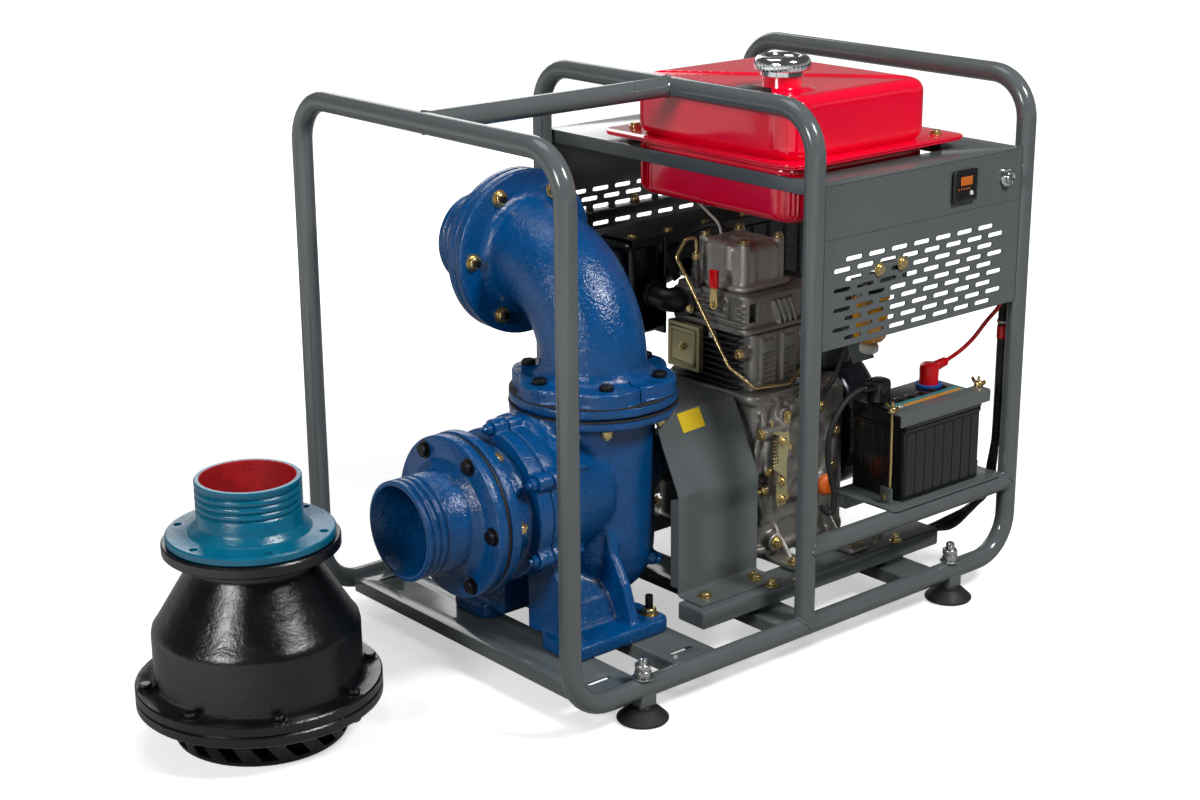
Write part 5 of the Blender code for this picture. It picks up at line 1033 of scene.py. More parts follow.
# ---- foot valve -------------------------------------------------------------------------
class PUMPSET_OT_foot_valve(bpy.types.Operator):
    """Casts the strainer, the body and the teal hose tail of the foot valve"""
    bl_idname = "pump_set.foot_valve"
    bl_label = "Foot valve"

    def execute(self, context):
        joint = high("valve_base").z
        wide = (high("valve_base").x - low("valve_base").x) / 2
        under = joint - 0.016
        base = turned("valve_base_casting", [(0, 0.007), (0.119, 0.007), (0.1205, 0.009),
            (0.1205, joint - 0.007), (0.086, joint - 0.007), (0.085, joint - 0.006),
            (0.085, joint), (wide - 0.002, joint), (wide, joint - 0.002), (wide, under + 0.002),
            (wide - 0.002, under), (0.131, under - 0.0006), (0.128, under - 0.003),
            (0.127, under - 0.007), (0.1268, 0.0055), (0.1245, 0.0015), (0.1225, 0), (0, 0)],
            VALVE, Z, 96)
        cutters = []
        for i in range(16):
            t = 2 * pi * (i + 0.5) / 16
            out = at(cos(t), sin(t), 0)
            along = at(-sin(t), cos(t), 0)
            corners = [VALVE + out * 0.108 + along * shift + Z * z for shift, z in (
                (-0.028, under - 0.0085), (-0.003, under - 0.0085), (0.028, 0.0085),
                (0.003, 0.0085))]
            cutters.append(soften(slab("slot", corners, out * 0.028), 0.0014, 1, 30))
        carve(base, joined(*cutters))
        finished(base, "bitumen_enamel", stands_for="valve_base", angle=40)
        start_z = joint + 0.0006
        top = high("valve_body").z
        shoulder = RAIL_Z + 0.121
        upper = top - 0.017
        body = turned("valve_body_casting", [(0.07, top), (0.126, top), (0.128, top - 0.0022),
            (0.128, upper + 0.0024), (0.1258, upper), (0.097, upper - 0.0006),
            (0.093, upper - 0.004), (0.0905, upper - 0.018), (0.0935, upper - 0.024),
            (0.1445, shoulder + 0.008), (0.149, shoulder + 0.002), (0.1508, shoulder - 0.006),
            (0.151, start_z + 0.027), (0.153, start_z + 0.02), (0.158, start_z + 0.0168),
            (wide - 0.0022, start_z + 0.016), (wide, start_z + 0.0138), (wide, start_z + 0.002),
            (wide - 0.0018, start_z), (0.141, start_z), (0.141, shoulder), (0.08, upper - 0.018),
            (0.07, upper), (0.07, top)], VALVE, Z, 128)
        ribs = [rod("boss", p, p + Z * 0.0022, 0.0125, 24, 0.0006)
            for p in ring_of(VALVE + Z * (start_z + 0.0155), Z, wide - 0.015, 8, pi / 8)]
        finished(joined(body, *ribs), "bitumen_enamel", stands_for="valve_body", angle=40)
        circle = ring_of(VALVE + Z * (start_z + 0.0174), Z, wide - 0.015, 8, pi / 8)
        bolts("valve_flange_bolts", circle, Z, 0.0092, 0.0066, "bitumen_enamel", washer=False)
        below = ring_of(VALVE + Z * under, Z, wide - 0.015, 8, pi / 8)
        bolts("valve_flange_nuts", below, -Z, 0.0092, 0.007, "bitumen_enamel", washer=False,
            stud=0.003)
        seat = low("valve_tail").z
        tail = hose_tail("valve_tail", VALVE + Z * seat, Z, high("valve_tail").z - seat, 0.084,
            0.012, 4, 0.0105, 128)
        holes = [rod("hole", p - Z * 0.01, p + Z * 0.03, 0.0065, 24)
            for p in ring_of(VALVE + Z * seat, Z, sizes().bolt_circle, 6, 0.2)]
        carve(tail, joined(*holes))
        finished(tail, "teal_enamel", stands_for="valve_tail", angle=40)
        tail.data.materials.append(FINISHES["red_primer"])
        for face in tail.data.polygons:
            if (face.center.xy - VALVE.xy).length < sizes().hose_bore + 0.0018:
                face.material_index = 1
        return {'FINISHED'}


class PUMPSET_OT_flaps(bpy.types.Operator):
    """Moulds the two rubber flaps, and turns the iron weight that closes the suction flap"""
    bl_idname = "pump_set.flaps"
    bl_label = "Non-return flaps"

    def execute(self, context):
        a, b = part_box("suction_flap")
        hinge = pivot_of("suction_flap_swing")
        r = (b.y - a.y) / 2
        seat = at(a.x, SHAFT.y, a.z + r)
        disc = turned("suction_flap_disc", [(0, 0), (r - 0.008, 0), (r - 0.006, 0.0006),
            (r - 0.001, 0.0006), (r, 0.0016), (r, 0.005), (r - 0.001, 0.006), (0, 0.006)], seat, X,
            72)
        strap = block("strap", (a.x + 0.0004, SHAFT.y - 0.018, seat.z + r - 0.012),
            (a.x + 0.0056, SHAFT.y + 0.018, hinge.z + 0.0005), 0.0015, 2)
        finished(joined(disc, strap), "moulded_rubber", body="suction_flap",
            stands_for="suction_flap")
        weight = turned("suction_flap_weight", [(0, 0.0058), (0.033, 0.0058), (0.034, 0.0068),
            (0.034, 0.0096), (0.032, 0.0106), (0.012, b.x - a.x - 0.0002), (0, b.x - a.x)], seat,
            X, 56)
        finished(weight, "machined_iron", body="suction_flap")
        a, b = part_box("valve_flap")
        r = (b.y - a.y) / 2
        centre = at(b.x - r, (a.y + b.y) / 2, a.z)
        disc = turned("valve_flap_disc", [(0, 0), (r - 0.001, 0), (r, 0.001), (r, 0.007),
            (r - 0.001, 0.008), (r - 0.006, 0.008), (r - 0.008, 0.0072), (0, 0.0072)], centre, Z,
            80)
        hinge = pivot_of("valve_flap_swing")
        if a.x < centre.x - r - 0.001:
            tongue = block("tongue", (a.x, hinge.y - 0.018, a.z + 0.0004),
                (centre.x - r * 0.9, hinge.y + 0.018, b.z - 0.0004), 0.0015, 2)
            disc = joined(disc, tongue)
        finished(disc, "moulded_rubber", body="valve_flap", stands_for="valve_flap")
        return {'FINISHED'}


# ---- sheet metal and tank -------------------------------------------------------------------
class PUMPSET_OT_side_panels(bpy.types.Operator):
    """Punches the vents in both side panels and presses their crease"""
    bl_idname = "pump_set.side_panels"
    bl_label = "Side panels"

    def execute(self, context):
        long, tall = sizes().vent_length, sizes().vent_height
        for node, out in (("near_panel", -1), ("far_panel", 1)):
            a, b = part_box(node)
            panel = block(node + "_sheet", a, b, 0.0006, 1)
            vents = []
            for row in range(9):
                z = RAIL_Z + 0.46 + row * 0.0155
                x = a.x + 0.022 + (0.02575 if row % 2 == 0 else 0)
                while x + long < b.x - 0.0132:
                    vents.append(at(x, a.y - 0.01, z))
                    x += 0.0515
            half = tall / 2
            outline = []
            for cx, turn in ((long - half, -pi / 2), (half, pi / 2)):
                outline += [(cx + half * cos(turn + pi * i / 6), 0, half * sin(turn + pi * i / 6))
                    for i in range(7)]
            punch = slab("punch", outline, (0, 0.023, 0))
            punches = copied(punch, vents)
            bpy.data.objects.remove(punch)
            face = a.y if out < 0 else b.y
            crease = rod("crease", (a.x - 0.01, face, RAIL_Z + 0.618),
                (b.x + 0.01, face, RAIL_Z + 0.618), 0.0011, 8)
            carve(panel, punches, crease)
            finished(panel, "powder_coated_steel", stands_for=node)
            lower = folded(node + "_lip", with_bends([(a.x + 0.002, face - out * 0.0016,
                a.z + 0.0012), (a.x + 0.002, face - out * 0.014, a.z + 0.0012)], 0.002),
                (b.x - a.x - 0.004, 0, 0), 0.0022, 0.0004)
            finished(lower, "powder_coated_steel")
        face = low("near_panel").y
        bolts("filter_bracket_bolts", upright(face - 0.0002, (FRONT_X + 0.618, RAIL_Z + 0.557),
            (FRONT_X + 0.67, RAIL_Z + 0.558)), -Y, 0.0088, 0.0056)
        inside = low("far_panel").y
        bolts("far_panel_bolts", [at(x, inside, 0.604) for x in (0.3, 0.44, 0.6)], -Y, 0.008,
            0.0056)
        rail = block("far_panel_rail", (a.x + 0.004, inside - 0.024, 0.585),
            (b.x - 0.01, inside - 0.0004, 0.6), 0.001)
        finished(rail, "stove_enamel")
        return {'FINISHED'}


class PUMPSET_OT_shelf(bpy.types.Operator):
    """Folds the shelf that the tank hangs in"""
    bl_idname = "pump_set.shelf"
    bl_label = "Top shelf"

    def execute(self, context):
        shelf = recast("top_shelf", 0.0012, 2)
        finished(shelf, "powder_coated_steel", stands_for="top_shelf")
        return {'FINISHED'}


def pressed(name, x0, x1, y0, y1, z0, z1, corner, rim, draw_in, keep):
    """One deep-drawn shell closed at one end, drawn in towards that end."""
    outline = rounded_box(x0, x1, y0, y1, corner, z0, 8)
    shell = slab(name, outline, (0, 0, z1 - z0))
    target = z1 if keep == z0 else z0
    for face in shell.data.polygons:
        face.select = abs(face.center.z - target) < 1e-4 and abs(face.normal.z) > 0.9
    for vertex in shell.data.vertices:
        vertex.select = abs(vertex.co.z - target) < 1e-4
    take(shell)
    bpy.ops.object.mode_set(mode='EDIT')
    bpy.ops.transform.resize(value=(1 - 2 * draw_in / (x1 - x0), 1 - 2 * draw_in / (y1 - y0), 1),
        center_override=((x0 + x1) / 2, (y0 + y1) / 2, target))
    bpy.ops.mesh.bevel(offset=rim, segments=6, profile=0.5)
    bpy.ops.object.mode_set(mode='OBJECT')
    return close_up(shell)


class PUMPSET_OT_tank(bpy.types.Operator):
    """Presses the fuel tank with its ribs, seam flange, neck, gauge and bolts"""
    bl_idname = "pump_set.tank"
    bl_label = "Fuel tank"

    def execute(self, context):
        a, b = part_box("tank_upper")
        seam = a.z
        top = b.z - 0.03
        x0, x1, y0, y1 = a.x + 0.022, b.x - 0.068, a.y + 0.021, b.y - 0.052
        bottom = low("tank_lower").z
        upper = pressed("fuel_tank_upper", x0, x1, y0, y1, seam, top, 0.035, 0.017, 0.004, seam)
        lower = pressed("fuel_tank_lower", x0 + 0.001, x1 - 0.001, y0 + 0.001, y1 - 0.001, bottom,
            seam - 0.0004, 0.035, 0.017, 0.004, seam - 0.0004)
        cap = middle("tank_cap")
        ribs = []
        mid = at((x0 + x1) / 2, (y0 + y1) / 2, 0)
        for end in ((x1 - 0.03, y0 + 0.026), (x1 - 0.03, y1 - 0.026), (x0 + 0.03, y1 - 0.026)):
            foot = mid.lerp(at(*end, 0), 0.16)
            foot.z = tip_z = top - 0.0052
            ribs.append(rod("rib", foot, (*end, tip_z), 0.0088, 24, 0.004))
        step = turned("neck_ring", [(0, 0.005), (0.04, 0.005), (0.0445, 0.003), (0.048, -0.002),
            (0, -0.002)], (cap.x, cap.y, top), Z, 64)
        upper = joined(upper, *ribs, step)
        modify(upper, 'REMESH', mode='VOXEL', voxel_size=0.0026)
        modify(upper, 'SMOOTH', factor=0.5, iterations=14)
        flange = slab("flange", rounded_box(a.x, b.x, a.y, b.y, 0.03, seam + 0.0002, 8),
            (0, 0, 0.003))
        soften(flange, 0.0008, 2, 60)
        neck = turned("neck", [(0, 0.03), (0.0295, 0.03), (0.03, 0.028), (0.03, 0.0045),
            (0.033, -0.001), (0, -0.001)], (cap.x, cap.y, top), Z, 64)
        finished(joined(upper, flange, neck), "tank_gloss_enamel", stands_for="tank_upper",
            angle=50)
        rim = slab("rim", rounded_box(a.x + 0.001, b.x - 0.001, a.y + 0.001, b.y - 0.001, 0.03,
            seam - 0.0034, 8), (0, 0, 0.003))
        soften(rim, 0.0008, 2, 60)
        spacers = [at(x0 + 0.04, y1 + 0.03, 0), at(x1 + 0.03, y0 + 0.02, 0),
            at(x1 + 0.03, y1 + 0.02, 0)]
        shelf = high("top_shelf").z
        finished(joined(lower, rim), "tank_gloss_enamel", stands_for="tank_lower", angle=50)
        pads = [turned("pad", [(0, seam - shelf - 0.004), (0.0095, seam - shelf - 0.004),
            (0.0102, (seam - shelf) * 0.5), (0.0095, 0.0004), (0, 0.0004)], p + Z * shelf, Z, 32)
            for p in spacers]
        finished(joined(*pads), "moulded_rubber", name="tank_pads")
        bolts("tank_bolts", [p + Z * (seam + 0.0032) for p in spacers], Z, 0.0088, 0.006)
        # Float gauge: a long lens in a black bezel on the tank's top, beside the filler.
        gx, gy = cap.x - 0.058, cap.y + 0.004
        bezel = block("float_gauge", (gx - 0.015, gy - 0.026, top - 0.001),
            (gx + 0.015, gy + 0.026, top + 0.0085), 0.003, 3)
        finished(bezel, "black_abs")
        lens = block("float_gauge_lens", (gx - 0.0085, gy - 0.0195, top + 0.0075),
            (gx + 0.0085, gy + 0.0195, top + 0.0092), 0.0012, 2)
        finished(lens, "black_oxide_steel")
        return {'FINISHED'}


class PUMPSET_OT_filler_cap(bpy.types.Operator):
    """Turns the chromed filler cap with its fluted rim"""
    bl_idname = "pump_set.filler_cap"
    bl_label = "Filler cap"

    def execute(self, context):
        a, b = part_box("tank_cap")
        centre = at(middle("tank_cap").x, middle("tank_cap").y, 0)
        r = (b.x - a.x) / 2
        cap = turned("filler_cap", [(0, b.z - 0.0035), (r * 0.62, b.z - 0.0035),
            (r * 0.66, b.z - 0.0008), (r * 0.72, b.z), (r * 0.84, b.z - 0.0006),
            (r * 0.93, b.z - 0.0032), (r * 0.985, b.z - 0.0075), (r, b.z - 0.0125),
            (r, b.z - 0.02), (r * 0.975, b.z - 0.0215), (r * 0.8, b.z - 0.022),
            (0.0335, b.z - 0.0225), (0.0335, a.z), (0.0304, a.z), (0.0304, b.z - 0.0217),
            (0, b.z - 0.0217)], centre, Z, 96)
        flutes = []
        for i in range(40):
            t = 2 * pi * i / 40
            p = centre + at(cos(t) * (r + 0.0008), sin(t) * (r + 0.0008), 0)
            flutes.append(rod("flute", p + Z * (b.z - 0.024), p + Z * (b.z - 0.011), 0.0015, 10))
        carve(cap, joined(*flutes))
        finished(cap, "chromed_steel", body="tank_cap", stands_for="tank_cap", angle=40)
        return {'FINISHED'}


# ---- controls -------------------------------------------------------------------------------
class PUMPSET_OT_controls(bpy.types.Operator):
    """Moulds the hour meter with its display and marks, and turns the key switch"""
    bl_idname = "pump_set.controls"
    bl_label = "Hour meter and key"

    def execute(self, context):
        a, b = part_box("hour_meter")
        mid = middle("hour_meter")
        bezel = block("hour_meter_bezel", a + at(0, 0.002, 0), b, 0.0035, 3)
        window = block("window", (a.x + 0.007, a.y - 0.01, a.z + 0.007),
            (b.x - 0.007, a.y + 0.0038, b.z - 0.007), 0.001, 1)
        carve(bezel, window)
        finished(bezel, "black_abs", stands_for="hour_meter")
        face = block("hour_meter_face", (a.x + 0.0072, a.y + 0.0034, a.z + 0.0072),
            (b.x - 0.0072, a.y + 0.0042, b.z - 0.0072), 0.0002, 1)
        finished(face, "black_polypropylene")
        display = block("hour_meter_display", (mid.x - 0.013, a.y + 0.0026, mid.z + 0.001),
            (mid.x + 0.015, a.y + 0.0036, mid.z + 0.015), 0.0006, 1)
        finished(display, "lcd_orange")
        marks = [block("mark", (mid.x - 0.019 + i * 0.0062, a.y + 0.0027, mid.z - 0.0055),
            (mid.x - 0.016 + i * 0.0062, a.y + 0.0036, mid.z - 0.003), 0.0003, 1)
            for i in range(5)]
        finished(joined(*marks), "lcd_orange", name="hour_meter_marks")
        button = turned("hour_meter_button", [(0, 0.002), (0.0034, 0.002), (0.004, 0.0012),
            (0.004, 0), (0, 0)], (mid.x + 0.0135, a.y + 0.0038, mid.z - 0.0125), -Y, 32)
        finished(button, "white_nylon")
        a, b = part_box("key_switch")
        centre = at(middle("key_switch").x, b.y, middle("key_switch").z)
        key = turned("key_switch_bezel", [(0, 0.01), (0.0072, 0.01), (0.0076, 0.0125),
            (0.0098, 0.0125), (0.0104, 0.0116), (0.0106, 0.0052), (0.0138, 0.0046),
            (0.015, 0.0032), (0.015, 0), (0, 0)], centre, -Y, 72)
        slot = block("slot", (centre.x - 0.001, a.y - 0.01, centre.z - 0.0046),
            (centre.x + 0.001, b.y - 0.0055, centre.z + 0.0046))
        carve(key, slot)
        finished(key, "chromed_steel", body="key_switch", stands_for="key_switch")
        return {'FINISHED'}


class PUMPSET_OT_fuel_filter(bpy.types.Operator):
    """Moulds the amber fuel filter bowl, its head, bracket and drain knob"""
    bl_idname = "pump_set.fuel_filter"
    bl_label = "Fuel filter"

    def execute(self, context):
        knob = middle("drain_knob")
        centre = at(knob.x, knob.y, 0)
        top, bottom = RAIL_Z + 0.5, RAIL_Z + 0.42
        bowl = turned("fuel_filter_bowl", [(0, top - 0.001), (0.03, top - 0.001),
            (0.0305, top - 0.0025), (0.0305, top - 0.005), (0.029, top - 0.006),
            (0.0285, top - 0.008), (0.028, bottom + 0.02), (0.0262, bottom + 0.011),
            (0.0215, bottom + 0.005), (0.012, bottom + 0.0012), (0, bottom + 0.0004)], centre, Z,
            72)
        finished(bowl, "amber_polyamide", stands_for="fuel_filter", angle=60)
        head = turned("fuel_filter_head", [(0, top + 0.034), (0.01, top + 0.034),
            (0.0118, top + 0.032), (0.012, top + 0.026), (0.0195, top + 0.0235),
            (0.022, top + 0.019), (0.023, top + 0.011), (0.03, top + 0.0085),
            (0.0308, top + 0.0065), (0.0308, top - 0.0004), (0, top - 0.0004)], centre, Z, 64)
        finished(head, "cast_aluminium", angle=40)
        for i, sign in enumerate((-1, 1)):
            x = centre.x + sign * 0.026
            spout = rod("spout", (centre.x + sign * 0.012, centre.y, top + 0.02),
                (x + sign * 0.008, centre.y, top + 0.022), 0.0042, 20, 0.0008)
            finished(spout, "clear_zinc_steel", name=f"fuel_filter_spout_{i}")
        inner = high("near_panel").y
        plate = folded("fuel_filter_bracket", with_bends([(centre.x - 0.042, inner + 0.0018,
            top + 0.066), (centre.x - 0.042, inner + 0.0018, top + 0.03),
            (centre.x - 0.042, centre.y + 0.006, top + 0.03)], 0.004), (0.07, 0, 0), 0.0025)
        finished(plate, "stove_enamel")
        a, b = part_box("drain_knob")
        outline = [(0, a.z), (0.0118, a.z), (0.0142, a.z + 0.0016), (0.0154, a.z + 0.004),
            (0.0154, b.z - 0.0045), (0.014, b.z - 0.0016), (0.01, b.z), (0, b.z)]
        handle = turned("drain_knob_moulding", outline, centre, Z, 64)
        flutes = [rod("flute", p - Z * 0.02, p + Z * 0.02, 0.0017, 10)
            for p in ring_of(centre + Z * b.z, Z, 0.0165, 14)]
        carve(handle, joined(*flutes))
        finished(handle, "white_nylon", body="drain_knob", stands_for="drain_knob")
        return {'FINISHED'}


# ---- battery --------------------------------------------------------------------------------
class PUMPSET_OT_battery(bpy.types.Operator):
    """Moulds the ribbed battery case with its lid, plain label and terminals"""
    bl_idname = "pump_set.battery"
    bl_label = "Battery"

    def execute(self, context):
        a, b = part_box("battery")
        roof = BATTERY_TOP
        case = block("battery_case", a + at(0.002, 0.002, 0), (b.x - 0.002, b.y - 0.002,
            roof - 0.026), 0.0035, 3)
        foot, head, inset, proud = a.z + 0.008, roof - 0.034, 0.002, 0.0009
        ribs = []
        for i in range(8):
            x = a.x + 0.015 + i * (b.x - a.x - 0.03) / 7
            for y in (a.y + inset - proud, b.y - inset):
                ribs.append(block("rib", (x - 0.01, y, foot), (x + 0.01, y + proud, head), 0.0008,
                    1))
        for i in range(5):
            y = a.y + 0.015 + i * (b.y - a.y - 0.03) / 4
            for x in (a.x + inset - proud, b.x - inset):
                ribs.append(block("rib", (x, y - 0.0085, foot), (x + proud, y + 0.0085, head),
                    0.0008, 1))
        finished(joined(case, *ribs), "black_polypropylene", stands_for="battery")
        lid = block("battery_lid", (a.x, a.y, roof - 0.0265), (b.x, b.y, roof), 0.0035, 3)
        step = block("battery_lid_step", (a.x + 0.001, a.y + 0.001, roof - 0.033),
            (b.x - 0.001, b.y - 0.001, roof - 0.0262), 0.0012, 1)
        finished(joined(lid, step), "black_polypropylene")
        plugs = [turned("plug", [(0, 0.0022), (0.0062, 0.0022), (0.008, 0.0012), (0.008, -0.001),
            (0, -0.001)], (a.x + 0.028 + i * 0.027, a.y + 0.066, roof), Z, 28) for i in range(6)]
        finished(joined(*plugs), "black_abs", name="battery_plugs")
        strip = block("battery_label", (a.x + 0.006, a.y + 0.03, roof - 0.0002),
            (b.x - 0.006, a.y + 0.053, roof + 0.0006), 0.0002, 1)
        finished(strip, "label_teal")
        for i, (code, start_x, end_x) in enumerate((("label_orange", 0.034, 0.176),
                ("label_white", 0.008, 0.03))):
            bar = block(f"battery_label_{i}", (a.x + start_x, a.y + 0.0315, roof + 0.0003),
                (a.x + end_x, a.y + 0.042, roof + 0.0009), 0.0002, 1)
            finished(bar, code, wear=False)
        for lead in ("negative_lead", "positive_lead"):
            lug = turned(lead + "_post", [(0, 0.012), (0.0072, 0.012), (0.008, 0.0105),
                (0.0085, -0.001), (0, -0.001)], post(lead), Z, 32)
            finished(lug, "clear_zinc_steel")
        return {'FINISHED'}


def post(lead):
    """Where a battery terminal stands on the lid."""
    a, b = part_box("battery")
    x = a.x + 0.026 if lead == "negative_lead" else b.x - 0.04
    return at(x, b.y - 0.034, BATTERY_TOP)


class PUMPSET_OT_battery_tray(bpy.types.Operator):
    """Folds the tray and the hold-down bar with its hooked rods and wing nuts"""
    bl_idname = "pump_set.battery_tray"
    bl_label = "Battery tray and hold-down"

    def execute(self, context):
        tray = recast("battery_tray", 0.001, 2)
        finished(tray, "powder_coated_steel", stands_for="battery_tray")
        a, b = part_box("hold_down")
        roof = BATTERY_TOP
        bar = folded("hold_down_bar", with_bends([(a.x, a.y + 0.0014, roof - 0.018),
            (a.x, a.y + 0.0014, roof + 0.0018), (a.x, a.y + 0.0303, roof + 0.0018)], 0.003),
            (b.x - a.x, 0, 0), 0.0029, 0.0005)
        finished(bar, "powder_coated_steel", stands_for="hold_down")
        for end in ("front", "rear"):
            node = "wing_nut_" + end
            place = pivot_of(node + "_turn")
            tray_z = high("battery_rail").z
            hook = wire(f"hold_down_rod_{end}", upright(place.y, (place.x, b.z - 0.0004),
                (place.x, roof - 0.03), (place.x, tray_z + 0.032),
                (place.x - 0.002, tray_z + 0.014), (place.x - 0.0095, tray_z + 0.01),
                (place.x - 0.0125, tray_z + 0.02)), 0.0024, 4)
            finished(hook, "yellow_zinc_steel")
            foot = low(node).z
            nut = turned(node + "_boss", [(0.0036, 0.0082), (0.006, 0.0082), (0.007, 0.007),
                (0.008, 0.001), (0.0078, 0), (0.0036, 0), (0.0036, 0.0082)],
                (place.x, place.y, foot), Z, 40)
            wings = []
            for sign in (-1, 1):
                wing = slab("wing", steps_from(at(place.x - 0.0012, place.y, foot),
                    *((0, sign * out, up) for out, up in ((0.005, 0.001), (0.011, 0.0035),
                    (0.0152, 0.008), (0.0158, 0.0118), (0.0138, 0.0138), (0.0105, 0.0125),
                    (0.0055, 0.0075)))), (0.0024, 0, 0))
                wings.append(soften(wing, 0.0008, 2, 50))
            finished(joined(nut, *wings), "yellow_zinc_steel", body=node, stands_for=node)
        return {'FINISHED'}


class PUMPSET_OT_leads(bpy.types.Operator):
    """Lays the battery leads with their boots, the conduit and the rear harness"""
    bl_idname = "pump_set.leads"
    bl_label = "Leads and harness"

    def execute(self, context):
        p = post("positive_lead")
        panel = high("near_panel").y
        boot = turned("positive_boot", [(0.0102, 0.012), (0.0102, 0.0008), (0.016, 0.0008),
            (0.0168, 0.0025), (0.016, 0.015), (0.0165, 0.03), (0.015, 0.0375), (0.011, 0.04),
            (0, 0.04), (0, 0.012), (0.0102, 0.012)], p, Z, 48)
        nose = rod("nose", *steps_from(p, (0.002, 0, 0.029), (0.036, -0.006, 0.038)), 0.0098, 28,
            0.003, tip=0.0074)
        finished(joined(boot, nose), "red_silicone", stands_for="positive_lead")
        ring = turned("positive_ring", [(0.0172, 0.0006), (0.0222, 0.0006), (0.0226, 0.002),
            (0.0222, 0.005), (0.0172, 0.005), (0.0172, 0.0006)], p, Z, 56)
        finished(ring, "blue_nylon")
        cable = wire("positive_cable", [*steps_from(p, (0.02, -0.003, 0.034),
            (0.04, -0.008, 0.041), (0.066, -0.026, 0.066), (0.08, -0.05, 0.106)),
            at(p.x + 0.084, panel + 0.014, p.z + 0.15), at(p.x + 0.084, panel + 0.01,
            p.z + 0.184)], 0.0036, 5)
        finished(cable, "red_silicone")
        n = post("negative_lead")
        boot = turned("negative_boot", [(0, 0.038), (0.0125, 0.038), (0.018, 0.0355),
            (0.0196, 0.029), (0.0188, 0.014), (0.02, 0.0022), (0.019, 0.0008), (0.0102, 0.0008),
            (0.0102, 0.012), (0, 0.012)], n, Z, 48)
        nose = rod("nose", *steps_from(n, (-0.002, 0, 0.023), (-0.044, -0.004, 0.029)), 0.012, 28,
            0.003, tip=0.0082)
        finished(joined(boot, nose), "black_polypropylene", stands_for="negative_lead")
        cable = wire("negative_cable", [*steps_from(n, (-0.02, -0.002, 0.026),
            (-0.04, -0.004, 0.03), (-0.078, -0.002, 0.018), (-0.108, -0.002, -0.014),
            (-0.116, 0.002, -0.06), (-0.11, 0, -0.105), (-0.104, -0.004, -0.145),
            (-0.112, -0.002, -0.168)), at(n.x - 0.126, n.y + 0.004, SHAFT.z - 0.088)], 0.005, 5)
        finished(cable, "moulded_rubber")
        leg = REAR_X
        y = NEAR_Y + TUBE_R + 0.0083
        top = high("rear_harness").z
        route = [at(leg - 0.004, y, top), at(leg - 0.003, y, 0.43), at(leg - 0.003, y, 0.31),
            at(leg - 0.003, y + 0.002, 0.235)]
        tube = wire("rear_conduit", route, 0.0072, 5)
        rings = [turned("ring", [(0.0066, 0), (0.008, 0.0008), (0.008, 0.002), (0.0066, 0.0028),
            (0.0066, 0)], at(leg - 0.0033, y, 0.245 + i * 0.004), Z, 20)
            for i in range(int((top - 0.25) / 0.004))]
        finished(joined(tube, *rings), "moulded_rubber", stands_for="rear_harness")
        bed = at(high("near_bed_beam").x, middle("near_bed_beam").y, high("near_bed_beam").z)
        for i, shift in enumerate((-1, 1)):
            cable = wire(f"starter_cable_{i}", [at(leg - 0.003 + shift * 0.0035,
                y + 0.002 + shift * 0.002, 0.245), at(leg - 0.003 + shift * 0.004, y + 0.006,
                0.205), at(leg - 0.007 + shift * 0.005, y + 0.014, 0.15),
                at(leg - 0.024 + shift * 0.004, y + 0.038, bed.z + 0.012 + shift * 0.004),
                *steps_from(bed, (0.052, shift * 0.005 - 0.008, shift * 0.004 - 0.01),
                (0.024, shift * 0.005, -0.014), (0.002, shift * 0.006, -0.015))], 0.0062, 5)
            finished(cable, "moulded_rubber")
        tie = turned("cable_tie", [(0.0082, 0), (0.0092, 0), (0.0092, 0.004), (0.0082, 0.004),
            (0.0082, 0)], at(leg - 0.0033, y, 0.452), Z, 32)
        head = block("tie_head", (leg - 0.007, y - 0.0128, 0.4515),
            (leg + 0.001, y - 0.0082, 0.4565), 0.0008, 1)
        finished(joined(tie, head), "white_nylon")
        sleeve = turned("red_sleeve", [(0.0078, 0), (0.0086, 0.0006), (0.0086, 0.022),
            (0.0078, 0.0226), (0.0078, 0)], at(leg - 0.0033, y, 0.425), Z, 32)
        finished(sleeve, "red_silicone")
        return {'FINISHED'}


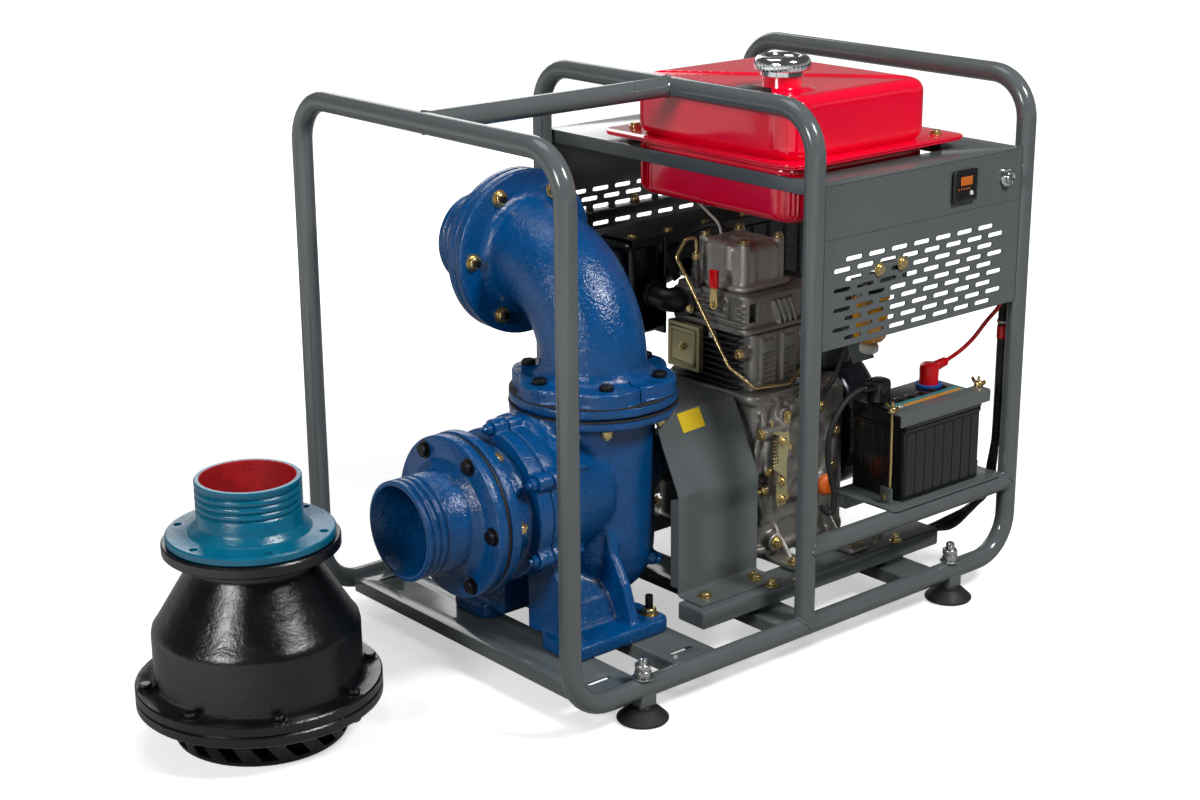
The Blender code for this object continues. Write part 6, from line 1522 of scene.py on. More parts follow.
# ---- engine ---------------------------------------------------------------------------------
class PUMPSET_OT_crankcase(bpy.types.Operator):
    """Casts the crankcase: walls, arched ribs, gear cover, bosses and feet"""
    bl_idname = "pump_set.crankcase"
    bl_label = "Crankcase"

    def execute(self, context):
        cy, cz = SHAFT.y, SHAFT.z
        x0, x1 = low("crankcase").x, high("crankcase").x
        near, far = cy - CASE_HALF, cy + CASE_HALF
        floor, top = low("crankcase").z, low("cylinder").z - GAP
        wall = slab("crankcase_casting", rounded_box(x0 + 0.012, x1, near + 0.004, far, 0.03,
            floor + 0.004, 8), (0, 0, top - floor - 0.016))
        deck = slab("deck", rounded_box(x0 + 0.006, x1 - 0.01, near + 0.012, far - 0.02, 0.02,
            top - 0.014), (0, 0, 0.014))
        sump = slab("sump", rounded_box(x0 + 0.004, x1 - 0.004, near - 0.002, far + 0.002, 0.026,
            floor + 0.014), (0, 0, 0.012))
        front = turned("bearing_cover", [(0, 0.016), (0.03, 0.016), (0.034, 0.01), (0.076, 0.009),
            (0.094, 0.012), (0.1, 0.008), (0.102, -0.02), (0, -0.02)], (x0 + 0.014, cy, cz), -X,
            72)
        gear_x = x0 + 0.098
        gear = turned("gear_cover", [(0, 0.014), (0.046, 0.014), (0.052, 0.0105), (0.062, 0.01),
            (0.068, 0.014), (0.078, 0.014), (0.0825, 0.01), (0.083, 0), (0, 0)],
            (gear_x, near + 0.002, cz), -Y, 80)
        parts = [deck, sump, front, gear]
        hub = at(gear_x, near - 0.002, cz)
        cover_ring = ring_of(hub, -Y, 0.0785, 8, 0.25)
        rods = [(p + Y * 0.02, p - Y * 0.0115, 0.0088, 20) for p in cover_ring]
        inner, outer = hub - Y * 0.0095, hub - Y * 0.006
        rods += [(foot, tip, 0.0032, 10) for foot, tip in zip(
            ring_of(inner, -Y, 0.024, 6, 0.1), ring_of(outer, -Y, 0.062, 6, 0.1))]
        for shift, r in ((0.0, 0.0062), (0.015, 0.005), (0.029, 0.0042)):
            path = [at(x0 + 0.05 + shift, near + 0.018, top - 0.006),
                at(x0 + 0.024 + shift, near + 0.004, top - 0.04), at(x0 + 0.008 + shift,
                near + 0.003, top - 0.085), at(x0 + 0.006 + shift * 1.1, near + 0.004, cz),
                at(x0 + 0.014 + shift, near + 0.005, cz - 0.06), at(x0 + 0.034 + shift,
                near + 0.008, cz - 0.112)]
            parts.append(wire("arch", path, r, 3))
        rods += [((x0 + 0.02, near + 0.006, z), (x1 - 0.03, near + 0.006, z), 0.0042, 12)
            for z in (top - 0.03, top - 0.058, cz - 0.085, cz - 0.112)]
        rods += [((x0 + x, near + 0.006, cz + 0.08), (x0 + x, near + 0.01, top - 0.01), 0.0048, 12)
            for x in (0.06, 0.15, 0.195)]
        rods += [((x0 + x, far - 0.006, floor + 0.03), (x0 + x, far - 0.006, top - 0.02), 0.006,
            12) for x in (0.03, 0.08, 0.14, 0.195)]
        rods += [((x0 + 0.02, far - 0.006, floor + z), (x1 - 0.02, far - 0.006, floor + z), 0.0048,
            12) for z in (0.08, 0.15, 0.22)]
        parts.append(block("injection_pump_seat", (0.374, near - 0.002, top - 0.05),
            (0.432, near + 0.056, top - 0.002), 0.008, 3))
        boss = at(x0 + 0.004, near - 0.012, cz + 0.048)
        pivot = pivot_of("throttle_swing")
        oil = pivot_of("oil_cap_turn")
        rods += [(boss, boss + X * 0.06, 0.0105, 24), ((x0 + 0.014, near - 0.008, cz - 0.05),
            (x0 + 0.06, near - 0.004, cz - 0.05), 0.009, 24), ((x0 + 0.042, near - 0.012,
            floor + 0.034), (x0 + 0.046, near + 0.03, floor + 0.034), 0.015, 24),
            ((pivot.x, near - 0.0135, pivot.z), (pivot.x, near + 0.02, pivot.z), 0.012, 28),
            ((oil.x, oil.y + 0.0003, oil.z), (oil.x, near + 0.03, oil.z), 0.015, 32)]
        parts += [rod("boss", *shape) for shape in rods]
        reach = middle("near_bed_beam").y
        beam_far = middle("far_bed_beam").y
        for x in (x0 + 0.052, x1 - 0.052):
            parts.append(block("foot", (x - 0.022, reach - 0.021, floor),
                (x + 0.022, beam_far + 0.021, floor + 0.0115), 0.004, 2))
            for y, side in ((reach, 1), (beam_far, -1)):
                inner = near + 0.004 if side > 0 else far - 0.004
                parts.append(slab("gusset", [(x - 0.004, y + side * 0.012, floor + 0.01),
                    (x - 0.004, inner + side * 0.01, floor + 0.01),
                    (x - 0.004, inner + side * 0.01, floor + 0.07),
                    (x - 0.004, inner, floor + 0.066)], (0.008, 0, 0)))
        case = melt(joined(wall, *parts), 0.003, 3)
        bore = rod("bore", at(x0 - 0.03, cy, cz), at(x1 + 0.03, cy, cz), 0.0156, 24)
        under = block("under", (x0 - 0.05, reach - 0.1, floor - 0.05),
            (x1 + 0.05, beam_far + 0.1, floor))
        carve(case, bore, under)
        finished(case, "cast_aluminium", stands_for="crankcase", angle=60)
        # The lever sweeps over the bolts nearest its pivot, so those are left out.
        heads = [p - Y * 0.0115 for p in cover_ring if hypot(p.x - pivot.x, p.z - pivot.z) > 0.076]
        bolts("gear_cover_bolts", heads, -Y, 0.0072, 0.0052)
        bolts("side_boss_bolt", [boss], -X, 0.0084, 0.006)
        long = rod("governor_stop", at(x0 - 0.006, near - 0.01, cz - 0.05),
            at(x0 + 0.03, near - 0.008, cz - 0.05), 0.0038, 20, 0.0008)
        finished(long, "yellow_zinc_steel")
        bolts("governor_stop_nuts", [at(x0 + 0.014, near - 0.0095, cz - 0.05)], -X, 0.0078, 0.006)
        bolts("drain_bolt", [at(x0 + 0.042, near - 0.0125, floor + 0.034)], -Y, 0.0095, 0.007)
        feet = [at(x + dx, y, floor + 0.0118) for x in (x0 + 0.052, x1 - 0.052)
            for dx in (-0.012, 0.012) for y in (reach, beam_far)]
        bolts("engine_foot_bolts", feet, Z, 0.009, 0.0066, stud=0.005)
        return {'FINISHED'}


class PUMPSET_OT_cylinder(bpy.types.Operator):
    """Fins the cylinder and casts the cover with louvres over its near side"""
    bl_idname = "pump_set.cylinder"
    bl_label = "Cylinder"

    def execute(self, context):
        a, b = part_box("cylinder")
        count = 9
        fins = [slab("fin", rounded_box(a.x, b.x, a.y + 0.02, b.y, 0.016,
            a.z + 0.006 + i * (b.z - a.z - 0.012) / (count - 1) - 0.0013, 4), (0, 0, 0.0026))
            for i in range(count)]
        barrel = slab("barrel", rounded_box(a.x + 0.013, b.x - 0.013, a.y + 0.012, b.y - 0.012,
            0.034, a.z, 6), (0, 0, b.z - a.z))
        finished(soften(joined(barrel, *fins), 0.0007, 1, 60), "stove_enamel",
            stands_for="cylinder")
        cover = slab("cylinder_cover", rounded_box(a.x + 0.016, b.x - 0.006, a.y + 0.0006,
            a.y + 0.04, 0.01, a.z + 0.0004, 5), (0, 0, b.z - a.z - 0.0008))
        parts = []
        for column in (0.052, 0.1):
            x = a.x + column
            for i in range(9):
                z = a.z + 0.014 + i * 0.0085
                parts.append(block("louvre", (x - 0.012, a.y - 0.0028, z - 0.0018),
                    (x + 0.012, a.y + 0.01, z + 0.0018)))
            for dx in (-0.015, 0.015):
                parts.append(rod("edge", at(x + dx, a.y + 0.0005, a.z + 0.008),
                    at(x + dx, a.y + 0.0005, b.z - 0.006), 0.0028, 10))
        parts.append(rod("tunnel", at(a.x + 0.148, a.y + 0.01, a.z + 0.002),
            at(a.x + 0.138, a.y + 0.008, b.z - 0.002), 0.0135, 24))
        boss = at(a.x - 0.001, a.y + 0.012, a.z + 0.066)
        parts.append(rod("boss", boss, boss + X * 0.034, 0.0095, 24))
        cover = melt(joined(cover, *parts), 0.0021, 2)
        finished(cover, "cast_aluminium", angle=60)
        bolts("cylinder_cover_bolt", [boss], -X, 0.0078, 0.0058)
        sockets = [at(a.x + 0.034, a.y + 0.002, a.z + 0.01), at(a.x + 0.128, a.y + 0.002,
            a.z + 0.01), at(a.x + 0.128, a.y + 0.002, b.z - 0.012)]
        bolts("cylinder_cover_screws", sockets, -Y, 0.006, 0.005, "clear_zinc_steel")
        # Folded zinc plate over the fins, dished, with one bolt in the middle.
        px = a.x - 0.0095
        plate = block("fin_cover_plate", (px, -0.04, 0.3985), (px + 0.0016, 0.034, 0.475), 0.0006,
            1)
        dish = block("dish", (px - 0.0028, -0.0335, 0.405), (px + 0.0008, 0.0275, 0.4685), 0.0034,
            4)
        pan = block("pan", (px - 0.006, -0.0285, 0.41), (px - 0.0016, 0.0225, 0.4635), 0.002, 3)
        carve(dish, pan)
        lip_a = block("lip", (px, -0.04, 0.4738), (px + 0.011, 0.034, 0.4754), 0.0005, 1)
        lip_b = block("lip", (px, -0.0404, 0.3985), (px + 0.011, -0.0388, 0.475), 0.0005, 1)
        finished(joined(plate, dish, lip_a, lip_b), "yellow_zinc_plate")
        bolts("fin_cover_bolt", [at(px - 0.0014, -0.004, 0.4369)], -X, 0.0062, 0.005, stud=0.002)
        return {'FINISHED'}


class PUMPSET_OT_cylinder_head(bpy.types.Operator):
    """Casts the head with its windows and ribs, and the rocker cover with its bolts"""
    bl_idname = "pump_set.cylinder_head"
    bl_label = "Cylinder head"

    def execute(self, context):
        a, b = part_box("cylinder_head")
        a = at(high("decompression_lever").x + 0.0085, a.y, a.z)
        top = HEAD_TOP
        core = slab("cylinder_head_casting", rounded_box(a.x + 0.008, b.x - 0.006, a.y + 0.008,
            b.y - 0.004, 0.014, a.z + 0.002, 5), (0, 0, top - a.z - 0.004))
        parts = [slab("lower_flange", rounded_box(a.x + 0.001, b.x, a.y + 0.001, b.y, 0.016, a.z,
            5), (0, 0, 0.009)), slab("upper_flange", rounded_box(a.x + 0.006, b.x - 0.024,
            a.y + 0.01, b.y - 0.006, 0.014, top - 0.008, 5), (0, 0, 0.008))]
        for i in range(4):
            x = a.x + 0.068 + i * 0.012
            parts.append(rod("louvre", at(x, a.y + 0.006, top - 0.014),
                at(x + 0.012, a.y + 0.003, a.z + 0.01), 0.0036, 12, tip=0.0024))
        for i in range(4):
            z = a.z + 0.016 + i * 0.0085
            for x, y0, y1 in ((a.x + 0.002, 0.012, 0.012), (b.x - 0.03, 0.016, 0.01)):
                parts.append(block("fin", (x, a.y + y0, z), (x + 0.028, b.y - y1, z + 0.003)))
        pivot = pivot_of("decompression_lift")
        parts.append(rod("decompression_boss", at(pivot.x + 0.0006, pivot.y, pivot.z),
            at(pivot.x + 0.03, pivot.y, pivot.z), 0.0085, 24))
        parts.append(rod("injector_boss", at(INJECTOR.x + 0.004, INJECTOR.y, top - 0.012),
            at(INJECTOR.x, INJECTOR.y, b.z - 0.0005), 0.007, 20))
        parts.append(block("port_pad", (a.x + 0.001, 0.0, a.z + 0.012),
            (a.x + 0.02, 0.036, top - 0.008), 0.003, 2))
        head = melt(joined(core, *parts), 0.0021, 2)
        windows = ((a.x - 0.01, a.x + 0.014, 0.03, 0.05), (a.x + 0.016, a.x + 0.034, -0.01, 0.024),
            (b.x - 0.048, b.x - 0.026, -0.01, 0.024))
        carve(head, *[block("window", (x0, a.y + y0, a.z + 0.0185), (x1, a.y + y1, top - 0.012))
            for x0, x1, y0, y1 in windows])
        finished(head, "cast_aluminium", stands_for="cylinder_head", angle=60)
        a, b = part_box("rocker_cover")
        shell = pressed("rocker_cover_casting", a.x + 0.005, b.x - 0.005, a.y + 0.005, b.y - 0.005,
            a.z, b.z - 0.0035, 0.024, 0.013, 0.007, a.z)
        flange = slab("flange", rounded_box(a.x, b.x, a.y, b.y, 0.022, a.z, 6), (0, 0, 0.0085))
        parts = [shell, flange]
        corners = [at(x, y, 0) for x in (a.x + 0.02, b.x - 0.02) for y in (a.y + 0.02, b.y - 0.02)]
        for p in corners:
            parts.append(rod("pillar", p + Z * (a.z + 0.004), p + Z * (b.z - 0.001), 0.0095, 24))
        nose = at(a.x + 0.014, a.y + 0.046, 0)
        parts.append(rod("nose", nose + Z * (a.z + 0.03), nose + Z * (b.z - 0.006), 0.008, 20))
        crown = at(*middle("rocker_cover").xy, b.z)
        parts.append(rod("breather", crown - Z * 0.012, crown, 0.018, 36))
        cover = melt(joined(*parts), 0.002, 3)
        finished(cover, "die_cast_aluminium", stands_for="rocker_cover", angle=60)
        bolts("rocker_cover_bolts", [p + Z * (b.z - 0.0006) for p in corners], Z, 0.007, 0.0058)
        hose = wire("breather_hose", [at(b.x - 0.03, b.y - 0.01, b.z - 0.018),
            at(b.x - 0.026, b.y + 0.03, b.z - 0.004), at(b.x - 0.06, b.y + 0.062, b.z - 0.02),
            at(a.x - 0.01, b.y + 0.07, b.z - 0.036)], 0.0052, 5)
        finished(hose, "moulded_rubber")
        return {'FINISHED'}


class PUMPSET_OT_levers(bpy.types.Operator):
    """Cuts the decompression and throttle levers, the oil cap and the governor plate"""
    bl_idname = "pump_set.levers"
    bl_label = "Levers, oil cap and governor"

    def execute(self, context):
        a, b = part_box("decompression_lever")
        pivot = pivot_of("decompression_lift")
        mid = (a.x + b.x) / 2
        outline = [(pivot.y + 0.0085 * cos(pi + pi * i / 10),
            pivot.z + 0.0085 * sin(pi + pi * i / 10)) for i in range(11)]
        outline += [(pivot.y + 0.006, b.z - 0.012), (pivot.y - 0.006, b.z - 0.012)]
        arm = slab("decompression_arm", [at(mid - 0.0015, y, z) for y, z in outline],
            (0.003, 0, 0))
        hub = rod("hub", at(mid - 0.0035, pivot.y, pivot.z), at(mid + 0.0045, pivot.y, pivot.z),
            0.0055, 6, 0.0006)
        finished(soften(joined(arm, hub), 0.0004, 1, 50), "yellow_zinc_steel",
            body="decompression_lever", stands_for="decompression_lever")
        grip = slab("decompression_grip", rounded_box(a.x + 0.0005, b.x - 0.0005, a.y + 0.0004,
            b.y - 0.0004, 0.004, b.z - 0.031, 5), (0, 0, 0.03))
        soften(grip, 0.0022, 3, 60)
        finished(grip, "red_silicone", body="decompression_lever")
        a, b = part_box("throttle_lever")
        pivot = pivot_of("throttle_swing")
        near = b.y
        outline = [(pivot.x + 0.0078 * cos(pi * i / 12), pivot.z + 0.0078 * sin(pi * i / 12))
            for i in range(13)]
        arm = slab("throttle_arm", upright(near - 0.003, *outline, (pivot.x - 0.0045, a.z + 0.006),
            (pivot.x, a.z + 0.001), (pivot.x + 0.0045, a.z + 0.006)), (0, 0.0028, 0))
        knob = rod("knob", at(pivot.x, near - 0.0026, a.z + 0.01),
            at(pivot.x, a.y + 0.0002, a.z + 0.01), 0.0056, 28, 0.001)
        nut = rod("nut", at(pivot.x, near - 0.0026, pivot.z), at(pivot.x, near - 0.008, pivot.z),
            0.0072, 6, 0.0005)
        finished(soften(joined(arm, knob, nut), 0.0003, 1, 60), "yellow_zinc_steel",
            body="throttle_lever", stands_for="throttle_lever")
        a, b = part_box("oil_cap")
        oil = pivot_of("oil_cap_turn")
        cap = turned("oil_filler_cap", [(0, 0.012), (0.0125, 0.012), (0.015, 0.0108),
            (0.0172, 0.008), (0.018, 0.0055), (0.018, 0.0008), (0.0172, 0), (0, 0)],
            at(oil.x, b.y, oil.z), -Y, 60)
        flutes = [rod("flute", p + Y * 0.01, p - Y * 0.0085, 0.0021, 12)
            for p in ring_of(at(oil.x, b.y, oil.z), Y, 0.0192, 16)]
        carve(cap, joined(*flutes))
        grip = block("grip", (oil.x - 0.003, a.y, oil.z - 0.0125),
            (oil.x + 0.003, b.y - 0.01, oil.z + 0.0125), 0.0022, 3)
        finished(joined(cap, grip), "orange_nylon", body="oil_cap", stands_for="oil_cap")
        near = SHAFT.y - CASE_HALF
        plate = slab("governor_plate", upright(near - 0.033, (0.279, 0.328), (0.3, 0.33),
            (0.301, 0.312), (0.296, 0.27), (0.299, 0.23), (0.296, 0.208), (0.278, 0.205),
            (0.274, 0.225), (0.279, 0.26), (0.276, 0.3)), (0, 0.002, 0))
        rim = folded("governor_rim", [at(0.275, near - 0.032, 0.328),
            at(0.275, near - 0.004, 0.328)], (0.014, 0, 0.0012), 0.0018, 0.0003)
        arm = slab("governor_arm", upright(near - 0.037, (0.262, 0.276), (0.268, 0.286),
            (0.292, 0.264), (0.29, 0.254)), (0, 0.0018, 0))
        finished(joined(plate, rim, arm), "yellow_zinc_plate")
        spring = wire("governor_spring", [at(0.2655 + 0.0036 * cos(i * 1.3),
            near - 0.037 + 0.0036 * sin(i * 1.3), 0.278 + i * 0.0012) for i in range(40)], 0.0007,
            2)
        finished(spring, "yellow_zinc_steel")
        bolts("governor_bolts", [at(0.286, near - 0.0334, z) for z in (0.316, 0.248, 0.218)], -Y,
            0.0062, 0.0048, stud=0.003)
        stop = rod("throttle_stop", at(0.283, near - 0.012, 0.329), at(0.283, near - 0.012, 0.347),
            0.0026, 16, 0.0006)
        finished(stop, "yellow_zinc_steel")
        return {'FINISHED'}


class PUMPSET_OT_fuel_lines(bpy.types.Operator):
    """Bends the injection pipe, the pump's fittings and the fuel hoses"""
    bl_idname = "pump_set.fuel_lines"
    bl_label = "Injection pump and fuel lines"

    def execute(self, context):
        deck = low("cylinder").z
        side = SHAFT.y - 0.104
        front = high("decompression_lever").x - 0.0035
        px, py = FRONT_X + 0.65, SHAFT.y - 0.101
        cyl_top = low("cylinder_head").z
        union = HEAD_TOP + 0.044
        pipe = bent_tube("injection_pipe_bent", [at(px, py, deck + 0.012),
            at(px, py, deck + 0.034), at(FRONT_X + 0.6, side - 0.006, deck + 0.007),
            at(FRONT_X + 0.528, side, deck + 0.013), at(front - 0.006, side + 0.034,
            deck + 0.046), at(front - 0.016, SHAFT.y + 0.022, cyl_top + 0.086),
            at(front - 0.022, SHAFT.y + 0.038, cyl_top + 0.114), at(front - 0.004, SHAFT.y + 0.036,
            union + 0.034), at(INJECTOR.x - 0.001, INJECTOR.y, union + 0.04),
            at(INJECTOR.x, INJECTOR.y, union + 0.01)], 0.0029, 0.008, 14, 6)
        finished(pipe, "yellow_zinc_steel", stands_for="injection_pipe")
        bolts("injection_union_nuts", [at(INJECTOR.x, INJECTOR.y, union)], Z, 0.0072, 0.012,
            washer=False)
        holder = turned("injector_holder", [(0, 0), (0.012, 0), (0.012, 0.01), (0.0088, 0.012),
            (0.0084, 0.03), (0.0062, 0.032), (0.006, 0.0445), (0, 0.0445)],
            at(INJECTOR.x, INJECTOR.y, HEAD_TOP - 0.001), Z, 36)
        finished(holder, "machined_iron")
        clip = block("pipe_clip", (front - 0.0115, SHAFT.y - 0.036, deck + 0.088),
            (front - 0.001, SHAFT.y - 0.028, deck + 0.098), 0.0012, 1)
        finished(clip, "clear_zinc_steel")
        body = turned("injection_pump", [(0, 0.03), (0.006, 0.03), (0.0068, 0.025), (0.01, 0.024),
            (0.0105, 0.014), (0.015, 0.0125), (0.016, 0.01), (0.016, 0.0006), (0, 0.0006)],
            at(px, py, deck - 0.004), Z, 48)
        finished(body, "machined_iron")
        flange = slab("injection_pump_flange", lobed(at(px, py, 0), 0.0245, 0.0155, 2, 0.0,
            deck - 0.004, 48), (0, 0, 0.0055))
        finished(soften(flange, 0.0008, 1, 60), "machined_iron")
        bolts("injection_pump_nuts", [at(px - 0.0195, py, deck + 0.0016),
            at(px + 0.0195, py, deck + 0.0016)], Z, 0.0064, 0.006, "clear_zinc_steel", stud=0.004)
        for i, (x, z) in enumerate(((px - 0.034, deck - 0.006), (px - 0.044, deck - 0.02))):
            stub = turned(f"fuel_union_{i}", [(0, 0.016), (0.004, 0.016), (0.0046, 0.012),
                (0.0078, 0.011), (0.0082, 0.006), (0.0086, 0), (0, 0)], at(x, SHAFT.y - 0.124, z),
                -Y, 32)
            finished(stub, "clear_zinc_steel")
        black = wire("fuel_hose", [*steps_from(at(px, SHAFT.y, deck), (-0.034, -0.138, -0.006),
            (-0.03, -0.152, -0.008), (-0.006, -0.156, 0.004), (0.01, -0.168, 0.05),
            (-0.006, -0.205, 0.14)), at(middle("drain_knob").x - 0.034, middle("drain_knob").y,
            RAIL_Z + 0.5215)], 0.0042, 5)
        finished(black, "moulded_rubber")
        tank = low("tank_lower").z
        white = wire("return_hose", [*steps_from(INJECTOR, (0.078, 0.022, 0.06),
            (0.074, 0.024, 0.085), (0.058, 0.034, 0.108)), at(INJECTOR.x + 0.03, INJECTOR.y + 0.05,
            tank + 0.002)], 0.0024, 5)
        finished(white, "white_nylon")
        return {'FINISHED'}


class PUMPSET_OT_intake(bpy.types.Operator):
    """Moulds the air cleaner and its elbow, and rolls the muffler with its shield"""
    bl_idname = "pump_set.intake"
    bl_label = "Air cleaner and muffler"

    def execute(self, context):
        a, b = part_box("air_cleaner")
        wide = a.x + 0.085
        box_y = b.y - 0.13
        shell = block("air_cleaner_case", (a.x, box_y, a.z), (wide - 0.006, b.y, b.z), 0.016, 6)
        seam = block("seam", (wide - 0.0075, box_y - 0.004, a.z - 0.003),
            (wide - 0.0015, b.y + 0.002, b.z + 0.0015), 0.0022, 3)
        back = block("back", (wide - 0.003, box_y + 0.006, a.z + 0.008),
            (wide + 0.01, b.y - 0.006, b.z - 0.008), 0.006, 4)
        finished(joined(shell, seam, back), "black_polypropylene", stands_for="air_cleaner")
        # The long canister behind the head, with its roof plate, screws and diagonal stay.
        start_x, end_x = wide + 0.009, low("muffler").x + 0.004
        r = 0.046
        drum = turned("canister", [(0, 0), (r * 0.86, 0), (r * 0.97, 0.004), (r, 0.01),
            (r, end_x - start_x - 0.01), (r * 0.97, end_x - start_x - 0.004),
            (r * 0.86, end_x - start_x), (0, end_x - start_x)], at(start_x, box_y + 0.056, 0.552),
            X, 72)
        finished(drum, "stove_enamel", wear=False)
        roof = block("canister_roof", (a.x + 0.012, box_y + 0.002, b.z + 0.0035),
            (0.626, box_y + 0.104, b.z + 0.0055), 0.0008, 1)
        lip = block("lip", (a.x + 0.012, box_y + 0.002, b.z - 0.012),
            (0.626, box_y + 0.0036, b.z + 0.0055), 0.0006, 1)
        apron = block("apron", (0.426, box_y + 0.002, b.z - 0.16),
            (0.626, box_y + 0.0036, b.z - 0.008), 0.0006, 1)
        ribs = [rod("rib", at(x, box_y + 0.001, b.z - 0.15), at(x, box_y + 0.001, b.z - 0.014),
            0.0034, 12) for x in (0.45, 0.49, 0.53, 0.57, 0.606)]
        finished(joined(roof, lip, apron, *ribs), "stove_enamel")
        bolts("canister_roof_bolts", [at(x, box_y + 0.016, b.z + 0.0057)
            for x in (0.226, 0.306, 0.392, 0.48)], Z, 0.0066, 0.005)
        stay = slab("canister_stay", upright(box_y + 0.003, (0.27, b.z - 0.01),
            (0.286, b.z - 0.012), (0.324, b.z - 0.074), (0.309, b.z - 0.08)), (0, 0.0022, 0))
        finished(soften(stay, 0.0005, 1), "powder_coated_steel")
        elbow = bent_tube("intake_elbow", [at(0.251, box_y + 0.01, 0.512), at(0.251, 0.018, 0.508),
            at(0.286, 0.018, 0.506)], 0.0195, 0.022, 36, 10)
        ring = turned("ring", [(0.019, 0), (0.0228, 0.0006), (0.0232, 0.003), (0.0232, 0.008),
            (0.0226, 0.0104), (0.019, 0.011), (0.019, 0)], at(0.251, box_y - 0.016, 0.5125), Y, 40)
        outline = []
        for i in range(28):
            t = 2 * pi * i / 28
            waist = 1.0 if abs(cos(t)) > 0.5 else 0.9
            outline.append(at(0.2655, 0.018 + 0.036 * cos(t) * waist, 0.506 + 0.024 * sin(t)))
        plate = slab("plate", outline, (0.006, 0, 0))
        finished(soften(joined(elbow, ring, plate), 0.001, 1, 60), "stove_enamel")
        bolts("intake_elbow_bolts", [at(0.2652, 0.018 - 0.029, 0.5),
            at(0.2652, 0.018 + 0.029, 0.512)], -X, 0.0064, 0.005)
        a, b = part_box("muffler")
        cy, cz, r = b.y - 0.05, b.z - 0.05, 0.05
        drum = turned("muffler_drum", [(0, 0), (r * 0.8, 0.0004), (r * 0.93, 0.004),
            (r * 0.99, 0.0095), (r, 0.013), (r, 0.0165), (r * 0.975, 0.0185), (r * 0.975, 0.1815),
            (r, 0.1835), (r, 0.187), (r * 0.99, 0.1905), (r * 0.93, 0.196), (r * 0.8, 0.1996),
            (0, 0.2)], at(a.x, cy, cz), X, 72)
        straps = [turned("strap", [(r * 0.97, 0), (r, 0), (r, 0.014), (r * 0.97, 0.014),
            (r * 0.97, 0)], at(x, cy, cz), X, 64) for x in (a.x + 0.05, a.x + 0.136)]
        port = at(FRONT_X + 0.625, high("cylinder_head").y, low("cylinder_head").z + 0.038)
        pipe = bent_tube("exhaust", [port - Y * 0.002, port + Y * 0.04,
            port + at(0, 0.085, 0.032)], 0.015, 0.03, 32, 8)
        collar = turned("collar", [(0, 0.0085), (0.025, 0.0085), (0.0262, 0.007), (0.0262, 0),
            (0, 0)], port + Y * 0.0003, Y, 40)
        finished(joined(drum, pipe, collar, *straps), "stove_enamel", stands_for="muffler")
        spout = turned("exhaust_spout", [(0.012, 0.0), (0.014, 0.0), (0.014, 0.03), (0.012, 0.03),
            (0.012, 0.0)], at(a.x + 0.18, cy + r * 0.2, cz - r * 0.9),
            at(0, 0.35, -1).normalized(), 32)
        finished(spout, "stove_enamel")
        shield = folded("heat_shield", with_bends([at(a.x + 0.006, cy - 0.048, b.z - 0.04),
            at(a.x + 0.006, cy - 0.046, b.z - 0.0035), at(a.x + 0.006, cy + 0.034, b.z - 0.0035),
            at(a.x + 0.006, cy + 0.046, b.z - 0.03)], 0.018), (0.186, 0, 0), 0.0016, 0.0003)
        slots = [block("slot", (a.x + 0.02 + i * 0.03, cy - 0.03, b.z - 0.01),
            (a.x + 0.034 + i * 0.03, cy + 0.02, b.z + 0.01), 0.004, 2) for i in range(6)]
        carve(shield, *slots, solver='EXACT')
        finished(shield, "stove_enamel")
        return {'FINISHED'}


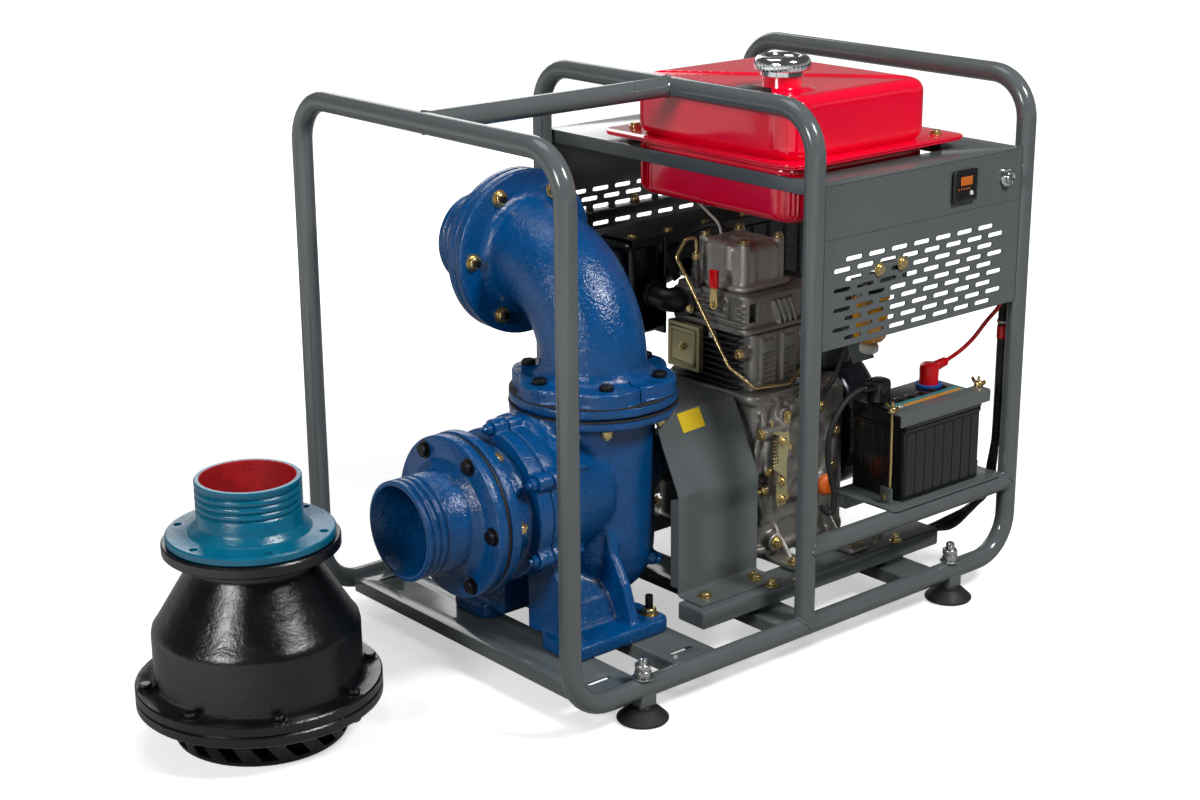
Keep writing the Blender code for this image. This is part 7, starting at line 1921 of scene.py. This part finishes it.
class PUMPSET_OT_fan(bpy.types.Operator):
    """Spins the fan shroud with its grille, the cowl, the flywheel and the couplings"""
    bl_idname = "pump_set.fan"
    bl_label = "Fan shroud and flywheel"

    def execute(self, context):
        a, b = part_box("fan_shroud")
        r = (b.y - a.y) / 2
        centre = on_shaft(a.x)
        deep = b.x - a.x
        shroud = turned("fan_shroud_pressing", [(0.026, 0), (r - 0.01, 0), (r - 0.003, 0.003),
            (r, 0.01), (r, deep - 0.02), (r - 0.004, deep - 0.008), (r - 0.012, deep - 0.0015),
            (r - 0.02, deep), (0.088, deep), (0.086, deep - 0.002), (0.088, deep - 0.004),
            (r - 0.02, deep - 0.004), (r - 0.008, deep - 0.012), (r - 0.004, deep - 0.022),
            (r - 0.004, 0.012), (r - 0.01, 0.004), (0.026, 0.004), (0.026, 0)], centre, X, 96)
        back, face, half = deep - 0.0034, deep - 0.0006, 0.0022
        bars = [turned("ring", [(bar - half, back), (bar + half, back), (bar + half, face),
            (bar - half, face), (bar - half, back)], centre, X, 64)
            for bar in (0.03, 0.046, 0.062, 0.078)]
        base = centre + X * (deep - 0.002)
        bars += [rod("spoke", foot, tip, half, 10)
            for foot, tip in zip(ring_of(base, X, 0.028, 12), ring_of(base, X, 0.09, 12))]
        finished(joined(shroud, *bars), "black_chromate_steel", stands_for="fan_shroud")
        rim = ring_of(centre + X * (deep - 0.0004), X, r - 0.022, 6, 0.3)
        bolts("fan_shroud_bolts", rim, X, 0.0064, 0.0044)
        shaft = low("crankshaft").x
        end = high("crankshaft").x
        wheel0 = a.x + 0.02
        crank = turned("crankshaft_turned", [(0, 0), (0.043, 0), (0.045, 0.0016), (0.045, 0.0165),
            (0.0432, 0.018), (0.021, 0.0186), (0.0157, 0.0205), (0.015, wheel0 - shaft),
            (0.112, wheel0 - shaft), (0.1165, wheel0 - shaft + 0.002),
            (0.118, wheel0 - shaft + 0.006), (0.118, wheel0 - shaft + 0.03),
            (0.116, wheel0 - shaft + 0.034), (0.05, wheel0 - shaft + 0.035),
            (0.046, wheel0 - shaft + 0.032), (0.03, wheel0 - shaft + 0.032),
            (0.02, wheel0 - shaft + 0.036), (0.02, end - shaft - 0.002), (0.018, end - shaft),
            (0, end - shaft)], on_shaft(shaft), X, 96)
        vanes = []
        for i in range(16):
            vane = block("vane", (wheel0 + 0.033, -0.0012, 0.056),
                (wheel0 + 0.0435, 0.0012, 0.112), 0.0006, 1)
            vane.matrix_world = (Matrix.Translation(on_shaft(0))
                @ Matrix.Rotation(2 * pi * i / 16, 4, 'X'))
            vanes.append(vane)
        settle(*vanes)
        finished(joined(crank, *vanes), "machined_iron", body="shaft_line",
            stands_for="crankshaft")
        pins = [rod("pin", p - X * 0.0006, p + X * 0.0185, 0.0052, 20, 0.0008)
            for p in ring_of(on_shaft(shaft), X, 0.031, 6)]
        finished(joined(*pins), "clear_zinc_steel", body="shaft_line", name="coupling_pins")
        cowl = block("cooling_cowl", (high("cylinder").x + 0.002, low("cylinder").y - 0.004,
            low("cylinder").z + 0.004), (a.x + 0.03, high("cylinder").y + 0.006,
            low("cylinder_head").z + 0.046), 0.012, 4)
        finished(cowl, "stove_enamel")
        deflector = folded("cooling_deflector", with_bends([at(a.x + 0.002,
            low("cylinder").y - 0.03, SHAFT.z + 0.118), at(a.x + 0.002, low("cylinder").y - 0.008,
            low("cylinder_head").z - 0.03), at(a.x + 0.002, low("cylinder").y + 0.04,
            low("cylinder_head").z + 0.04)], 0.02), (0.052, 0, 0), 0.0016, 0.0004)
        finished(deflector, "powder_coated_steel")
        for slot in NODES["pump_rotor"].material_slots:
            slot.material = FINISHES["machined_iron"]
        return {'FINISHED'}


# ---- stage ----------------------------------------------------------------------------
WORLD_LEVEL = 0.09                        # how bright the white studio is to the set
CAMERA_PLACE = at(-1.989, -2.414, 1.386)
CAMERA_TURNS = (40.58, -17.56, -0.37)     # from +Y towards +X, upwards, and about its own axis
CAMERA_LENS, CAMERA_SENSOR = 62.64, 36.0  # mm
LAMP_AIM = at(0.1, -0.02, 0.4)
LAMPS = (                                 # name, place, width in m, watts
    ("key_lamp", (0.8, -2.7, 3.3), 0.9, 120), ("side_lamp", (-3.5, -0.9, 2.0), 0.8, 72),
    ("top_lamp", (-0.4, 0.6, 3.6), 1.6, 22), ("back_lamp", (1.8, 3.2, 2.0), 2.0, 32))


def lamp(name, place, aim, size, watts):
    """A soft square lamp that looks at a point."""
    light = start(bpy.ops.object.light_add, name, type='AREA', location=place,
        rotation=(Vector(aim) - Vector(place)).to_track_quat('-Z', 'Y').to_euler())
    light.data.shape = 'SQUARE'
    light.data.size = size
    light.data.energy = watts
    return light


class PUMPSET_OT_stage(bpy.types.Operator):
    """Lays the pale floor, hangs the soft lamps and stands the camera"""
    bl_idname = "pump_set.stage"
    bl_label = "Floor, lamps and camera"

    def execute(self, context):
        floor = start(bpy.ops.mesh.primitive_plane_add, "floor", size=60,
            location=(0.0, 0.0, low("valve_base").z - 0.0004))
        settle(floor)
        # Matt white studio paper: no pattern of its own, only the shadow that falls on it.
        paper = bpy.data.materials.new("matt_studio_paper")
        paper.use_nodes = True
        tree = paper.node_tree
        shader = tree.nodes["Principled BSDF"]
        place = add(tree, 'ShaderNodeTexCoord').outputs["Object"]
        fibre = add(tree, 'ShaderNodeTexNoise', {"Vector": place, "Scale": per_metre(400),
            "Detail": 2.0})
        tone = add(tree, 'ShaderNodeMix', {"Factor": fibre.outputs["Fac"],
            6: shaded(linear("f4f4f4"), 1.0), 7: shaded(linear("f8f8f8"), 1.0)}, data_type='RGBA')
        # The paper runs on into the white of the studio some metres from the set, and
        # throws less light back on the set than a white floor would.
        path = add(tree, 'ShaderNodeLightPath')
        seen = path.outputs["Is Camera Ray"]
        clear = add(tree, 'ShaderNodeMath', {0: seen, 1: path.outputs["Is Transmission Ray"]},
            operation='MAXIMUM')
        dim = add(tree, 'ShaderNodeMix', {"Factor": path.outputs["Is Glossy Ray"],
            6: shaded(linear("8a8a8a"), 1.0), 7: shaded(linear("b4b4b4"), 1.0)}, data_type='RGBA')
        tone = add(tree, 'ShaderNodeMix', {"Factor": clear.outputs[0], 6: dim.outputs[2],
            7: tone.outputs[2]}, data_type='RGBA')
        away = add(tree, 'ShaderNodeVectorMath', {0: place}, operation='LENGTH')
        fade = add(tree, 'ShaderNodeMapRange', {"Value": away.outputs["Value"], "From Min": 0.9,
            "From Max": 2.6, "To Min": 0.5, "To Max": 1.0})
        glow = add(tree, 'ShaderNodeMath', {0: seen, 1: fade.outputs[0]}, operation='MULTIPLY')
        # Painted reflection: beyond a metre to the left of the set the paper glows for glossy rays
        # only, so shiny uprights show a bright strip of it.
        side = add(tree, 'ShaderNodeSeparateXYZ', {"Vector": place})
        bright = add(tree, 'ShaderNodeMapRange', {"Value": side.outputs["X"], "From Min": -1.0,
            "From Max": -1.5, "To Min": 0.0, "To Max": 0.8})
        glossy_ray_glow = add(tree, 'ShaderNodeMath', {0: path.outputs["Is Glossy Ray"],
            1: bright.outputs[0]}, operation='MULTIPLY')
        glow = add(tree, 'ShaderNodeMath', {0: glow.outputs[0], 1: glossy_ray_glow.outputs[0]},
            operation='MAXIMUM')
        tree.links.new(glow.outputs[0], shader.inputs["Emission Strength"])
        shader.inputs["Emission Color"].default_value = (1, 1, 1, 1)
        tree.links.new(tone.outputs[2], shader.inputs["Base Color"])
        shader.inputs["Roughness"].default_value = 0.95
        shader.inputs["Specular IOR Level"].default_value = 0.0
        floor.data.materials.append(paper)

        world = bpy.data.worlds.new("white_studio")
        context.scene.world = world
        world.use_nodes = True
        tree = world.node_tree
        tree.nodes.clear()
        path = add(tree, 'ShaderNodeLightPath')
        seen = add(tree, 'ShaderNodeMath', {0: path.outputs["Is Camera Ray"],
            1: path.outputs["Is Transmission Ray"]}, operation='MAXIMUM')
        # Shiny surfaces see the white wall near the horizon and the dark roof above it.
        sky = add(tree, 'ShaderNodeTexCoord').outputs["Generated"]
        rise = add(tree, 'ShaderNodeSeparateXYZ', {"Vector": sky})
        wall = add(tree, 'ShaderNodeMapRange', {"Value": rise.outputs["Z"], "From Min": 0.02,
            "From Max": 0.3, "To Min": 0.42, "To Max": 0.03})
        shine = add(tree, 'ShaderNodeMath', {0: path.outputs["Is Glossy Ray"], 1: wall.outputs[0]},
            operation='MULTIPLY')
        strength = add(tree, 'ShaderNodeMath', {0: seen.outputs[0], 1: shine.outputs[0]},
            operation='MAXIMUM')
        level = add(tree, 'ShaderNodeMath', {0: strength.outputs[0], 1: WORLD_LEVEL},
            operation='MAXIMUM')
        glow = add(tree, 'ShaderNodeBackground', {"Color": (1, 1, 1, 1),
            "Strength": level.outputs[0]})
        add(tree, 'ShaderNodeOutputWorld', {"Surface": glow.outputs[0]})

        for name, place, size, watts in LAMPS:
            lamp(name, place, LAMP_AIM, size, watts)

        view = start(bpy.ops.object.camera_add, "camera", location=CAMERA_PLACE)
        yaw, pitch, roll = (radians(angle) for angle in CAMERA_TURNS)
        ahead = at(sin(yaw) * cos(pitch), cos(yaw) * cos(pitch), sin(pitch))
        right = at(cos(yaw), -sin(yaw), 0)
        up = right.cross(ahead)
        level_right = right * cos(roll) + up * sin(roll)
        level_up = up * cos(roll) - right * sin(roll)
        turn = Matrix((level_right, level_up, -ahead)).transposed().to_4x4()
        view.matrix_world = Matrix.Translation(CAMERA_PLACE) @ turn
        view.data.lens, view.data.sensor_width = CAMERA_LENS, CAMERA_SENSOR
        view.data.clip_start = 0.05
        view.data.clip_end = 100.0
        context.scene.camera = view
        context.scene.view_settings.view_transform = 'Standard'
        return {'FINISHED'}


PIECES = (PUMPSET_OT_frame_tubes, PUMPSET_OT_feet, PUMPSET_OT_base, PUMPSET_OT_suction_tail,
    PUMPSET_OT_suction_cover, PUMPSET_OT_flaps, PUMPSET_OT_pump_body, PUMPSET_OT_discharge,
    PUMPSET_OT_guard, PUMPSET_OT_foot_valve, PUMPSET_OT_side_panels, PUMPSET_OT_shelf,
    PUMPSET_OT_tank, PUMPSET_OT_filler_cap, PUMPSET_OT_controls, PUMPSET_OT_fuel_filter,
    PUMPSET_OT_battery, PUMPSET_OT_battery_tray, PUMPSET_OT_leads, PUMPSET_OT_crankcase,
    PUMPSET_OT_cylinder, PUMPSET_OT_cylinder_head, PUMPSET_OT_levers, PUMPSET_OT_fuel_lines,
    PUMPSET_OT_intake, PUMPSET_OT_fan, PUMPSET_OT_stage)


class PUMPSET_PT_panel(bpy.types.Panel):
    """Lists the colours, the sizes and every piece of the pump set"""
    bl_idname = "PUMPSET_PT_panel"
    bl_label = "Pump Set"
    bl_space_type = 'VIEW_3D'
    bl_region_type = 'UI'
    bl_category = "Pump Set"

    def draw(self, context):
        for group in (context.scene.pump_set_colours, context.scene.pump_set_sizes):
            box = self.layout.box()
            for key in group.__annotations__:
                box.prop(group, key)
        for piece in PIECES:
            self.layout.operator(piece.bl_idname)


CLASSES = (PumpSetColours, PumpSetSizes, *PIECES, PUMPSET_PT_panel)


def register():
    for cls in CLASSES:
        bpy.utils.register_class(cls)
    bpy.types.Scene.pump_set_colours = bpy.props.PointerProperty(type=PumpSetColours)
    bpy.types.Scene.pump_set_sizes = bpy.props.PointerProperty(type=PumpSetSizes)


def unregister():
    del bpy.types.Scene.pump_set_sizes
    del bpy.types.Scene.pump_set_colours
    for cls in reversed(CLASSES):
        bpy.utils.unregister_class(cls)


def main():
    register()
    make_finishes()
    for piece in PIECES:
        getattr(bpy.ops.pump_set, piece.bl_idname.split(".")[1])()
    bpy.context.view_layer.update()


if __name__ == "__main__":
    main()
